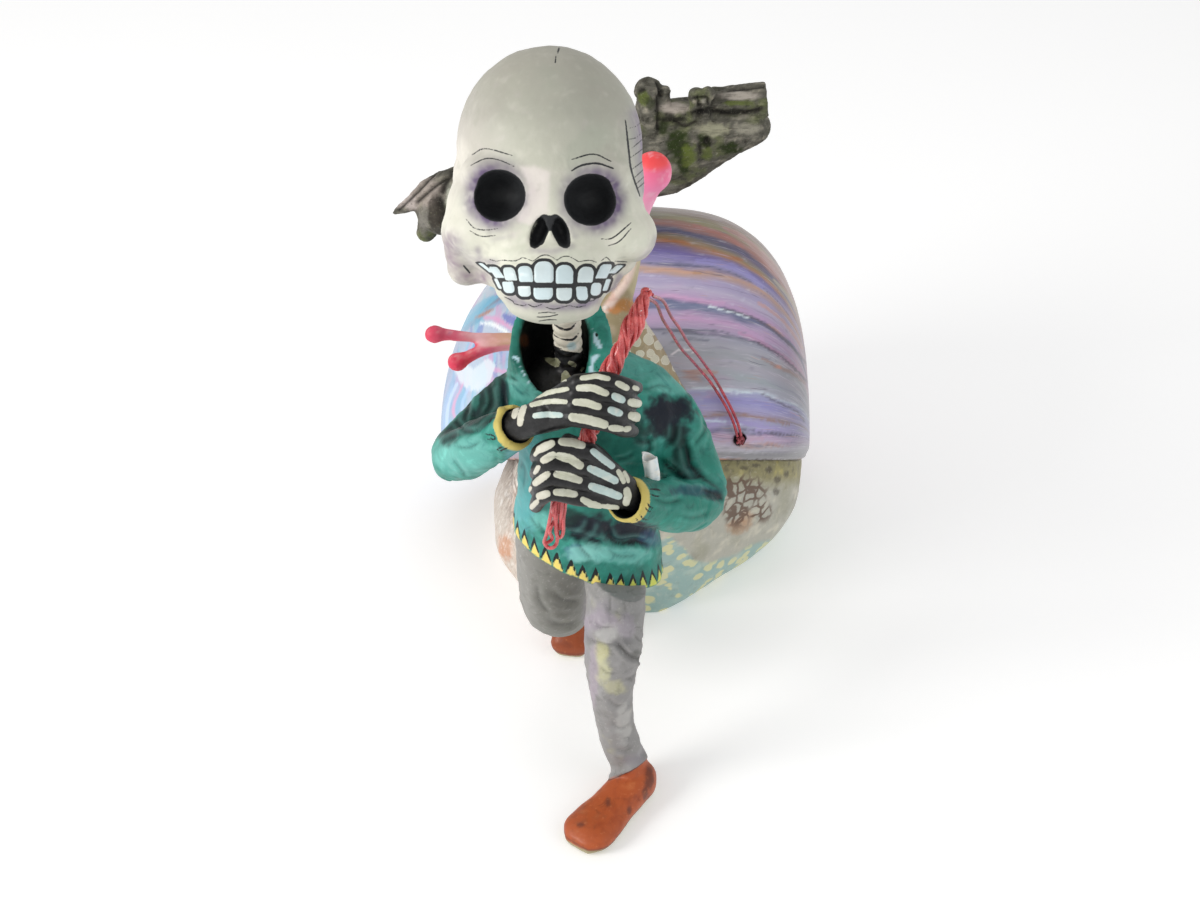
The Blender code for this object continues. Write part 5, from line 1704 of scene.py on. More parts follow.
def make_hand(name, wrist, rows, thumb, fr, bones, node, seed):
    ob = blob(name, hand_shapes, 0.00074, 8, wrist, rows, thumb, fr)
    p, n = co_of(ob), normals_of(ob)
    u, v = front_view(p)
    ok = facing(p, n) > 0.02
    bone = np.full(len(p), FAR)
    blue = np.zeros(len(p))
    for kind, w, pts in bones:
        f = np.full(len(p), FAR)
        stroke(f, u, v, ok, shorten(crop(*B, pts), 0.17 * w / 5.058), w / 5.058, 0.12)
        blue = np.where(f < bone, kind, blue)
        bone = np.minimum(bone, f)
    bone += 0.35 * fbm(p, 0.004, 2, seed=seed)
    move = 0.00030 * fbm(p, 0.010, 3, seed=seed + 1) + 0.00042 * step(-bone, -0.8, 1.2)
    set_co(ob, p + n * move[:, None])
    col = np.tile(rgb(198, 199, 180), (len(p), 1))
    col = layer(col, rgb(182, 204, 202), blue * 0.9)
    col = layer(col, rgb(224, 224, 212), step(fbm(p, 0.006, 3, seed=seed + 2), 0, 0.6) * 0.55)
    warm = step(-p[:, 0], 0.022, 0.034) if "left" in name else step(-p[:, 0], 0.036, 0.046)
    col = layer(col, rgb(208, 202, 188), warm * 0.7)
    put_colour(ob, col)
    put_value(ob, "bone", bone.clip(-4, FAR))
    put_value(ob, "ink", np.full(len(p), FAR))
    dress(ob, bone_look(name + "_paint"), (node,))


make_hand("right_fist", R_WRIST, R_FINGERS, R_THUMB, 0.0043, R_BONES, "right_hand", 4)
make_hand("left_fist", L_WRIST, L_FINGERS, L_THUMB, 0.0047, L_BONES, "left_hand", 9)


# -------------------------------------------------------------------- the hank
HANK_PATH = ((0.0246, -0.0590, 0.3666), (0.0171, -0.0690, 0.3509),
             (0.0070, -0.0750, 0.3311), (0.0000, -0.0790, 0.3130),
             (-0.0066, -0.0825, 0.2888), (-0.0157, -0.0840, 0.2534),
             (-0.0209, -0.0820, 0.2341), (-0.0271, -0.0750, 0.2082))


def make_hank():
    """A long thin cord folded to and fro and twisted, with its loops at both ends."""
    look = cord_look("hank_cord", hank=True)
    path = smooth_path(HANK_PATH, 141)
    fr = frames_along(path, (0, -1, 0.3))
    run = np.concatenate([[0], np.cumsum(np.linalg.norm(np.diff(path, axis=0), axis=1))])
    total = run[-1]
    # distance down the hank -> how wide the bundle is
    where = np.array((0.0, 0.004, 0.012, 0.020, 0.029, 0.036, 0.044, 0.060, 0.100, 0.118, 0.135))
    wide = np.array((0.0012, 0.0026, 0.0044, 0.0049, 0.0034, 0.0040, 0.0047, 0.0042, 0.0040,
                     0.0036, 0.0030))
    rng = np.random.RandomState(5)
    soup = Soup()
    stop = int(np.searchsorted(run, 0.128))
    strands = 10
    for k in range(strands):
        off = 2 * pi * k / strands + rng.uniform(-0.12, 0.12)
        amp, ph = rng.uniform(0.04, 0.12), rng.uniform(0, 6)
        pts = []
        for i in range(0, stop, 2):
            r = np.interp(run[i], where, wide) * (1 + amp * sin(run[i] * 260 + ph))
            a = off + run[i] * 2 * pi / 0.040 + 0.5 * sin(run[i] * 90 + ph)
            s, w = fr[i]
            pts.append(path[i] + r * (cos(a) * s + sin(a) * w))
        tube(soup, pts, [0.00100] * len(pts), count=len(pts) * 2 - 1, seg=8)
    # the core, so that no light comes through between the strands
    core = [path[i] for i in range(2, stop, 6)]
    tube(soup, core, [max(0.0007, np.interp(run[i], where, wide) - 0.0006)
                      for i in range(2, stop, 6)], seg=12)
    # the top: the cord doubles back over itself in a small tight knot
    s, w = fr[0]
    t = (path[0] - path[3]) / np.linalg.norm(path[0] - path[3])
    top = path[0] + t * 0.0005
    knot = []
    for i in range(49):
        a = 2 * pi * i / 48 * 2
        knot.append(top + s * 0.0022 * cos(a) + w * 0.0016 * sin(a * 1.5)
                    + t * (0.0016 * sin(a)))
    tube(soup, knot, [0.00100] * len(knot), count=97, seg=8)
    # below the lower fist the cord hangs in two loops, one of them twisted
    a0 = path[int(np.searchsorted(run, 0.118))]
    ends = ((crop(535, 420, 11.2, ((205, 870), (190, 980), (165, 1120), (130, 1280),
                                   (105, 1370), (150, 1428), (205, 1425), (245, 1370),
                                   (250, 1250), (225, 1100), (225, 980), (235, 870))), 1),
            (crop(535, 420, 11.2, ((345, 870), (335, 990), (318, 1120), (318, 1240),
                                   (300, 1300), (265, 1310), (238, 1262), (235, 1130),
                                   (262, 990), (275, 870))), 0),
            (crop(535, 420, 11.2, ((250, 870), (195, 990), (215, 1110), (165, 1240),
                                   (190, 1330), (120, 1385))), 2),
            (crop(535, 420, 11.2, ((300, 870), (300, 1000), (285, 1120), (280, 1215))), 3))
    c, sn = cos(VIEW_DOWN), sin(VIEW_DOWN)
    for marks, kind in ends:
        pts = []
        for i, (uu, vv) in enumerate(marks):
            # onto the hank's own slanting plane
            ray = np.array(((uu - 600) / VIEW_F, (450 - vv) / VIEW_F * sn + c,
                            (450 - vv) / VIEW_F * c - sn))
            f = (vv - 497) / 52.0
            y = -0.0835 + 0.0085 * f + (0.0016 * sin(i * 1.7 + kind) if kind != 2 else
                                        0.0022 * cos(i * pi) - 0.0012)
            q = VIEW_AT + ray * ((y - VIEW_AT[1]) / ray[1])
            pts.append(q)
        tube(soup, pts, [0.00112] * len(pts), count=len(pts) * 7, seg=10)
    ob = face_out(mesh_object("twisted_cord_hank", soup))
    dress(ob, look, ("cord_hank",))


make_hank()


# --------------------------------------------------------- trousers and shoes
def shoe(soup, heel, toe, wide):
    heel, toe = np.array(heel), np.array(toe)
    d = toe - heel
    length = np.linalg.norm(d)
    d /= length
    side = np.cross(d, (0, 0, 1.0))
    side /= np.linalg.norm(side)
    up = np.cross(side, d)
    stations = ((-0.08, 0.0075, 0.020), (0.05, 0.0128, 0.022), (0.25, 0.0138, 0.020),
                (0.5, 0.0146, 0.0156), (0.75, 0.0168, 0.0142), (0.93, 0.0164, 0.0130),
                (1.06, 0.0095, 0.0085))
    sec = smooth_path(stations, 49)
    ang = np.linspace(0, 2 * pi, 56, endpoint=False)
    rings = []
    for s, w, h in sec:
        c = heel + d * length * s
        ring = []
        for a in ang:
            x, z = cos(a), sin(a)
            k = (abs(x) ** 2.6 + abs(z) ** 2.6) ** (-1 / 2.6)
            ring.append(c + side * w * wide * k * x + up * (h / 2 + h / 2 * k * z))
        rings.append(ring)
    rings_to_faces(soup, rings)


def leg_shapes(soup):
    ball(soup, (-0.0130, -0.006, 0.160), (0.0340, 0.0260, 0.0200))
    ball(soup, (-0.0300, 0.002, 0.140), (0.0215, 0.0225, 0.0300))
    # the front leg, straight, its knee a little forward
    tube(soup, ((0.0090, -0.018, 0.165), (0.0095, -0.040, 0.140), (0.0078, -0.0560, 0.112),
                (0.0070, -0.0600, 0.092), (0.0084, -0.0620, 0.062), (0.0128, -0.0630, 0.037),
                (0.0185, -0.0620, 0.018)),
         (0.0215, 0.0188, 0.0176, 0.0156, 0.0121, 0.0122, 0.0110), seg=48)
    # the rear leg, knee bent, the foot behind on its toes
    tube(soup, ((-0.0290, 0.000, 0.155), (-0.0300, 0.004, 0.125), (-0.0288, 0.012, 0.092),
                (-0.0262, 0.026, 0.073)),
         (0.0236, 0.0230, 0.0222, 0.0200), seg=48)
    tube(soup, ((-0.0280, 0.016, 0.088), (-0.0260, 0.034, 0.071), (-0.0240, 0.062, 0.058),
                (-0.0215, 0.084, 0.049)),
         (0.0205, 0.0180, 0.0132, 0.0115), seg=48)
    shoe(soup, (0.0270, -0.0665, 0.0), (-0.0122, -0.1178, 0.0), 1.0)
    shoe(soup, (-0.0155, 0.0930, 0.0300), (-0.0204, 0.0612, 0.0), 0.82)
    ball(soup, (0.0192, -0.0650, 0.017), (0.0115, 0.0138, 0.0170))
    ball(soup, (-0.0195, 0.0860, 0.0400), (0.0120, 0.0130, 0.0140))


J = (540, 580, 5.6)
LEG_FOLDS = (
    (2.6, 2.2, ((425, 345), (460, 385), (500, 425), (545, 440), (575, 432))),
    (1.0, 2.0, ((395, 80), (390, 140), (400, 200))),
    (1.0, 2.0, ((480, 60), (470, 130), (490, 200))),
    (1.2, 2.6, ((300, 232), (340, 262), (420, 262))),
    (1.0, 2.6, ((250, 300), (300, 340), (380, 362), (440, 350))),
    (1.0, 2.4, ((520, 300), (560, 340), (600, 330))),
    (0.9, 2.4, ((330, 480), (380, 520), (440, 520))),
    (0.9, 2.4, ((470, 560), (520, 540), (550, 500))),
    (0.9, 2.6, ((380, 660), (420, 700), (480, 700))),
    (0.8, 2.6, ((400, 800), (450, 830), (500, 810))),
    (0.8, 2.4, ((420, 940), (470, 960), (520, 930))),
    (0.8, 2.4, ((560, 700), (545, 780), (560, 850))),
    (1.2, 3.0, ((-20, 20), (0, 120), (60, 200))),
    (1.0, 3.0, ((60, 60), (130, 110), (230, 120))),
    (1.0, 3.0, ((40, 220), (110, 250), (220, 230))),
)


def trouser_edge(p):
    """Height of a point over the trousers' lower edge, for the leg it belongs to."""
    front = p[:, 1] < 0.0
    f = p[:, 2] - (0.0155 + 0.62 * (p[:, 0] - 0.0185) - 0.62 * (p[:, 1] + 0.0625))
    r = (p[:, 2] - 0.0435) - 0.75 * (p[:, 1] - 0.078)
    return np.where(front, f, r)


def make_legs():
    ob = blob("trousers_and_shoes", leg_shapes, 0.00132, 11)
    slice_off(ob, (0, 0, HEM_Z + 0.0035), -HEM_N)
    slice_off(ob, (0, 0, 0.0002), (0, 0, -1))
    p, n = co_of(ob), normals_of(ob)
    u, v = front_view(p)
    ok = facing(p, n) > 0.0
    h = trouser_edge(p) + 0.0009 * fbm(p, 0.007, 2, seed=70)
    cloth = step(h, -0.0004, 0.0006)
    lump = 0.0008 * fbm(p, 0.026, 2, seed=71)
    lump += 0.0010 * (ridges(p, 0.022, 2, seed=72) - 0.35)
    lump += 0.0003 * fbm(p, 0.006, 3, seed=73)
    fold = np.zeros(len(p))
    crest = np.zeros(len(p))
    for depth, w, pts in LEG_FOLDS:
        line = smooth_path(crop(*J, pts), 6 * (len(pts) - 1) + 1)
        d, s = polyline(u, v, line)
        fade = np.minimum(1, np.minimum(s, 1 - s) / 0.2 + 0.2) * (facing(p, n) > 0)
        fold = np.maximum(fold, depth * fade * np.exp(-(d / w) ** 2))
        crest = np.maximum(crest, 0.5 * depth * fade * np.exp(-((d - 2.3 * w) / w) ** 2))
    ground = step(p[:, 2], 0.0005, 0.004)
    move = lump * (0.35 + 0.65 * cloth) + (crest - fold) * 0.001 * cloth
    move += 0.0010 * cloth * np.exp(-(h / 0.010)) * (h > -0.001)      # the cuff stands out
    move += np.where(cloth < 0.5, -0.0004 * np.exp(-(np.abs(h) / 0.003)), 0)
    move *= ground
    near = np.abs(((p - np.array((0, 0, HEM_Z))) @ np.array(HEM_N))) < 0.004
    move = np.where(near, move * 0.3 - 0.0004, move)
    set_co(ob, p + n * move[:, None])
    relax(ob, 1, 0.3)
    p, n = co_of(ob), normals_of(ob)
    p[:, 2] = np.maximum(p[:, 2], 0.0002)
    set_co(ob, p)
    u, v = front_view(p)
    ok = facing(p, n) > 0.0
    broad = fbm(p, 0.034, 2, seed=75)
    mid = fbm(p, 0.012, 3, seed=76)
    fine = fbm(p, 0.004, 3, seed=77)
    col = np.tile(rgb(144, 142, 141), (len(p), 1))
    col = layer(col, rgb(176, 173, 173), step(mid + 0.4 * broad, 0.1, 0.8) * 0.8)
    col = layer(col, rgb(120, 120, 112), step(-mid + 0.3 * fine, 0.15, 0.8) * 0.7)
    col = layer(col, rgb(156, 144, 162), step(broad, 0.1, 0.6) * 0.5)
    moss = rgb(176, 172, 128)
    col = layer(col, moss, step(fbm(p, 0.015, 3, seed=78), 0.25, 0.6) * 0.3)
    # painted shade over the rear leg, with painted light on its far left side
    rear = np.maximum(1 - step(p[:, 0], -0.014, -0.007),
                      step(p[:, 1] - 0.45 * (0.10 - p[:, 2]).clip(0), -0.002, 0.006))
    col = layer(col, rgb(118, 118, 110), rear * 0.75)
    col = layer(col, rgb(92, 92, 80), rear * step(mid, 0.0, 0.6) * 0.5)
    col = layer(col, rgb(152, 150, 146), rear * step(-p[:, 0], 0.034, 0.050) * 0.7)

    def patch(colour, amount, centre, radii, seed=1.0):
        nonlocal col
        w = blotch(p, u, v, centre, radii, J, 0.5, 0.006, seed) * np.where(ok, amount, 0)
        col = layer(col, colour, w)

    patch(rgb(198, 194, 146), 0.75, (345, 400), (46, 60), 1)
    patch(rgb(204, 202, 162), 0.7, (352, 500), (50, 90), 2)
    patch(rgb(158, 146, 160), 0.6, (340, 230), (110, 60), 8)
    patch(rgb(166, 156, 168), 0.5, (480, 260), (60, 90), 9)
    # painted shade along the knee fold
    patch(rgb(110, 108, 110), 0.5, (470, 350), (70, 30), 10)
    patch(rgb(196, 192, 150), 0.5, (420, 600), (70, 50), 3)
    patch(rgb(176, 160, 176), 0.5, (300, 520), (30, 200), 4)
    patch(rgb(200, 198, 196), 0.5, (380, 300), (70, 60), 5)
    # painted shade along the knee fold
    patch(rgb(96, 96, 90), 0.55, (560, 420), (60, 40), 6)
    patch(rgb(196, 194, 190), 0.5, (470, 800), (50, 120), 7)
    # painted shade in the folds
    for depth, w0, pts in LEG_FOLDS:
        d, s = polyline(u, v, smooth_path(crop(*J, pts), 5 * (len(pts) - 1) + 1))
        a = np.exp(-(d / (w0 * 0.5)) ** 2) * ok * np.minimum(1, np.minimum(s, 1 - s) / 0.25)
        col = layer(col, rgb(74, 74, 70), a * 0.6 * min(1.0, depth / 1.3))
    h = trouser_edge(p) + 0.0009 * fbm(p, 0.007, 2, seed=70)
    # shoes: burnt orange, stained, with a worn sole edge
    sh = np.tile(rgb(180, 86, 42), (len(p), 1))
    sh = layer(sh, rgb(148, 62, 32), step(mid, 0.0, 0.6) * 0.7)
    sh = layer(sh, rgb(206, 122, 72), step(-mid + 0.4 * fine, 0.2, 0.8) * 0.6)
    sh = layer(sh, rgb(120, 60, 40), step(broad + 0.4 * fine, 0.25, 0.7) * 0.5)
    for centre, radii in (((612, 1100), (30, 90)), ((225, 1370), (26, 14)), ((380, 1240), (16, 34)),
                          ((500, 1290), (14, 30)), ((590, 1190), (20, 46))):
        sh = layer(sh, rgb(108, 56, 40), blotch(p, u, v, centre, radii, J, 0.6) * ok * 0.8)
    sole = np.where(p[:, 1] < 0, p[:, 2], 0.02 + (p[:, 2] - 0.91 * (p[:, 1] - 0.059)) * 1.2)
    low = 1 - step(p[:, 2] + 0.0008 * fine + 0.0012 * step(-p[:, 0], 0.004, 0.016), 0.0048, 0.0058)
    # painted shade on the rear shoe
    sh = layer(sh, rgb(128, 62, 34), np.where(p[:, 1] > 0, 0.65, 0.0))
    sh = layer(sh, rgb(166, 160, 124), low * 0.95)
    sh = layer(sh, rgb(104, 46, 30), bump_at(p[:, 2], 0.0056, 0.0009) * 0.7)
    k = step(h, -0.0003, 0.0004)[:, None]
    col = sh * (1 - k) + col * k
    put_colour(ob, col)
    put_value(ob, "edge", (h / 0.00055).clip(-FAR, FAR))
    put_value(ob, "shoe", 1 - k[:, 0])

    m = Look("trouser_and_shoe_paint", 0.55, Specular_IOR_Level=0.4)
    base = m.attr("paint", "Color")
    fleck = m.noise(0.0024, 4.0, 0.65)
    brush = m.noise(0.008, 4.0, 0.6, 0.6)
    shoe_f = m.attr("shoe")
    pale = m.mix(shoe_f, rgb(206, 204, 200), rgb(222, 142, 92))
    dark = m.mix(shoe_f, rgb(92, 92, 86), rgb(98, 44, 28))
    base = m.mix(m.span(fleck, 0.55, 0.8, 0, 0.40), base, pale)
    base = m.mix(m.span(brush, 0.50, 0.25, 0, 0.40), base, dark)
    seam = m.math("ABSOLUTE", m.attr("edge"))
    base = m.mix(m.span(seam, 0.3, 1.1, 0.75, 0.0), base, rgb(70, 48, 38))
    h = m.bump(fleck, 0.00022, 0.6)
    h = m.bump(brush, 0.0005, 0.5, h)
    rough = m.mix(shoe_f, (0.58,) * 3, (0.42,) * 3)
    dress(ob, m.done(base, rough, h), ("legs",))


make_legs()


# -------------------------------------------------------------- the white roll
ROLL = Vector((0.0288, -0.0640, 0.2505))
ROLL_R, ROLL_H = (0.0050, 0.0047), 0.0226


def make_roll():
    """A strip of paper rolled once and a half round, crushed, its top edge uneven."""
    turns, high = 84, 30
    soup = Soup()
    outer, inner = [], []
    for side, store in ((0.0, outer), (0.00045, inner)):
        for j in range(high + 1):
            f = j / high
            row = []
            for i in range(turns):
                a = radians(150) - 2 * pi * 1.45 * i / (turns - 1)
                r = (ROLL_R[0] * (1 - f) + ROLL_R[1] * f) * (1.0 - 0.30 * i / (turns - 1)) - side
                r *= 1 + 0.07 * sin(3 * a + 2.5 * f) + 0.05 * sin(5 * a - 4 * f)
                x, y = r * cos(a), r * sin(a) * 0.92
                lip = 0.0022 * max(0.0, cos(a - radians(165))) ** 2 - 0.0012 * max(0.0, sin(2 * a))
                z = -ROLL_H / 2 + ROLL_H * f + lip * f ** 3
                row.append(Vector((x + 0.0006 * sin(4 * f), y, z)))
            store.append(row)
    m = Matrix.Translation(ROLL) @ Matrix.Rotation(radians(-4), 4, "Y")
    pts = [m @ q for rows in (outer, inner) for row in rows for q in row]
    n, k = turns, high + 1
    off = n * k
    faces = []
    for j in range(k - 1):
        for i in range(n - 1):
            a = j * n + i
            faces.append((a, a + 1, a + n + 1, a + n))
            faces.append((off + a, off + a + n, off + a + n + 1, off + a + 1))
    for i in range(n - 1):                      # rims below and above
        faces.append((i + 1, i, off + i, off + i + 1))
        b = (k - 1) * n + i
        faces.append((b, b + 1, off + b + 1, off + b))
    for j in range(k - 1):                      # both ends of the strip
        a, b = j * n, j * n + n - 1
        faces.append((a, a + n, off + a + n, off + a))
        faces.append((b + n, b, off + b, off + b + n))
    soup.add([tuple(q) for q in pts], faces)
    ob = face_out(mesh_object("white_paper_roll", soup))
    p, nn = co_of(ob), normals_of(ob)
    push = 0.0003 * fbm(p, 0.006, 2, seed=81)
    p[:, 0] += push
    p[:, 1] += push * 0.6
    set_co(ob, p)
    s = ob.modifiers.new("finer", "SUBSURF")
    s.levels = s.render_levels = 1
    bake(ob)
    p = co_of(ob)
    col = np.tile(rgb(248, 250, 248), (len(p), 1))
    col = layer(col, rgb(214, 230, 238), step(fbm(p, 0.006, 2, seed=82), 0.0, 0.5) * 0.7)
    col = layer(col, rgb(246, 236, 212), step(fbm(p, 0.005, 2, seed=83), 0.1, 0.5) * 0.6)
    col = layer(col, rgb(196, 204, 204), step(fbm(p, 0.003, 2, seed=84), 0.2, 0.6) * 0.4)
    put_colour(ob, col)
    m = Look("roll_paper", 0.7, Specular_IOR_Level=0.3)
    fibre = m.noise(0.0012, 4.0, 0.7)
    base = m.mix(m.span(fibre, 0.45, 0.75, 0, 0.25), m.attr("paint", "Color"), rgb(250, 250, 248))
    h = m.bump(fibre, 0.0002, 0.5)
    h = m.bump(m.noise(0.004, 2.0, 0.5, 0.5), 0.0006, 0.5, h)
    dress(ob, m.done(base, 0.7, h), ("paper_roll",))


make_roll()


# ------------------------------------------------------------- the snail shell
SH_Y, SH_Z = 0.220, 0.065
SH_X0, SH_X1 = -0.1190, 0.1530
SH_SQUARE = (2.15, 3.10)
SH_RADII = ((149, 0.124), (120, 0.150), (90, 0.171), (61, 0.177), (35, 0.163),
            (0, 0.132), (-36, 0.094), (-80, 0.080), (-130, 0.082), (-180, 0.104),
            (-211, 0.124))
LIP_Y, LIP_Z, LIP_SLOPE = 0.115, 0.128, -0.7346
HOLE = Vector((0.0955, 0.1215, 0.1400))
HOLE_R, HOLE_DEPTH = 0.0042, 0.010


def shell_shapes(soup, nx=97, na=160):
    pts = smooth_path([(x, y) for x, y in SH_RADII], 241)
    ang = np.linspace(0, 2 * pi, na, endpoint=False)
    deg = np.degrees(ang)
    deg = np.where(deg > 149, deg - 360, deg)
    rad = np.interp(-deg, -pts[:, 0], pts[:, 1])
    xc, hw = (SH_X0 + SH_X1) / 2, (SH_X1 - SH_X0) / 2
    rings = []
    for i in range(nx):
        u = -cos(pi * (i + 0.35) / (nx - 0.3))
        q = SH_SQUARE[0] + (SH_SQUARE[1] - SH_SQUARE[0]) * min(1, max(0, 0.5 + u))
        f = (1 - abs(u) ** q) ** (1 / q)
        g = 1.0 - 0.118 * max(0.0, -u) ** 1.5
        dy = 0.010 * max(0.0, -u) ** 2
        rings.append([(xc + hw * u, SH_Y + dy + r * f * g * cos(a), SH_Z + r * f * g * sin(a))
                      for a, r in zip(ang, rad)])
    rings_to_faces(soup, rings)


def hole_shape(soup):
    rod(soup, HOLE_R, HOLE_R, HOLE_DEPTH * 2,
        Matrix.Translation(HOLE) @ Matrix.Rotation(radians(70), 4, "X"), seg=40)


# Bands of paint from the crown of the shell down to its rim: angle, colour.
BANDS = ((-60, (150, 134, 160)), (-50, (172, 146, 178)), (-45, (104, 100, 134)),
         (-39, (160, 150, 182)), (-30, (146, 140, 190)), (-23, (184, 142, 124)),
         (-17, (160, 150, 180)), (-8, (176, 144, 176)), (-3, (98, 96, 124)),
         (4, (166, 158, 184)), (13, (144, 138, 186)), (18, (174, 118, 96)),
         (23, (150, 126, 132)), (30, (170, 156, 182)), (36, (110, 100, 124)),
         (41, (162, 132, 124)), (48, (126, 102, 90)), (58, (104, 82, 68)),
         (63, (112, 88, 70)), (67, (140, 108, 92)), (72, (140, 114, 88)),
         (74.5, (162, 152, 104)), (76.5, (166, 156, 110)), (78, (178, 122, 104)),
         (80.5, (182, 118, 108)), (82, (92, 84, 118)), (83.5, (84, 80, 124)),
         (85, (128, 120, 116)), (86.2, (150, 128, 96)), (88.2, (168, 124, 92)),
         (89.6, (128, 112, 146)), (91.5, (112, 102, 160)), (93.5, (136, 128, 176)),
         (95.2, (138, 132, 170)), (95.7, (92, 92, 120)), (96.3, (150, 136, 160)),
         (97.3, (184, 148, 130)), (98.5, (172, 144, 140)), (99.8, (158, 148, 180)),
         (101.5, (160, 150, 182)), (103, (176, 166, 190)), (104.6, (170, 150, 182)),
         (106, (180, 146, 184)), (107.0, (98, 104, 136)), (108.6, (104, 108, 138)),
         (109.4, (158, 144, 176)), (111.5, (176, 148, 180)), (113.3, (160, 146, 174)),
         (114.0, (98, 98, 114)), (114.7, (148, 148, 164)), (117, (160, 158, 170)),
         (119, (150, 152, 160)), (122, (162, 158, 170)), (125, (154, 156, 168)),
         (128, (164, 164, 178)), (128.6, (190, 202, 214)), (129.3, (152, 152, 188)),
         (132, (148, 146, 192)), (134.6, (160, 152, 190)), (135.5, (142, 122, 124)),
         (136.4, (154, 148, 188)), (139, (162, 150, 196)), (140, (110, 104, 136)),
         (140.8, (168, 152, 184)), (143, (174, 158, 182)), (145, (178, 174, 186)),
         (147, (164, 164, 170)), (170, (164, 164, 168)))


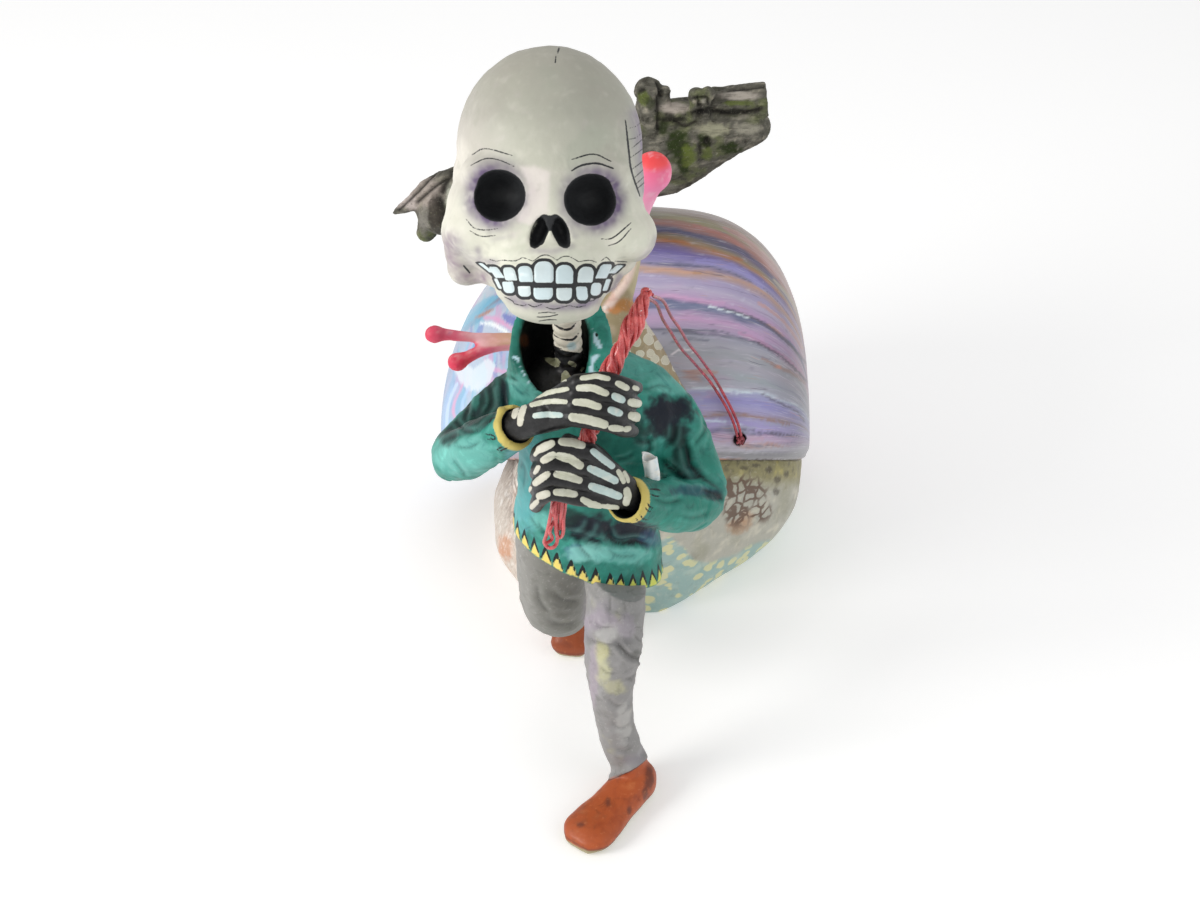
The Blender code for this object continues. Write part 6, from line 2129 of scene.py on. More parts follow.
def make_shell():
    ob = blob("snail_shell_skin", shell_shapes, 0.0020, 24)
    slice_off(ob, (0, LIP_Y, LIP_Z), (0, LIP_SLOPE, -1))
    ob.data.update()
    p, n = co_of(ob), normals_of(ob)
    inside = np.array((0, LIP_SLOPE, -1.0))
    inside /= np.linalg.norm(inside)
    to_lip = (p - np.array((0, LIP_Y, LIP_Z))) @ inside          # 0 at the mouth
    deg = np.degrees(np.arctan2(p[:, 2] - SH_Z, p[:, 1] - SH_Y))
    deg = np.where(deg < -90, deg + 360, deg)
    wide = step(-to_lip, 0.0, 0.006)
    # shallow growth lines and a slightly uneven skin
    grow = fbm(np.stack([deg * 0.0026, p[:, 0] * 0.10, p[:, 0] * 0], -1), 0.004, 3, seed=91)
    move = (0.00022 * grow + 0.0006 * fbm(p, 0.045, 2, seed=92)) * wide
    # the rim turns out into a thin rounded lip
    move += 0.0007 * bump_at(to_lip, -0.0022, 0.0016)
    move -= 0.0004 * bump_at(to_lip, -0.0052, 0.0016)
    p = p + n * move[:, None]
    # the rim's right-hand corner is rounded off
    k = (1 + to_lip / 0.011).clip(0, 1)
    p[:, 0] -= 0.0085 * (1 - np.sqrt(1 - k * k)) * step(p[:, 0], 0.118, 0.150)
    set_co(ob, p)
    cut(ob, hole_shape)
    p, n = co_of(ob), normals_of(ob)
    to_lip = (p - np.array((0, LIP_Y, LIP_Z))) @ inside
    u, v = front_view(p)
    ok = facing(p, n) > 0.0
    deg = np.degrees(np.arctan2(p[:, 2] - SH_Z, p[:, 1] - SH_Y))
    deg = np.where(deg < -90, deg + 360, deg)
    side = (p[:, 0] - 0.048) / 0.05
    top = 1 - step(deg, 88, 100)
    q = np.stack([deg * 0.0026, p[:, 0] * 0.16, p[:, 0] * 0], -1)
    e = deg - 3.6 * side * top * (side > 0) - 1.0 * side * top * (side < 0)
    e += 1.3 * fbm(q, 0.012, 2, seed=93) + 0.7 * fbm(q, 0.004, 2, seed=94)
    e += 0.6 * fbm(p, 0.020, 2, seed=95)
    at = np.array([a for a, c in BANDS])
    cs = np.array([rgb(*c) for a, c in BANDS])
    col = np.stack([np.interp(e, at, cs[:, i]) for i in range(3)], -1)

    q3 = np.stack([deg * 0.0026, p[:, 0] * 0.22, p[:, 0] * 0], -1)
    t1, t2, t3 = (fbm(q3, s, 3, seed=sd) for s, sd in ((0.006, 96), (0.003, 97), (0.010, 98)))
    right = step(p[:, 0], 0.070, 0.125)
    crown = 1 - step(deg, 80, 92)
    col = layer(col, rgb(206, 160, 154), right * crown * step(t1, -0.35, 0.3) * 0.85)
    col = layer(col, rgb(212, 198, 158), right * crown * step(t3, 0.25, 0.6) * 0.7)
    col = layer(col, rgb(200, 152, 150), step(p[:, 0], 0.115, 0.145) * step(t3, -0.1, 0.4)
                * (1 - step(deg, 105, 125)) * 0.7)
    col = layer(col, rgb(192, 150, 184), step(t3, 0.30, 0.6) * step(deg, 96, 108) * 0.5)
    col = layer(col, rgb(110, 108, 128), step(t2, 0.35, 0.6) * 0.40)
    col = layer(col, rgb(206, 206, 222), step(-t2, 0.35, 0.6) * 0.40)
    col = layer(col, rgb(172, 120, 92), step(fbm(q3, 0.008, 2, seed=99), 0.42, 0.60) * 0.6)
    col = layer(col, rgb(150, 160, 164), step(fbm(q3, 0.014, 2, seed=100), 0.2, 0.5)
                * step(deg, 114, 122) * 0.6)

    col = layer(col, rgb(120, 92, 60), (1 - step(deg, 66, 77)) * step(deg, 40, 58) * 0.5)
    col = layer(col, rgb(150, 138, 86), bump_at(deg + 2.0 * t1, 75.5, 1.6) * 0.5)

    # single strokes, as they run on the side that faces the camera
    def dab(colour, amount, w, pts, taper=0.3):
        nonlocal col
        f = np.full(len(p), FAR)
        stroke(f, u, v, ok, crop(590, 180, 5.225, pts), w, taper)
        f += 0.8 * fbm(p, 0.006, 2, seed=w * 7)
        col = layer(col, colour, step(-f, -0.7, 0.5) * amount)

    dab(rgb(80, 78, 122), 0.85, 3.2, ((300, 262), (420, 262), (520, 278)))
    dab(rgb(176, 112, 70), 0.8, 3.0, ((340, 318), (440, 318), (520, 330)))
    dab(rgb(170, 106, 62), 0.8, 3.0, ((640, 372), (720, 398), (800, 420)))
    dab(rgb(96, 96, 120), 0.8, 2.4, ((600, 318), (650, 325), (700, 350)))
    dab(rgb(200, 122, 110), 0.8, 3.6, ((540, 236), (640, 268), (720, 300), (800, 352)))
    dab(rgb(206, 150, 142), 0.8, 4.5, ((700, 250), (800, 300), (900, 400), (980, 500)))
    dab(rgb(206, 156, 150), 0.8, 5.0, ((900, 380), (1000, 500), (1060, 600), (1100, 720)))
    dab(rgb(190, 176, 140), 0.7, 3.0, ((960, 520), (1040, 610), (1090, 700), (1112, 770)))
    dab(rgb(176, 160, 100), 0.7, 2.6, ((330, 196), (450, 200), (540, 210), (600, 240)))
    dab(rgb(92, 92, 118), 0.75, 2.0, ((350, 438), (450, 436), (540, 444)))
    dab(rgb(196, 150, 126), 0.6, 3.6, ((290, 480), (420, 470), (540, 484)))
    dab(rgb(170, 126, 86), 0.7, 3.0, ((540, 484), (580, 486)))
    dab(rgb(150, 144, 200), 0.6, 6.0, ((560, 420), (700, 440), (800, 480), (900, 560)))
    dab(rgb(196, 152, 188), 0.6, 4.0, ((330, 612), (430, 606), (560, 630), (700, 640)))
    dab(rgb(112, 118, 148), 0.8, 5.0, ((360, 655), (480, 660), (600, 665), (700, 690)))
    dab(rgb(214, 224, 232), 0.9, 2.0, ((620, 660), (700, 680), (760, 695), (830, 720)))
    dab(rgb(92, 86, 104), 0.85, 2.6, ((700, 672), (800, 700), (900, 745), (1010, 830),
                                      (1090, 910), (1130, 960)))
    dab(rgb(188, 150, 188), 0.6, 5.0, ((430, 720), (600, 730), (760, 760), (900, 830)))
    dab(rgb(192, 140, 176), 0.6, 4.0, ((780, 800), (900, 850), (1000, 920), (1100, 1000)))
    dab(rgb(202, 150, 132), 0.6, 3.0, ((880, 640), (980, 710), (1060, 800), (1110, 880)))
    dab(rgb(100, 100, 116), 0.9, 2.0, ((380, 800), (480, 786), (600, 788), (720, 796)))
    dab(rgb(84, 76, 92), 0.85, 2.4, ((880, 850), (980, 910), (1060, 975), (1130, 1050)))
    dab(rgb(108, 110, 124), 0.8, 1.8, ((420, 850), (520, 830), (620, 838)))
    dab(rgb(150, 120, 112), 0.7, 3.4, ((900, 930), (980, 975), (1060, 1010), (1120, 1060)))
    dab(rgb(196, 140, 122), 0.8, 2.4, ((970, 972), (1000, 980)))
    dab(rgb(206, 218, 228), 0.8, 2.0, ((540, 1090), (640, 1085), (740, 1110), (840, 1110)))
    dab(rgb(104, 98, 118), 0.8, 2.0, ((900, 1120), (1000, 1170), (1080, 1210), (1120, 1260)))
    dab(rgb(142, 136, 190), 0.7, 6.5, ((600, 1150), (760, 1150), (900, 1170), (1080, 1230)))
    dab(rgb(150, 118, 110), 0.8, 2.2, ((640, 1228), (760, 1222), (880, 1240), (1040, 1280)))
    dab(rgb(156, 144, 196), 0.7, 4.0, ((620, 1262), (780, 1270), (940, 1290), (1080, 1300)))
    dab(rgb(206, 222, 236), 0.7, 1.8, ((600, 1255), (700, 1262), (790, 1280)))
    dab(rgb(92, 84, 108), 0.8, 1.8, ((790, 1300), (900, 1318), (1010, 1330), (1090, 1336)))
    dab(rgb(184, 150, 170), 0.6, 5.0, ((640, 1330), (760, 1350), (900, 1350)))
    dab(rgb(104, 104, 120), 0.7, 1.8, ((820, 1395), (900, 1390), (960, 1388)))
    dab(rgb(214, 208, 214), 0.9, 1.6, ((425, 912), (460, 890), (500, 884), (540, 900)))

    # the left side: mother-of-pearl white with loose aqua, pink and lilac arcs
    pearl = 1 - step(p[:, 0] + 0.012 * fbm(p, 0.03, 2, seed=101), -0.078, -0.040)
    w = np.tile(rgb(172, 186, 204), (len(p), 1))
    arc = p[:, 0] * 1.0 + 0.004 * fbm(p, 0.022, 2, seed=102)
    qa = np.stack([arc, deg * 0.0004, arc * 0], -1)
    w = layer(w, rgb(112, 180, 208), step(fbm(qa, 0.007, 2, seed=103), 0.05, 0.35) * 0.75)
    w = layer(w, rgb(196, 148, 188), step(fbm(qa, 0.008, 2, seed=104), 0.18, 0.42) * 0.70)
    w = layer(w, rgb(106, 122, 186), step(fbm(qa, 0.006, 2, seed=105), 0.25, 0.50) * 0.70)
    w = layer(w, rgb(122, 146, 194), step(-p[:, 0], 0.084, 0.112) * 0.55)
    w = layer(w, rgb(96, 190, 210), step(fbm(qa, 0.009, 2, seed=106), 0.38, 0.55) * 0.5)
    low = step(deg, 128, 142)
    w = layer(w, rgb(166, 158, 182), low * 0.85)
    w = layer(w, rgb(190, 140, 118), low * step(t3, 0.2, 0.5) * 0.6)
    col = col * (1 - pearl[:, None]) + w * pearl[:, None]
    F = (415, 260, 7.127)
    aqua, pink, cobalt, rust = rgb(84, 172, 206), rgb(206, 150, 188), rgb(98, 104, 176), \
        rgb(176, 108, 70)

    def swish(colour, amount, w0, pts):
        nonlocal col
        f = np.full(len(p), FAR)
        stroke(f, u, v, ok, crop(*F, pts), w0, 0.3)
        f += 0.9 * fbm(p, 0.008, 2, seed=w0 * 3)
        col = layer(col, colour, step(-f, -0.8, 0.6) * amount)

    swish(rgb(70, 150, 186), 0.7, 10, ((300, 520), (420, 420), (560, 300), (700, 240)))
    swish(aqua, 0.8, 9, ((320, 470), (440, 360), (560, 270)))
    swish(rust, 0.8, 2.4, ((430, 410), (470, 395), (520, 370), (560, 350)))
    swish(rgb(120, 112, 130), 0.7, 2.2, ((500, 350), (580, 290), (660, 250)))
    swish(pink, 0.85, 4.5, ((500, 410), (580, 420), (660, 470), (740, 520)))
    swish(rgb(232, 238, 246), 0.85, 3.4, ((470, 450), (560, 460), (640, 510), (700, 570)))
    swish(cobalt, 0.8, 8, ((640, 400), (720, 450), (800, 480)))
    swish(aqua, 0.7, 6, ((560, 560), (680, 620), (700, 720)))
    swish(pink, 0.8, 3.0, ((500, 700), (520, 760), (600, 790), (680, 800)))
    swish(rgb(206, 216, 224), 0.85, 20, ((330, 780), (430, 860), (520, 760)))
    swish(rgb(180, 206, 232), 0.8, 3.2, ((300, 880), (240, 1020), (225, 1180), (240, 1300)))
    swish(rgb(140, 176, 216), 0.7, 2.6, ((265, 900), (215, 1050), (205, 1200)))
    swish(pink, 0.8, 2.6, ((345, 880), (285, 1010), (275, 1100), (320, 1170)))
    swish(rgb(168, 196, 232), 0.7, 3.0, ((390, 900), (340, 1010), (350, 1110), (420, 1180)))
    # painted light and shade: the front-facing side lighter, the right end and the crown darker
    lift = 1 + 0.16 * step(deg, 84, 96) * (1 - step(p[:, 0], 0.105, 0.140))
    lift *= 1 - 0.34 * step(p[:, 0], 0.108, 0.144)
    lift *= 1 - 0.26 * (1 - step(deg, 82, 95)) * (1 - pearl)
    col = np.minimum(col * lift[:, None], 0.93)
    # rim
    lip = step(to_lip, -0.0062, -0.0040)
    col = layer(col, rgb(136, 134, 136), lip * 0.80 * (1 - pearl))
    col = layer(col, rgb(156, 150, 158), bump_at(to_lip, -0.0078, 0.0016) * 0.5)
    col = layer(col, rgb(186, 120, 74), step(to_lip, -0.0014, -0.0004) * step(t3, -0.1, 0.3) * 0.8)
    # painted shade in the bored hole and round its mouth
    hole = np.linalg.norm(np.cross(p - np.array(HOLE), np.array((0, cos(radians(20)),
                                                                -sin(radians(20))))), axis=1)
    d2 = np.linalg.norm(p - np.array(HOLE), axis=1)
    near = d2 < 0.012
    col = layer(col, rgb(70, 40, 44), near * (1 - step(d2, 0.0042, 0.0062)) * 0.8)
    well = near & (hole < HOLE_R * 1.02) & (d2 > 0.001)
    put_colour(ob, col)
    put_value(ob, "run", deg * 0.0027)
    put_value(ob, "well", well.astype(float))
    put_value(ob, "pearl", pearl)
    put_value(ob, "mouth", step(to_lip, -0.0004, -0.00005))

    m = Look("painted_shell", 0.32, Specular_IOR_Level=0.5, Coat_Weight=0.25,
             Coat_Roughness=0.25)
    xyz = m.node("SeparateXYZ", {"Vector": m.coord})
    line = m.node("CombineXYZ", {"X": m.attr("run"), "Y": m.math("MULTIPLY", xyz.outputs[0],
                                                                0.06)}).outputs[0]
    warp = m.noise(0.018, 2.0)
    line = m.node("CombineXYZ", {"X": m.math("ADD", m.attr("run"),
                                             m.math("MULTIPLY", warp, 0.004)),
                                 "Y": m.math("MULTIPLY", xyz.outputs[0], 0.06)}).outputs[0]
    fine = m.noise(0.0011, 3.0, 0.6, where=line)
    mid = m.noise(0.0030, 3.0, 0.6, where=line)
    thin = m.noise(0.0018, 2.0, 0.5, where=line)
    base = m.attr("paint", "Color")
    off = m.math("SUBTRACT", 1.0, m.attr("pearl"))
    base = m.mix(m.math("MULTIPLY", m.span(mid, 0.55, 0.75, 0, 0.45), off), base,
                 rgb(196, 188, 212))
    base = m.mix(m.math("MULTIPLY", m.span(mid, 0.44, 0.26, 0, 0.45), off), base,
                 rgb(108, 100, 128))
    base = m.mix(m.math("MULTIPLY", m.span(fine, 0.56, 0.72, 0, 0.40), off), base,
                 rgb(222, 216, 226))
    base = m.mix(m.math("MULTIPLY", m.span(thin, 0.64, 0.74, 0, 0.6), off), base,
                 rgb(84, 80, 96))
    base = m.mix(m.math("MULTIPLY", m.span(thin, 0.34, 0.26, 0, 0.5), off), base,
                 rgb(190, 144, 126))
    # painted shade: dark on the lip's cut face where the shell meets the body
    base = m.mix(m.attr("mouth"), base, rgb(70, 54, 48))
    # painted shade inside the hole, nearly black
    base = m.mix(m.attr("well"), base, rgb(26, 16, 18))
    h = m.bump(fine, 0.00016, 0.6)
    h = m.bump(mid, 0.00030, 0.5, h)
    h = m.bump(m.noise(0.006, 3.0), 0.0003, 0.35, h)
    rough = m.node("Math", {0: m.attr("well")}, operation="MULTIPLY_ADD").outputs[0]
    rough.node.inputs[1].default_value = 0.4
    rough.node.inputs[2].default_value = 0.34
    tool = copy_of(ob)
    dress(ob, m.done(base, rough, h), ("snail_shell",))
    return tool


SHELL_TOOL = make_shell()


# ------------------------------------------------------------------- the snail
def snail_shapes(soup):
    stations = ((0.104, 0.010, 0.040, 0.060), (0.111, 0.009, 0.064, 0.115),
                (0.128, 0.0116, 0.0875, 0.140), (0.150, 0.0205, 0.1045, 0.138),
                (0.180, 0.029, 0.116, 0.125), (0.215, 0.032, 0.117, 0.100),
                (0.250, 0.028, 0.102, 0.070), (0.285, 0.022, 0.080, 0.044),
                (0.315, 0.018, 0.056, 0.032), (0.345, 0.015, 0.032, 0.020),
                (0.366, 0.013, 0.010, 0.009))
    sec = smooth_path(stations, 81)
    ang = np.linspace(0, 2 * pi, 96, endpoint=False)
    rings = []
    for y, cx, hw, h in sec:
        ring = []
        for a in ang:
            x, z = cos(a), sin(a)
            k = (abs(x) ** 3.2 + abs(z) ** 3.2) ** (-1 / 3.2)
            zz = h * (0.5 + 0.5 * k * z) - 0.006
            up = min(1.0, max(0.0, zz / 0.065))
            wide = 0.97 + 0.03 * up if x > 0 else 0.99 - 0.20 * up ** 2
            ring.append((cx + hw * wide * k * x, y, zz))
        rings.append(ring)
    rings_to_faces(soup, rings)
    tube(soup, ((0.030, 0.175, 0.050), (0.022, 0.142, 0.105), (0.014, 0.116, 0.160),
                (0.0065, 0.100, 0.205), (-0.001, 0.088, 0.240)),
         (0.078, 0.062, 0.049, 0.0405, 0.033), seg=64)
    ball(soup, (-0.004, 0.082, 0.2480), (0.036, 0.034, 0.030))
    tube(soup, ((0.005, 0.088, 0.262), (0.0130, 0.096, 0.285), (0.0185, 0.100, 0.306),
                (0.0240, 0.102, 0.330), (0.0300, 0.102, 0.352)),
         (0.0132, 0.0108, 0.0086, 0.0078, 0.0106), seg=36)
    ball(soup, (0.0320, 0.102, 0.3545), (0.0120, 0.0115, 0.0132))
    tube(soup, ((-0.030, 0.076, 0.2440), (-0.056, 0.076, 0.2510), (-0.078, 0.073, 0.2540),
                (-0.1000, 0.071, 0.2578)), (0.0084, 0.0044, 0.0036, 0.0042), seg=32)
    ball(soup, (-0.1030, 0.0705, 0.2580), (0.0070, 0.0062, 0.0060))
    tube(soup, ((-0.030, 0.074, 0.2455), (-0.0551, 0.071, 0.2502), (-0.0725, 0.066, 0.2492),
                (-0.0862, 0.060, 0.2456)), (0.0084, 0.0046, 0.0040, 0.0046), seg=32)
    ball(soup, (-0.0888, 0.0595, 0.2446), (0.0068, 0.0062, 0.0063))


NECK_DOTS = (((75, 850), 52), ((175, 930), 56), ((50, 960), 62), ((318, 1062), 46),
             ((420, 1040), 50), ((452, 960), 44), ((512, 1090), 44), ((592, 1110), 42),
             ((440, 1162), 38), ((350, 1165), 38), ((476, 1212), 40), ((572, 1222), 44),
             ((385, 905), 46), ((655, 1290), 34), ((255, 985), 34), ((540, 985), 36),
             ((628, 1010), 34), ((-70, 930), 50), ((-60, 1060), 48), ((150, 1060), 52),
             ((230, 1150), 44), ((90, 1170), 46), ((-20, 1150), 46), ((700, 1180), 34),
             ((300, 830), 34), ((470, 860), 30), ((690, 1090), 26))


def make_snail():
    ob = blob("snail_skin", snail_shapes, 0.00178, 10)
    slice_off(ob, (0, 0, 0.0002), (0, 0, -1))
    p, n = co_of(ob), normals_of(ob)
    u, v = front_view(p)
    ok = facing(p, n) > 0.0
    stalks = (p[:, 2] > 0.225) & ((p[:, 0] < -0.030) | (p[:, 2] > 0.272))
    ground = step(p[:, 2], 0.0005, 0.006)
    soft = np.where(stalks, 0.25, 1.0) * ground
    move = soft * (0.0013 * fbm(p, 0.040, 2, seed=111) + 0.0005 * fbm(p, 0.012, 3, seed=112))
    # the peach ridge that runs from the near stalk down the side of the neck
    G = (600, 220, 8.711)
    ridge_line = smooth_path(crop(*G, ((285, 340), (262, 450), (215, 560), (130, 670),
                                       (50, 780))), 40)
    dist, along = polyline(u, v, ridge_line)
    ridge = np.exp(-(dist / 4.6) ** 2) * ok * (p[:, 1] < 0.12)
    move += 0.0020 * ridge * (p[:, 2] < 0.310)
    # a few sagging folds on the flank
    for pts, dep, w in ((((430, 700), (700, 740), (1000, 690), (1180, 600)), 0.0010, 5.0),
                        (((480, 420), (640, 470), (820, 440)), 0.0008, 4.0)):
        d, s = polyline(u, v, smooth_path(crop(600, 430, 6.817, pts), 30))
        move += dep * np.exp(-(d / w) ** 2) * ok * (p[:, 2] < 0.125) * (p[:, 0] > 0.02)
    set_co(ob, p + n * move[:, None])
    cut_by(ob, copy_of(SHELL_TOOL))
    largest(ob)
    p, n = co_of(ob), normals_of(ob)
    p[:, 2] = np.maximum(p[:, 2], 0.0002)
    set_co(ob, p)
    u, v = front_view(p)
    ok = facing(p, n) > 0.0
    dist, along = polyline(u, v, ridge_line)
    ridge = np.exp(-(dist / 4.6) ** 2) * ok * (p[:, 1] < 0.12)
    a1, a2, a3 = fbm(p, 0.030, 2, seed=113), fbm(p, 0.011, 3, seed=114), fbm(p, 0.004, 3, seed=115)
    H = (600, 430, 6.817)
    col = np.tile(rgb(178, 176, 164), (len(p), 1))
    col = layer(col, rgb(214, 208, 190), step(a2 + 0.4 * a1, 0.0, 0.6) * 0.7)
    col = layer(col, rgb(150, 148, 124), step(-a1, 0.0, 0.5) * 0.5)
    # olive band under the shell's rim
    lip_n = np.array((0, LIP_SLOPE, -1.0)) / np.linalg.norm((0, LIP_SLOPE, -1.0))
    under = (p - np.array((0, LIP_Y, LIP_Z))) @ lip_n
    band = (1 - step(under + 0.004 * a2, 0.010, 0.024)) * step(under, -0.001, 0.001)
    right = step(p[:, 0], 0.030, 0.055)
    col = layer(col, rgb(142, 134, 82), band * 0.85 * right)
    col = layer(col, rgb(190, 178, 104), band * step(a2, 0.1, 0.5) * 0.7 * right)
    col = layer(col, rgb(92, 86, 66), band * step(-a3 - a2, 0.3, 0.7) * 0.6 * right)
    spot = lambda c, r, s=1.0: blotch(p, u, v, c, r, H, 0.5, 0.005, s) * ok
    for c, r in (((1150, 270), (34, 26)), ((1210, 340), (30, 26)), ((1200, 420), (26, 26)),
                 ((1060, 240), (36, 16)), ((980, 260), (30, 14)), ((1270, 300), (20, 30))):
        col = layer(col, rgb(74, 66, 52), spot(c, r) * 0.75)
    # net of brown lines on the flank, and pale drops on blue-grey along the sole
    net = np.zeros(len(p))
    for c, r in (((1000, 420), (150, 120)), ((930, 560), (110, 120)), ((1090, 560), (90, 90)),
                 ((900, 400), (80, 110))):
        net = np.maximum(net, blotch(p, u, v, c, r, H, 0.3, 0.010, 2.0) * ok)
    tail = (p[:, 1] > 0.20) | ((p[:, 0] < -0.03) & (p[:, 2] < 0.11))
    net = np.maximum(net, tail * step(p[:, 2], 0.050, 0.070) * 0.7 * (1 - step(p[:, 2], 0.11, 0.13)))
    col = layer(col, rgb(160, 158, 146), net * 0.40)
    col = layer(col, rgb(178, 128, 84), spot((940, 660), (80, 60), 4) * 0.55)
    col = layer(col, rgb(190, 140, 96), spot((1000, 600), (60, 60), 5) * 0.45)
    sole = np.full(len(p), FAR)
    edge = crop(*H, ((300, 1000), (400, 760), (470, 720), (560, 800), (640, 890), (760, 905),
                     (900, 870), (1000, 800), (1120, 760), (1230, 740), (1330, 700),
                     (1400, 1300), (300, 1500)))
    d = polygon(u, v, edge)
    sole = np.where(ok & (u > 640), d / 5.0, (p[:, 2] - 0.034) / 0.006)
    sole = sole + 0.6 * a2
    drops = step(-sole, -0.5, 0.5) * (1 - step(-p[:, 0], 0.015, 0.045))
    col = layer(col, rgb(150, 182, 178), drops * 0.9)
    col = layer(col, rgb(184, 200, 188), drops * step(a2, 0.0, 0.5) * 0.7)
    # left side of the foot: chalky peach, worn through to rust
    left = step(-p[:, 0], 0.000, 0.030) * (1 - step(p[:, 2], 0.125, 0.145))
    col = layer(col, rgb(214, 200, 188), left * 0.85)
    col = layer(col, rgb(238, 232, 226), left * step(a3 + a2, 0.1, 0.7) * 0.8)
    col = layer(col, rgb(170, 156, 142), left * step(-a3, 0.2, 0.6) * 0.5)
    col = layer(col, rgb(204, 140, 100), blotch(p, u, v, (505, 548), (8, 15), None, 0.6,
                                               0.006, 3) * ok * 0.8)
    col = layer(col, rgb(206, 160, 130), blotch(p, u, v, (498, 575), (14, 12), None, 0.6,
                                                0.006, 5) * ok * 0.5)
    col = layer(col, rgb(214, 176, 152), left * step(a1, 0.15, 0.5) * 0.5)

    # neck and head
    neck = step(p[:, 2], 0.128, 0.150)
    col = layer(col, rgb(160, 143, 108), neck)
    col = layer(col, rgb(180, 167, 130), neck * step(a1, -0.1, 0.5) * 0.6)
    col = layer(col, rgb(140, 121, 86), neck * step(a2, 0.1, 0.6) * 0.6)

    def gspot(colour, amount, centre, radii, seed=1.0, wobble=0.35):
        nonlocal col
        w = blotch(p, u, v, centre, radii, G, wobble, 0.006, seed) * ok * neck
        col = layer(col, colour, w * amount)

    gspot(rgb(190, 178, 140), 0.9, (320, 480), (80, 300))
    gspot(rgb(200, 188, 152), 0.7, (345, 420), (40, 140), 3)
    gspot(rgb(180, 122, 60), 0.95, (215, 740), (120, 62), 2)
    gspot(rgb(206, 136, 70), 0.8, (130, 790), (60, 40), 3)
    gspot(rgb(196, 176, 150), 0.7, (60, 960), (90, 80), 4)
    gspot(rgb(142, 124, 150), 0.95, (115, 480), (62, 150), 5, 0.2)
    pk = np.exp(-(dist / 4.4) ** 4) * ok * (p[:, 1] < 0.12) * (p[:, 2] < 0.318)
    col = layer(col, rgb(250, 222, 210), pk)
    col = layer(col, rgb(214, 158, 140), pk * step(a3 + a2, 0.1, 0.6) * 0.6)
    col = layer(col, rgb(236, 150, 76), blotch(p, u, v, (88, 785), (26, 26), G, 0.4) * ok * 0.9)
    col = layer(col, rgb(246, 236, 230), blotch(p, u, v, (42, 762), (16, 26), G, 0.4) * ok * 0.8)

    # round pale dots over the neck; where the camera doesn't see it they carry on
    dots = np.full(len(p), FAR)
    for c, r in NECK_DOTS:
        cu, cv = crop(*G, (c,))[0]
        wob = 1 + 0.16 * perlin(p / 0.006 + r)
        d = np.hypot((u - cu) * (1.12 if cu > 655 else 1.0), v - cv) * wob - r / 8.711
        dots = np.where(ok & (p[:, 2] > 0.12), np.minimum(dots, d), dots)
    shown = ok & (u > 590) & (v < 378) & (p[:, 2] > 0.12)
    d1, d2, who = cells(p, 0.0135, seed=7, jitter=0.5)
    rest = (d1 * 0.0135 - 0.0040) / 0.00055
    dots = np.where(shown, dots, np.where(p[:, 2] > 0.13, rest, FAR))
    stalk2 = (p[:, 0] < -0.022) | (p[:, 2] > 0.262)
    dots = np.where(stalk2 | (ridge > 0.3), FAR, dots)
    dots = np.where((blotch(p, u, v, (320, 520), (80, 280), G, 0.1) * ok) > 0.3, FAR, dots)
    dots = np.where((blotch(p, u, v, (215, 740), (110, 50), G, 0.1) * ok) > 0.4, FAR, dots)
    dots = np.where((blotch(p, u, v, (115, 480), (62, 150), G, 0.1) * ok) > 0.3, FAR, dots)

    # the far stalks: ochre at the root, pink, red knobs
    sx = -p[:, 0]
    far = step(sx, 0.022, 0.034) * (p[:, 2] > 0.226) * (p[:, 1] < 0.11) * (p[:, 2] < 0.275)
    upper = step(p[:, 2], 0.2516, 0.2530)
    s_col = np.stack([np.interp(sx, (0.022, 0.050, 0.066, 0.076, 0.090, 0.110),
                                [rgb(*c)[i] for c in ((150, 134, 84), (196, 166, 120), (218, 160, 146),
                                                      (232, 176, 182), (220, 96, 122),
                                                      (214, 52, 84))]) for i in range(3)], -1)
    s_low = np.stack([np.interp(sx, (0.022, 0.040, 0.060, 0.070, 0.082, 0.100),
                                [rgb(*c)[i] for c in ((204, 164, 146), (226, 170, 170), (228, 146, 158),
                                                      (220, 96, 124), (226, 56, 78),
                                                      (206, 44, 84))]) for i in range(3)], -1)
    both = s_col * upper[:, None] + s_low * (1 - upper[:, None])
    # painted highlight on the upward-facing sides of the far stalks
    both = layer(both, rgb(240, 190, 190), step(n[:, 2], 0.3, 0.9) * step(a3 + 0.2, 0, 0.6) * 0.4)
    both = layer(both, rgb(160, 60, 120), step(a3, 0.3, 0.7) * step(sx, 0.07, 0.085) * 0.5)
    col = col * (1 - far[:, None]) + both * far[:, None]
    # the near stalk
    near = step(p[:, 2], 0.306, 0.318) * (p[:, 0] > -0.01)
    zz = p[:, 2]
    n_col = np.stack([np.interp(zz, (0.280, 0.306, 0.320, 0.334, 0.3480, 0.3590, 0.3625, 0.369),
                                [rgb(*c)[i] for c in ((240, 210, 200), (244, 208, 200), (248, 190, 208),
                                                      (250, 168, 200), (246, 136, 180),
                                                      (246, 112, 150), (250, 84, 88),
                                                      (242, 64, 68))])
                      for i in range(3)], -1)
    n_col = layer(n_col, rgb(252, 208, 222), step(a2 + a3, 0.2, 0.8) * 0.4)
    col = col * (1 - near[:, None]) + n_col * near[:, None]
    put_colour(ob, col)
    put_value(ob, "dots", dots.clip(-5, FAR))
    put_value(ob, "net", net)
    put_value(ob, "drops", drops)
    put_value(ob, "left", left)
    put_value(ob, "gloss", np.maximum(far, near))

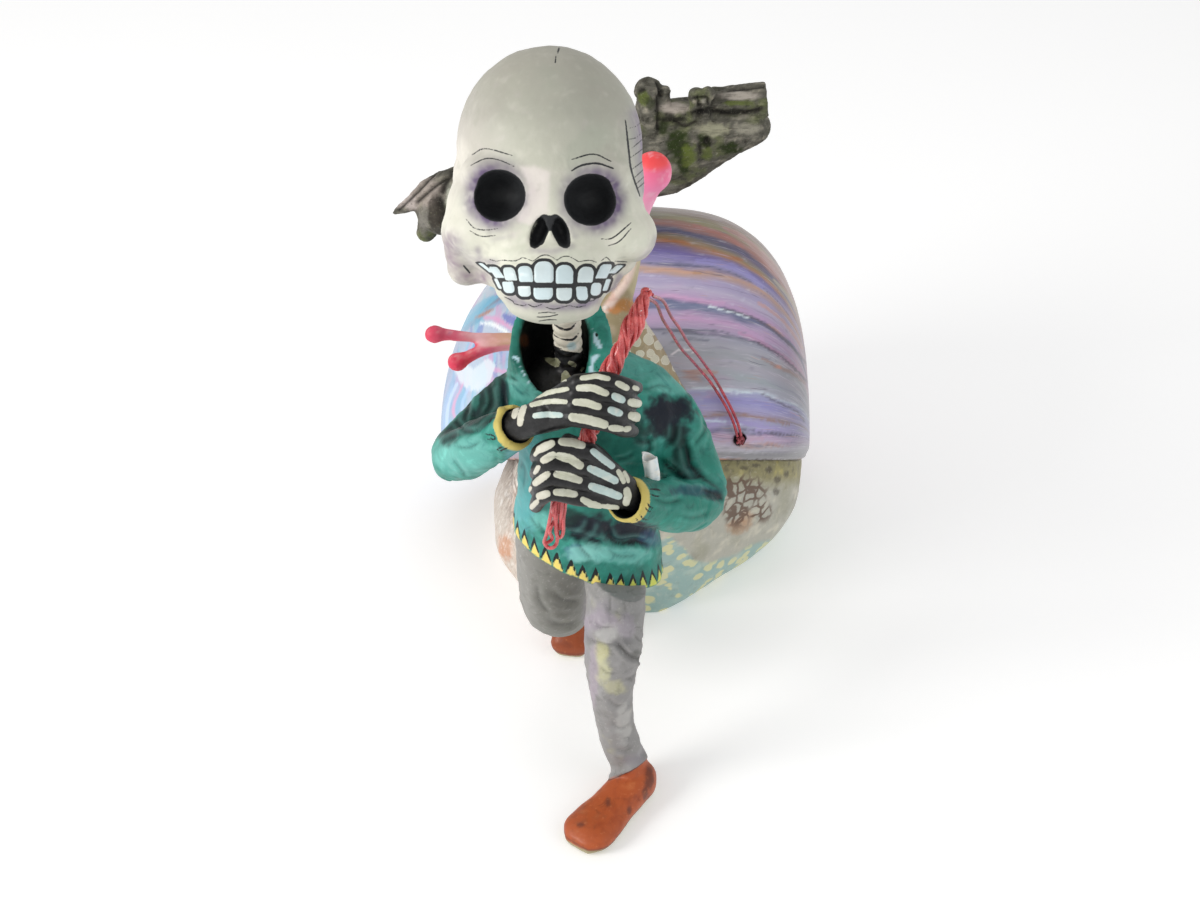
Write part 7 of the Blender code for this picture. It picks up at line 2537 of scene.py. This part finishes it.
    m = Look("snail_skin_paint", 0.5, Specular_IOR_Level=0.45)
    base = m.attr("paint", "Color")
    fleck = m.noise(0.0026, 4.0, 0.65)
    brush = m.noise(0.009, 4.0, 0.6, 0.8)
    wob = m.math("MULTIPLY_ADD", m.noise(0.0030, 2.0), 1.2)
    wob.node.inputs[2].default_value = -0.6
    calm = m.math("SUBTRACT", 1.0, m.attr("gloss"))
    base = m.mix(m.math("MULTIPLY", m.span(fleck, 0.54, 0.78, 0, 0.35), calm), base,
                 rgb(222, 214, 196))
    base = m.mix(m.math("MULTIPLY", m.span(brush, 0.48, 0.24, 0, 0.30), calm), base,
                 rgb(120, 112, 92))
    # net
    warp = m.node("TexNoise", {"Scale": 130.0, "Detail": 2.0})
    m.put(warp.inputs["Vector"], m.coord)
    moved = m.node("VectorMath", operation="MULTIPLY_ADD")
    m.put(moved.inputs[0], warp.outputs["Color"])
    moved.inputs[1].default_value = (0.005, 0.005, 0.005)
    m.put(moved.inputs[2], m.coord)
    where = moved.outputs[0]
    gap = m.cell(0.0074, "DISTANCE_TO_EDGE", m.stretched(0.8, 1.0, 0.9, where))
    line = m.math("MULTIPLY", m.span(gap, 0.06, 0.17, 1.0, 0.0), m.attr("net"))
    base = m.mix(m.math("MULTIPLY", line, 0.85), base, rgb(90, 60, 42))
    pale = m.math("MULTIPLY", m.span(gap, 0.25, 0.42), m.attr("net"))
    base = m.mix(m.math("MULTIPLY", pale, 0.45), base, rgb(206, 202, 184))
    # drops along the sole
    hole = m.cell(0.0098, "F1", m.stretched(0.86, 1.0, 1.12, where))
    big = m.math("MULTIPLY", m.span(hole, 0.36, 0.46, 1.0, 0.0), m.attr("drops"))
    base = m.mix(m.math("MULTIPLY", big, 0.85), base, rgb(218, 214, 164))
    # neck dots: a pale ring with a dimmer heart
    d = m.math("ADD", m.attr("dots"), wob)
    disc = m.span(d, -0.4, 0.4, 1.0, 0.0)
    heart = m.span(d, -2.6, -1.8, 1.0, 0.0)
    ring = m.mix(heart, rgb(212, 208, 186), rgb(202, 198, 175))
    base = m.mix(disc, base, ring)
    base = m.mix(m.math("MULTIPLY", m.span(d, -2.0, -1.5, 0, 0.35),
                        m.span(d, -1.0, -1.4, 0, 1.0)), base, rgb(140, 124, 96))
    # chalky scratches on the left
    chalk = m.noise(0.0024, 5.0, 0.7, 0.5, m.stretched(1.0, 1.0, 0.45))
    base = m.mix(m.math("MULTIPLY", m.span(chalk, 0.5, 0.7, 0, 0.6), m.attr("left")), base,
                 rgb(250, 246, 240))
    base = m.mix(m.math("MULTIPLY", m.span(chalk, 0.44, 0.30, 0, 0.5), m.attr("left")), base,
                 rgb(150, 128, 112))
    h = m.bump(fleck, 0.00025, 0.5)
    h = m.bump(brush, 0.0006, 0.5, h)
    h = m.bump(m.math("MULTIPLY", chalk, m.attr("left")), 0.0008, 0.6, h)
    h = m.bump(disc, 0.0003, 0.6, h)
    dress(ob, m.done(base, 0.5, h), ("snail_body",))


make_snail()


# --------------------------------------------------------------------- the log
D_LEFT = (385, 60, 6.533)
E_RIGHT = (620, 60, 9.22)


def on_plane(marks, y):
    """The points of a plane y = const that the camera sees at these pixels."""
    c, s = cos(VIEW_DOWN), sin(VIEW_DOWN)
    out = []
    for uu, vv in marks:
        a, b = (uu - 600) / VIEW_F, (450 - vv) / VIEW_F
        ray = np.array((a, b * s + c, b * c - s))
        out.append(VIEW_AT + ray * ((y - VIEW_AT[1]) / ray[1]))
    return out


def log_shapes(soup):
    y = 0.262
    tube(soup, ((-0.1120, y, 0.2420), (-0.0700, y, 0.2640), (-0.0200, y, 0.2740),
                (0.0300, y, 0.2820), (0.0720, y, 0.2960), (0.1050, y, 0.3050)),
         (0.0200, 0.0240, 0.0265, 0.0255, 0.0205, 0.0135), flat=0.92, up=(0, 0, 1), seg=48)
    tube(soup, ((0.0200, y, 0.2700), (0.0440, y, 0.2716), (0.0640, y, 0.2835), (0.0880, y, 0.2950)),
         (0.0180, 0.0188, 0.0182, 0.0130), flat=0.92, up=(0, 0, 1), seg=48)
    # its thick belly, which sits on the shell behind the head
    ball(soup, (-0.0080, y - 0.004, 0.2560), (0.0430, 0.0235, 0.0330))
    ball(soup, (-0.0480, y - 0.003, 0.2480), (0.0360, 0.0210, 0.0300))
    turn = Matrix.Rotation(radians(-6), 4, "Y")
    # the split upper side: a plank, a thin rail on it, a step between them
    block(soup, Matrix.Translation((0.0765, y + 0.003, 0.3180)) @ turn
          @ Matrix.Diagonal((0.077, 0.019, 0.0125, 1)))
    block(soup, Matrix.Translation((0.0952, y + 0.0070, 0.3275)) @ turn
          @ Matrix.Diagonal((0.038, 0.0110, 0.0090, 1)))
    # knots and broken stubs
    tube(soup, ((0.0345, y, 0.2950), (0.0342, y, 0.3180), (0.0338, y, 0.3330)),
         (0.0120, 0.0102, 0.0088), seg=32)
    ball(soup, (0.0328, y, 0.3330), (0.0100, 0.0095, 0.0095))
    tube(soup, ((0.0445, y - 0.001, 0.3180), (0.0442, y - 0.001, 0.3330)),
         (0.0038, 0.0042), seg=20)
    ball(soup, (0.0655, y - 0.006, 0.3315), (0.0060, 0.0064, 0.0056))
    ball(soup, (0.0735, y - 0.005, 0.3325), (0.0050, 0.0055, 0.0050))
    tube(soup, ((0.0640, y - 0.007, 0.3130), (0.0645, y - 0.009, 0.3260)), (0.0042, 0.0036), seg=20)
    tube(soup, ((0.0722, y - 0.007, 0.3140), (0.0722, y - 0.009, 0.3260)), (0.0042, 0.0036), seg=20)
    # the pointed branch and the dark stub on the left
    tube(soup, ((-0.0900, y, 0.2610), (-0.1150, y, 0.2570), (-0.1320, y, 0.2470),
                (-0.1462, y, 0.2382)), (0.0160, 0.0110, 0.0065, 0.0018), seg=32)
    tube(soup, ((-0.1030, y, 0.2420), (-0.1198, y - 0.002, 0.2330), (-0.1240, y - 0.002, 0.2236)),
         (0.0120, 0.0085, 0.0070), seg=32)


def make_log():
    ob = blob("driftwood_skin", log_shapes, 0.00124, 5)
    cut_by(ob, copy_of(SHELL_TOOL))
    largest(ob)
    p, n = co_of(ob), normals_of(ob)
    u, v = front_view(p)
    ok = facing(p, n) > -0.1
    grain_p = p * np.array((0.22, 1.0, 1.0))
    bark = ridges(grain_p, 0.0045, 3, seed=121)
    bark2 = ridges(p * np.array((0.45, 1, 1)), 0.010, 2, seed=122)
    move = 0.0008 * (bark2 - 0.4) + 0.0004 * (bark - 0.4) + 0.0010 * fbm(p, 0.022, 3, seed=123)
    move += 0.00016 * fbm(p, 0.0032, 3, seed=124)
    # cracks, slits and holes, sunk into the wood and darkened as painted shade
    dark = np.zeros(len(p))
    for frame, depth, w, pts in (
            (E_RIGHT, 2.2, 2.0, ((345, 195), (370, 260), (372, 330))),
            (E_RIGHT, 2.0, 2.6, ((185, 280), (215, 278))),
            (E_RIGHT, 2.2, 2.6, ((650, 500), (760, 470), (850, 440))),
            (E_RIGHT, 1.8, 2.0, ((720, 330), (730, 420))),
            (E_RIGHT, 2.0, 2.2, ((680, 350), (790, 345), (820, 400))),
            (E_RIGHT, 1.8, 2.2, ((860, 470), (1000, 500), (1150, 490), (1300, 450))),
            (E_RIGHT, 1.6, 2.0, ((350, 345), (352, 480), (350, 640))),
            (E_RIGHT, 1.4, 1.6, ((1000, 285), (1150, 262), (1330, 245))),
            (E_RIGHT, 2.4, 3.0, ((795, 725), (800, 745))),
            (E_RIGHT, 2.0, 2.6, ((735, 790), (745, 860))),
            (E_RIGHT, 1.2, 1.6, ((480, 560), (600, 600), (700, 570))),
            (D_LEFT, 2.0, 3.4, ((470, 690), (400, 790), (370, 860))),
            (D_LEFT, 2.0, 4.0, ((350, 900), (380, 980), (400, 1080))),
            (D_LEFT, 1.2, 1.8, ((90, 980), (220, 850), (330, 730))),
            (D_LEFT, 1.4, 2.0, ((210, 930), (300, 850), (410, 760)))):
        d, s = polyline(u, v, smooth_path(crop(*frame, pts), 5 * (len(pts) - 1) + 1))
        a = np.exp(-(d / w) ** 2) * ok
        move -= depth * 0.001 * a
        dark = np.maximum(dark, a)
    set_co(ob, p + n * move[:, None])
    p, n = co_of(ob), normals_of(ob)
    u, v = front_view(p)
    a1, a2, a3 = fbm(p, 0.020, 2, seed=125), fbm(p, 0.007, 3, seed=126), fbm(p, 0.0025, 3, seed=127)
    g = fbm(p * np.array((0.18, 1, 1)), 0.0032, 3, seed=128)
    col = np.tile(rgb(98, 96, 87), (len(p), 1))
    col = layer(col, rgb(150, 145, 131), step(a2 + 0.6 * g, 0.05, 0.55) * 0.75)
    col = layer(col, rgb(68, 66, 58), step(-a2 - 0.4 * g, 0.12, 0.45) * 0.9)
    col = layer(col, rgb(186, 178, 160), step(a3 + 0.5 * a2, 0.35, 0.7) * 0.6)
    col = layer(col, rgb(34, 32, 27), step(-a3 - 0.5 * a2, 0.40, 0.6) * 0.85)
    green, deep = rgb(96, 108, 48), rgb(42, 54, 20)
    grow = step(a1, 0.05, 0.4) * step(a2 + 0.5, 0.0, 0.8)
    col = layer(col, green, grow * 0.55)

    def patch(frame, colour, amount, centre, radii, seed=1.0, wobble=0.6):
        nonlocal col
        w = blotch(p, u, v, centre, radii, frame, wobble, 0.005, seed) * ok
        col = layer(col, colour, w * amount)

    patch(E_RIGHT, deep, 1.0, (540, 790), (110, 170), 1)
    patch(E_RIGHT, deep, 1.0, (570, 960), (80, 110), 2)
    patch(E_RIGHT, green, 0.9, (640, 880), (80, 120), 3)
    patch(E_RIGHT, deep, 1.0, (1020, 815), (130, 58), 4)
    patch(E_RIGHT, deep, 0.95, (770, 720), (60, 90), 24)
    patch(E_RIGHT, rgb(30, 34, 16), 1.0, (800, 760), (40, 60), 25)
    patch(E_RIGHT, green, 0.8, (800, 860), (70, 70), 5)
    patch(E_RIGHT, deep, 0.85, (395, 620), (55, 80), 6)
    patch(E_RIGHT, green, 0.8, (215, 360), (60, 80), 7)
    patch(E_RIGHT, deep, 0.7, (280, 400), (50, 60), 8)
    patch(E_RIGHT, green, 0.8, (1090, 395), (140, 26), 9)
    patch(E_RIGHT, rgb(166, 164, 140), 0.85, (860, 640), (170, 70), 10)
    patch(E_RIGHT, rgb(172, 168, 152), 0.7, (1180, 640), (130, 60), 11)
    patch(E_RIGHT, rgb(182, 172, 162), 0.95, (500, 440), (150, 60), 12, 0.3)
    patch(E_RIGHT, rgb(186, 178, 168), 0.95, (1100, 330), (230, 46), 13, 0.3)
    patch(E_RIGHT, rgb(150, 146, 132), 0.7, (420, 1000), (140, 60), 26)
    patch(E_RIGHT, rgb(144, 142, 130), 0.7, (420, 1180), (160, 60), 14)
    # painted shade in the gap between the plank and the trunk
    patch(E_RIGHT, rgb(26, 25, 21), 0.95, (1040, 475), (200, 30), 15)
    patch(E_RIGHT, rgb(24, 23, 20), 0.95, (760, 475), (100, 28), 16)
    patch(E_RIGHT, rgb(28, 27, 22), 0.9, (500, 545), (150, 34), 27)
    patch(E_RIGHT, rgb(172, 166, 148), 0.9, (690, 385), (22, 22), 17)
    patch(E_RIGHT, rgb(182, 178, 164), 0.9, (775, 375), (24, 24), 18)
    patch(D_LEFT, rgb(178, 166, 158), 0.8, (230, 860), (170, 130), 19, 0.3)
    patch(D_LEFT, rgb(200, 188, 182), 0.8, (150, 930), (90, 50), 20)
    patch(D_LEFT, rgb(58, 52, 46), 0.85, (330, 1000), (60, 130), 21)
    patch(D_LEFT, rgb(140, 136, 128), 0.7, (250, 1040), (40, 100), 22)
    patch(D_LEFT, rgb(194, 196, 180), 0.8, (430, 930), (40, 130), 23, 0.3)
    # painted shade in the cracks and slits
    col = layer(col, rgb(24, 22, 19), dark.clip(0, 1) * 0.9)
    col = layer(col, rgb(60, 57, 50), step(0.4 - bark, 0.05, 0.4) * 0.35)
    put_colour(ob, col)
    m = Look("weathered_bark", 0.9, Specular_IOR_Level=0.25)
    base = m.attr("paint", "Color")
    fleck = m.noise(0.0016, 5.0, 0.75)
    long = m.noise(0.0012, 4.0, 0.65, where=m.stretched(0.12, 1.0, 1.0))
    speck = m.noise(0.0032, 4.0, 0.7, 0.6)
    base = m.mix(m.span(fleck, 0.55, 0.75, 0, 0.35), base, rgb(186, 180, 164))
    base = m.mix(m.span(fleck, 0.45, 0.25, 0, 0.45), base, rgb(44, 41, 36))
    base = m.mix(m.span(long, 0.48, 0.28, 0, 0.60), base, rgb(58, 53, 46))
    base = m.mix(m.span(speck, 0.60, 0.75, 0, 0.25), base, rgb(84, 96, 46))
    h = m.bump(fleck, 0.0006, 0.8)
    h = m.bump(long, 0.0005, 0.8, h)
    h = m.bump(speck, 0.0010, 0.6, h)
    dress(ob, m.done(base, 0.9, h), ("driftwood_log",))


make_log()
drop(SHELL_TOOL)


# ------------------------------------------------------- floor, lights, finish
def make_stage():
    soup = Soup()
    soup.add([(-4, -4, 0), (4, -4, 0), (4, 4, 0), (-4, 4, 0)], [(0, 1, 2, 3)])
    floor = mesh_object("floor", soup)
    floor.location.z = -0.0002
    m = Look("floor_paint", 0.9, Specular_IOR_Level=0.1, Emission_Strength=0.24,
             Emission_Color=(1.0, 1.0, 1.0, 1.0))
    floor.data.materials.append(m.done(m.mix(m.noise(0.6, 1.0), (0.93, 0.93, 0.93),
                                             (0.955, 0.955, 0.955))))

    world = bpy.data.worlds.new("soft_room")
    bpy.context.scene.world = world
    world.use_nodes = True
    world.node_tree.nodes["Background"].inputs[0].default_value = (1.0, 1.0, 1.0, 1.0)
    world.node_tree.nodes["Background"].inputs[1].default_value = 0.60

    def area(name, at, towards, size, power, colour=(1, 1, 1)):
        d = bpy.data.lights.new(name, "AREA")
        d.shape = "DISK"
        d.size = size
        d.energy = power
        d.color = colour
        ob = bpy.data.objects.new(name, d)
        bpy.context.scene.collection.objects.link(ob)
        ob.location = at
        ob.rotation_euler = (Vector(towards) - Vector(at)).to_track_quat("-Z", "Y").to_euler()

    area("key", (-1.6, -0.8, 1.0), (0, 0, 0.25), 0.9, 19.0, (1.0, 0.985, 0.96))
    area("fill", (1.2, -0.9, 1.0), (0, 0, 0.25), 1.4, 3.2, (0.96, 0.98, 1.0))
    area("top", (0.0, 0.6, 1.8), (0, 0, 0.2), 1.2, 3.0)


make_stage()

for view in [bpy.context.scene.view_settings]:
    view.view_transform = "Standard"
    view.look = "None"
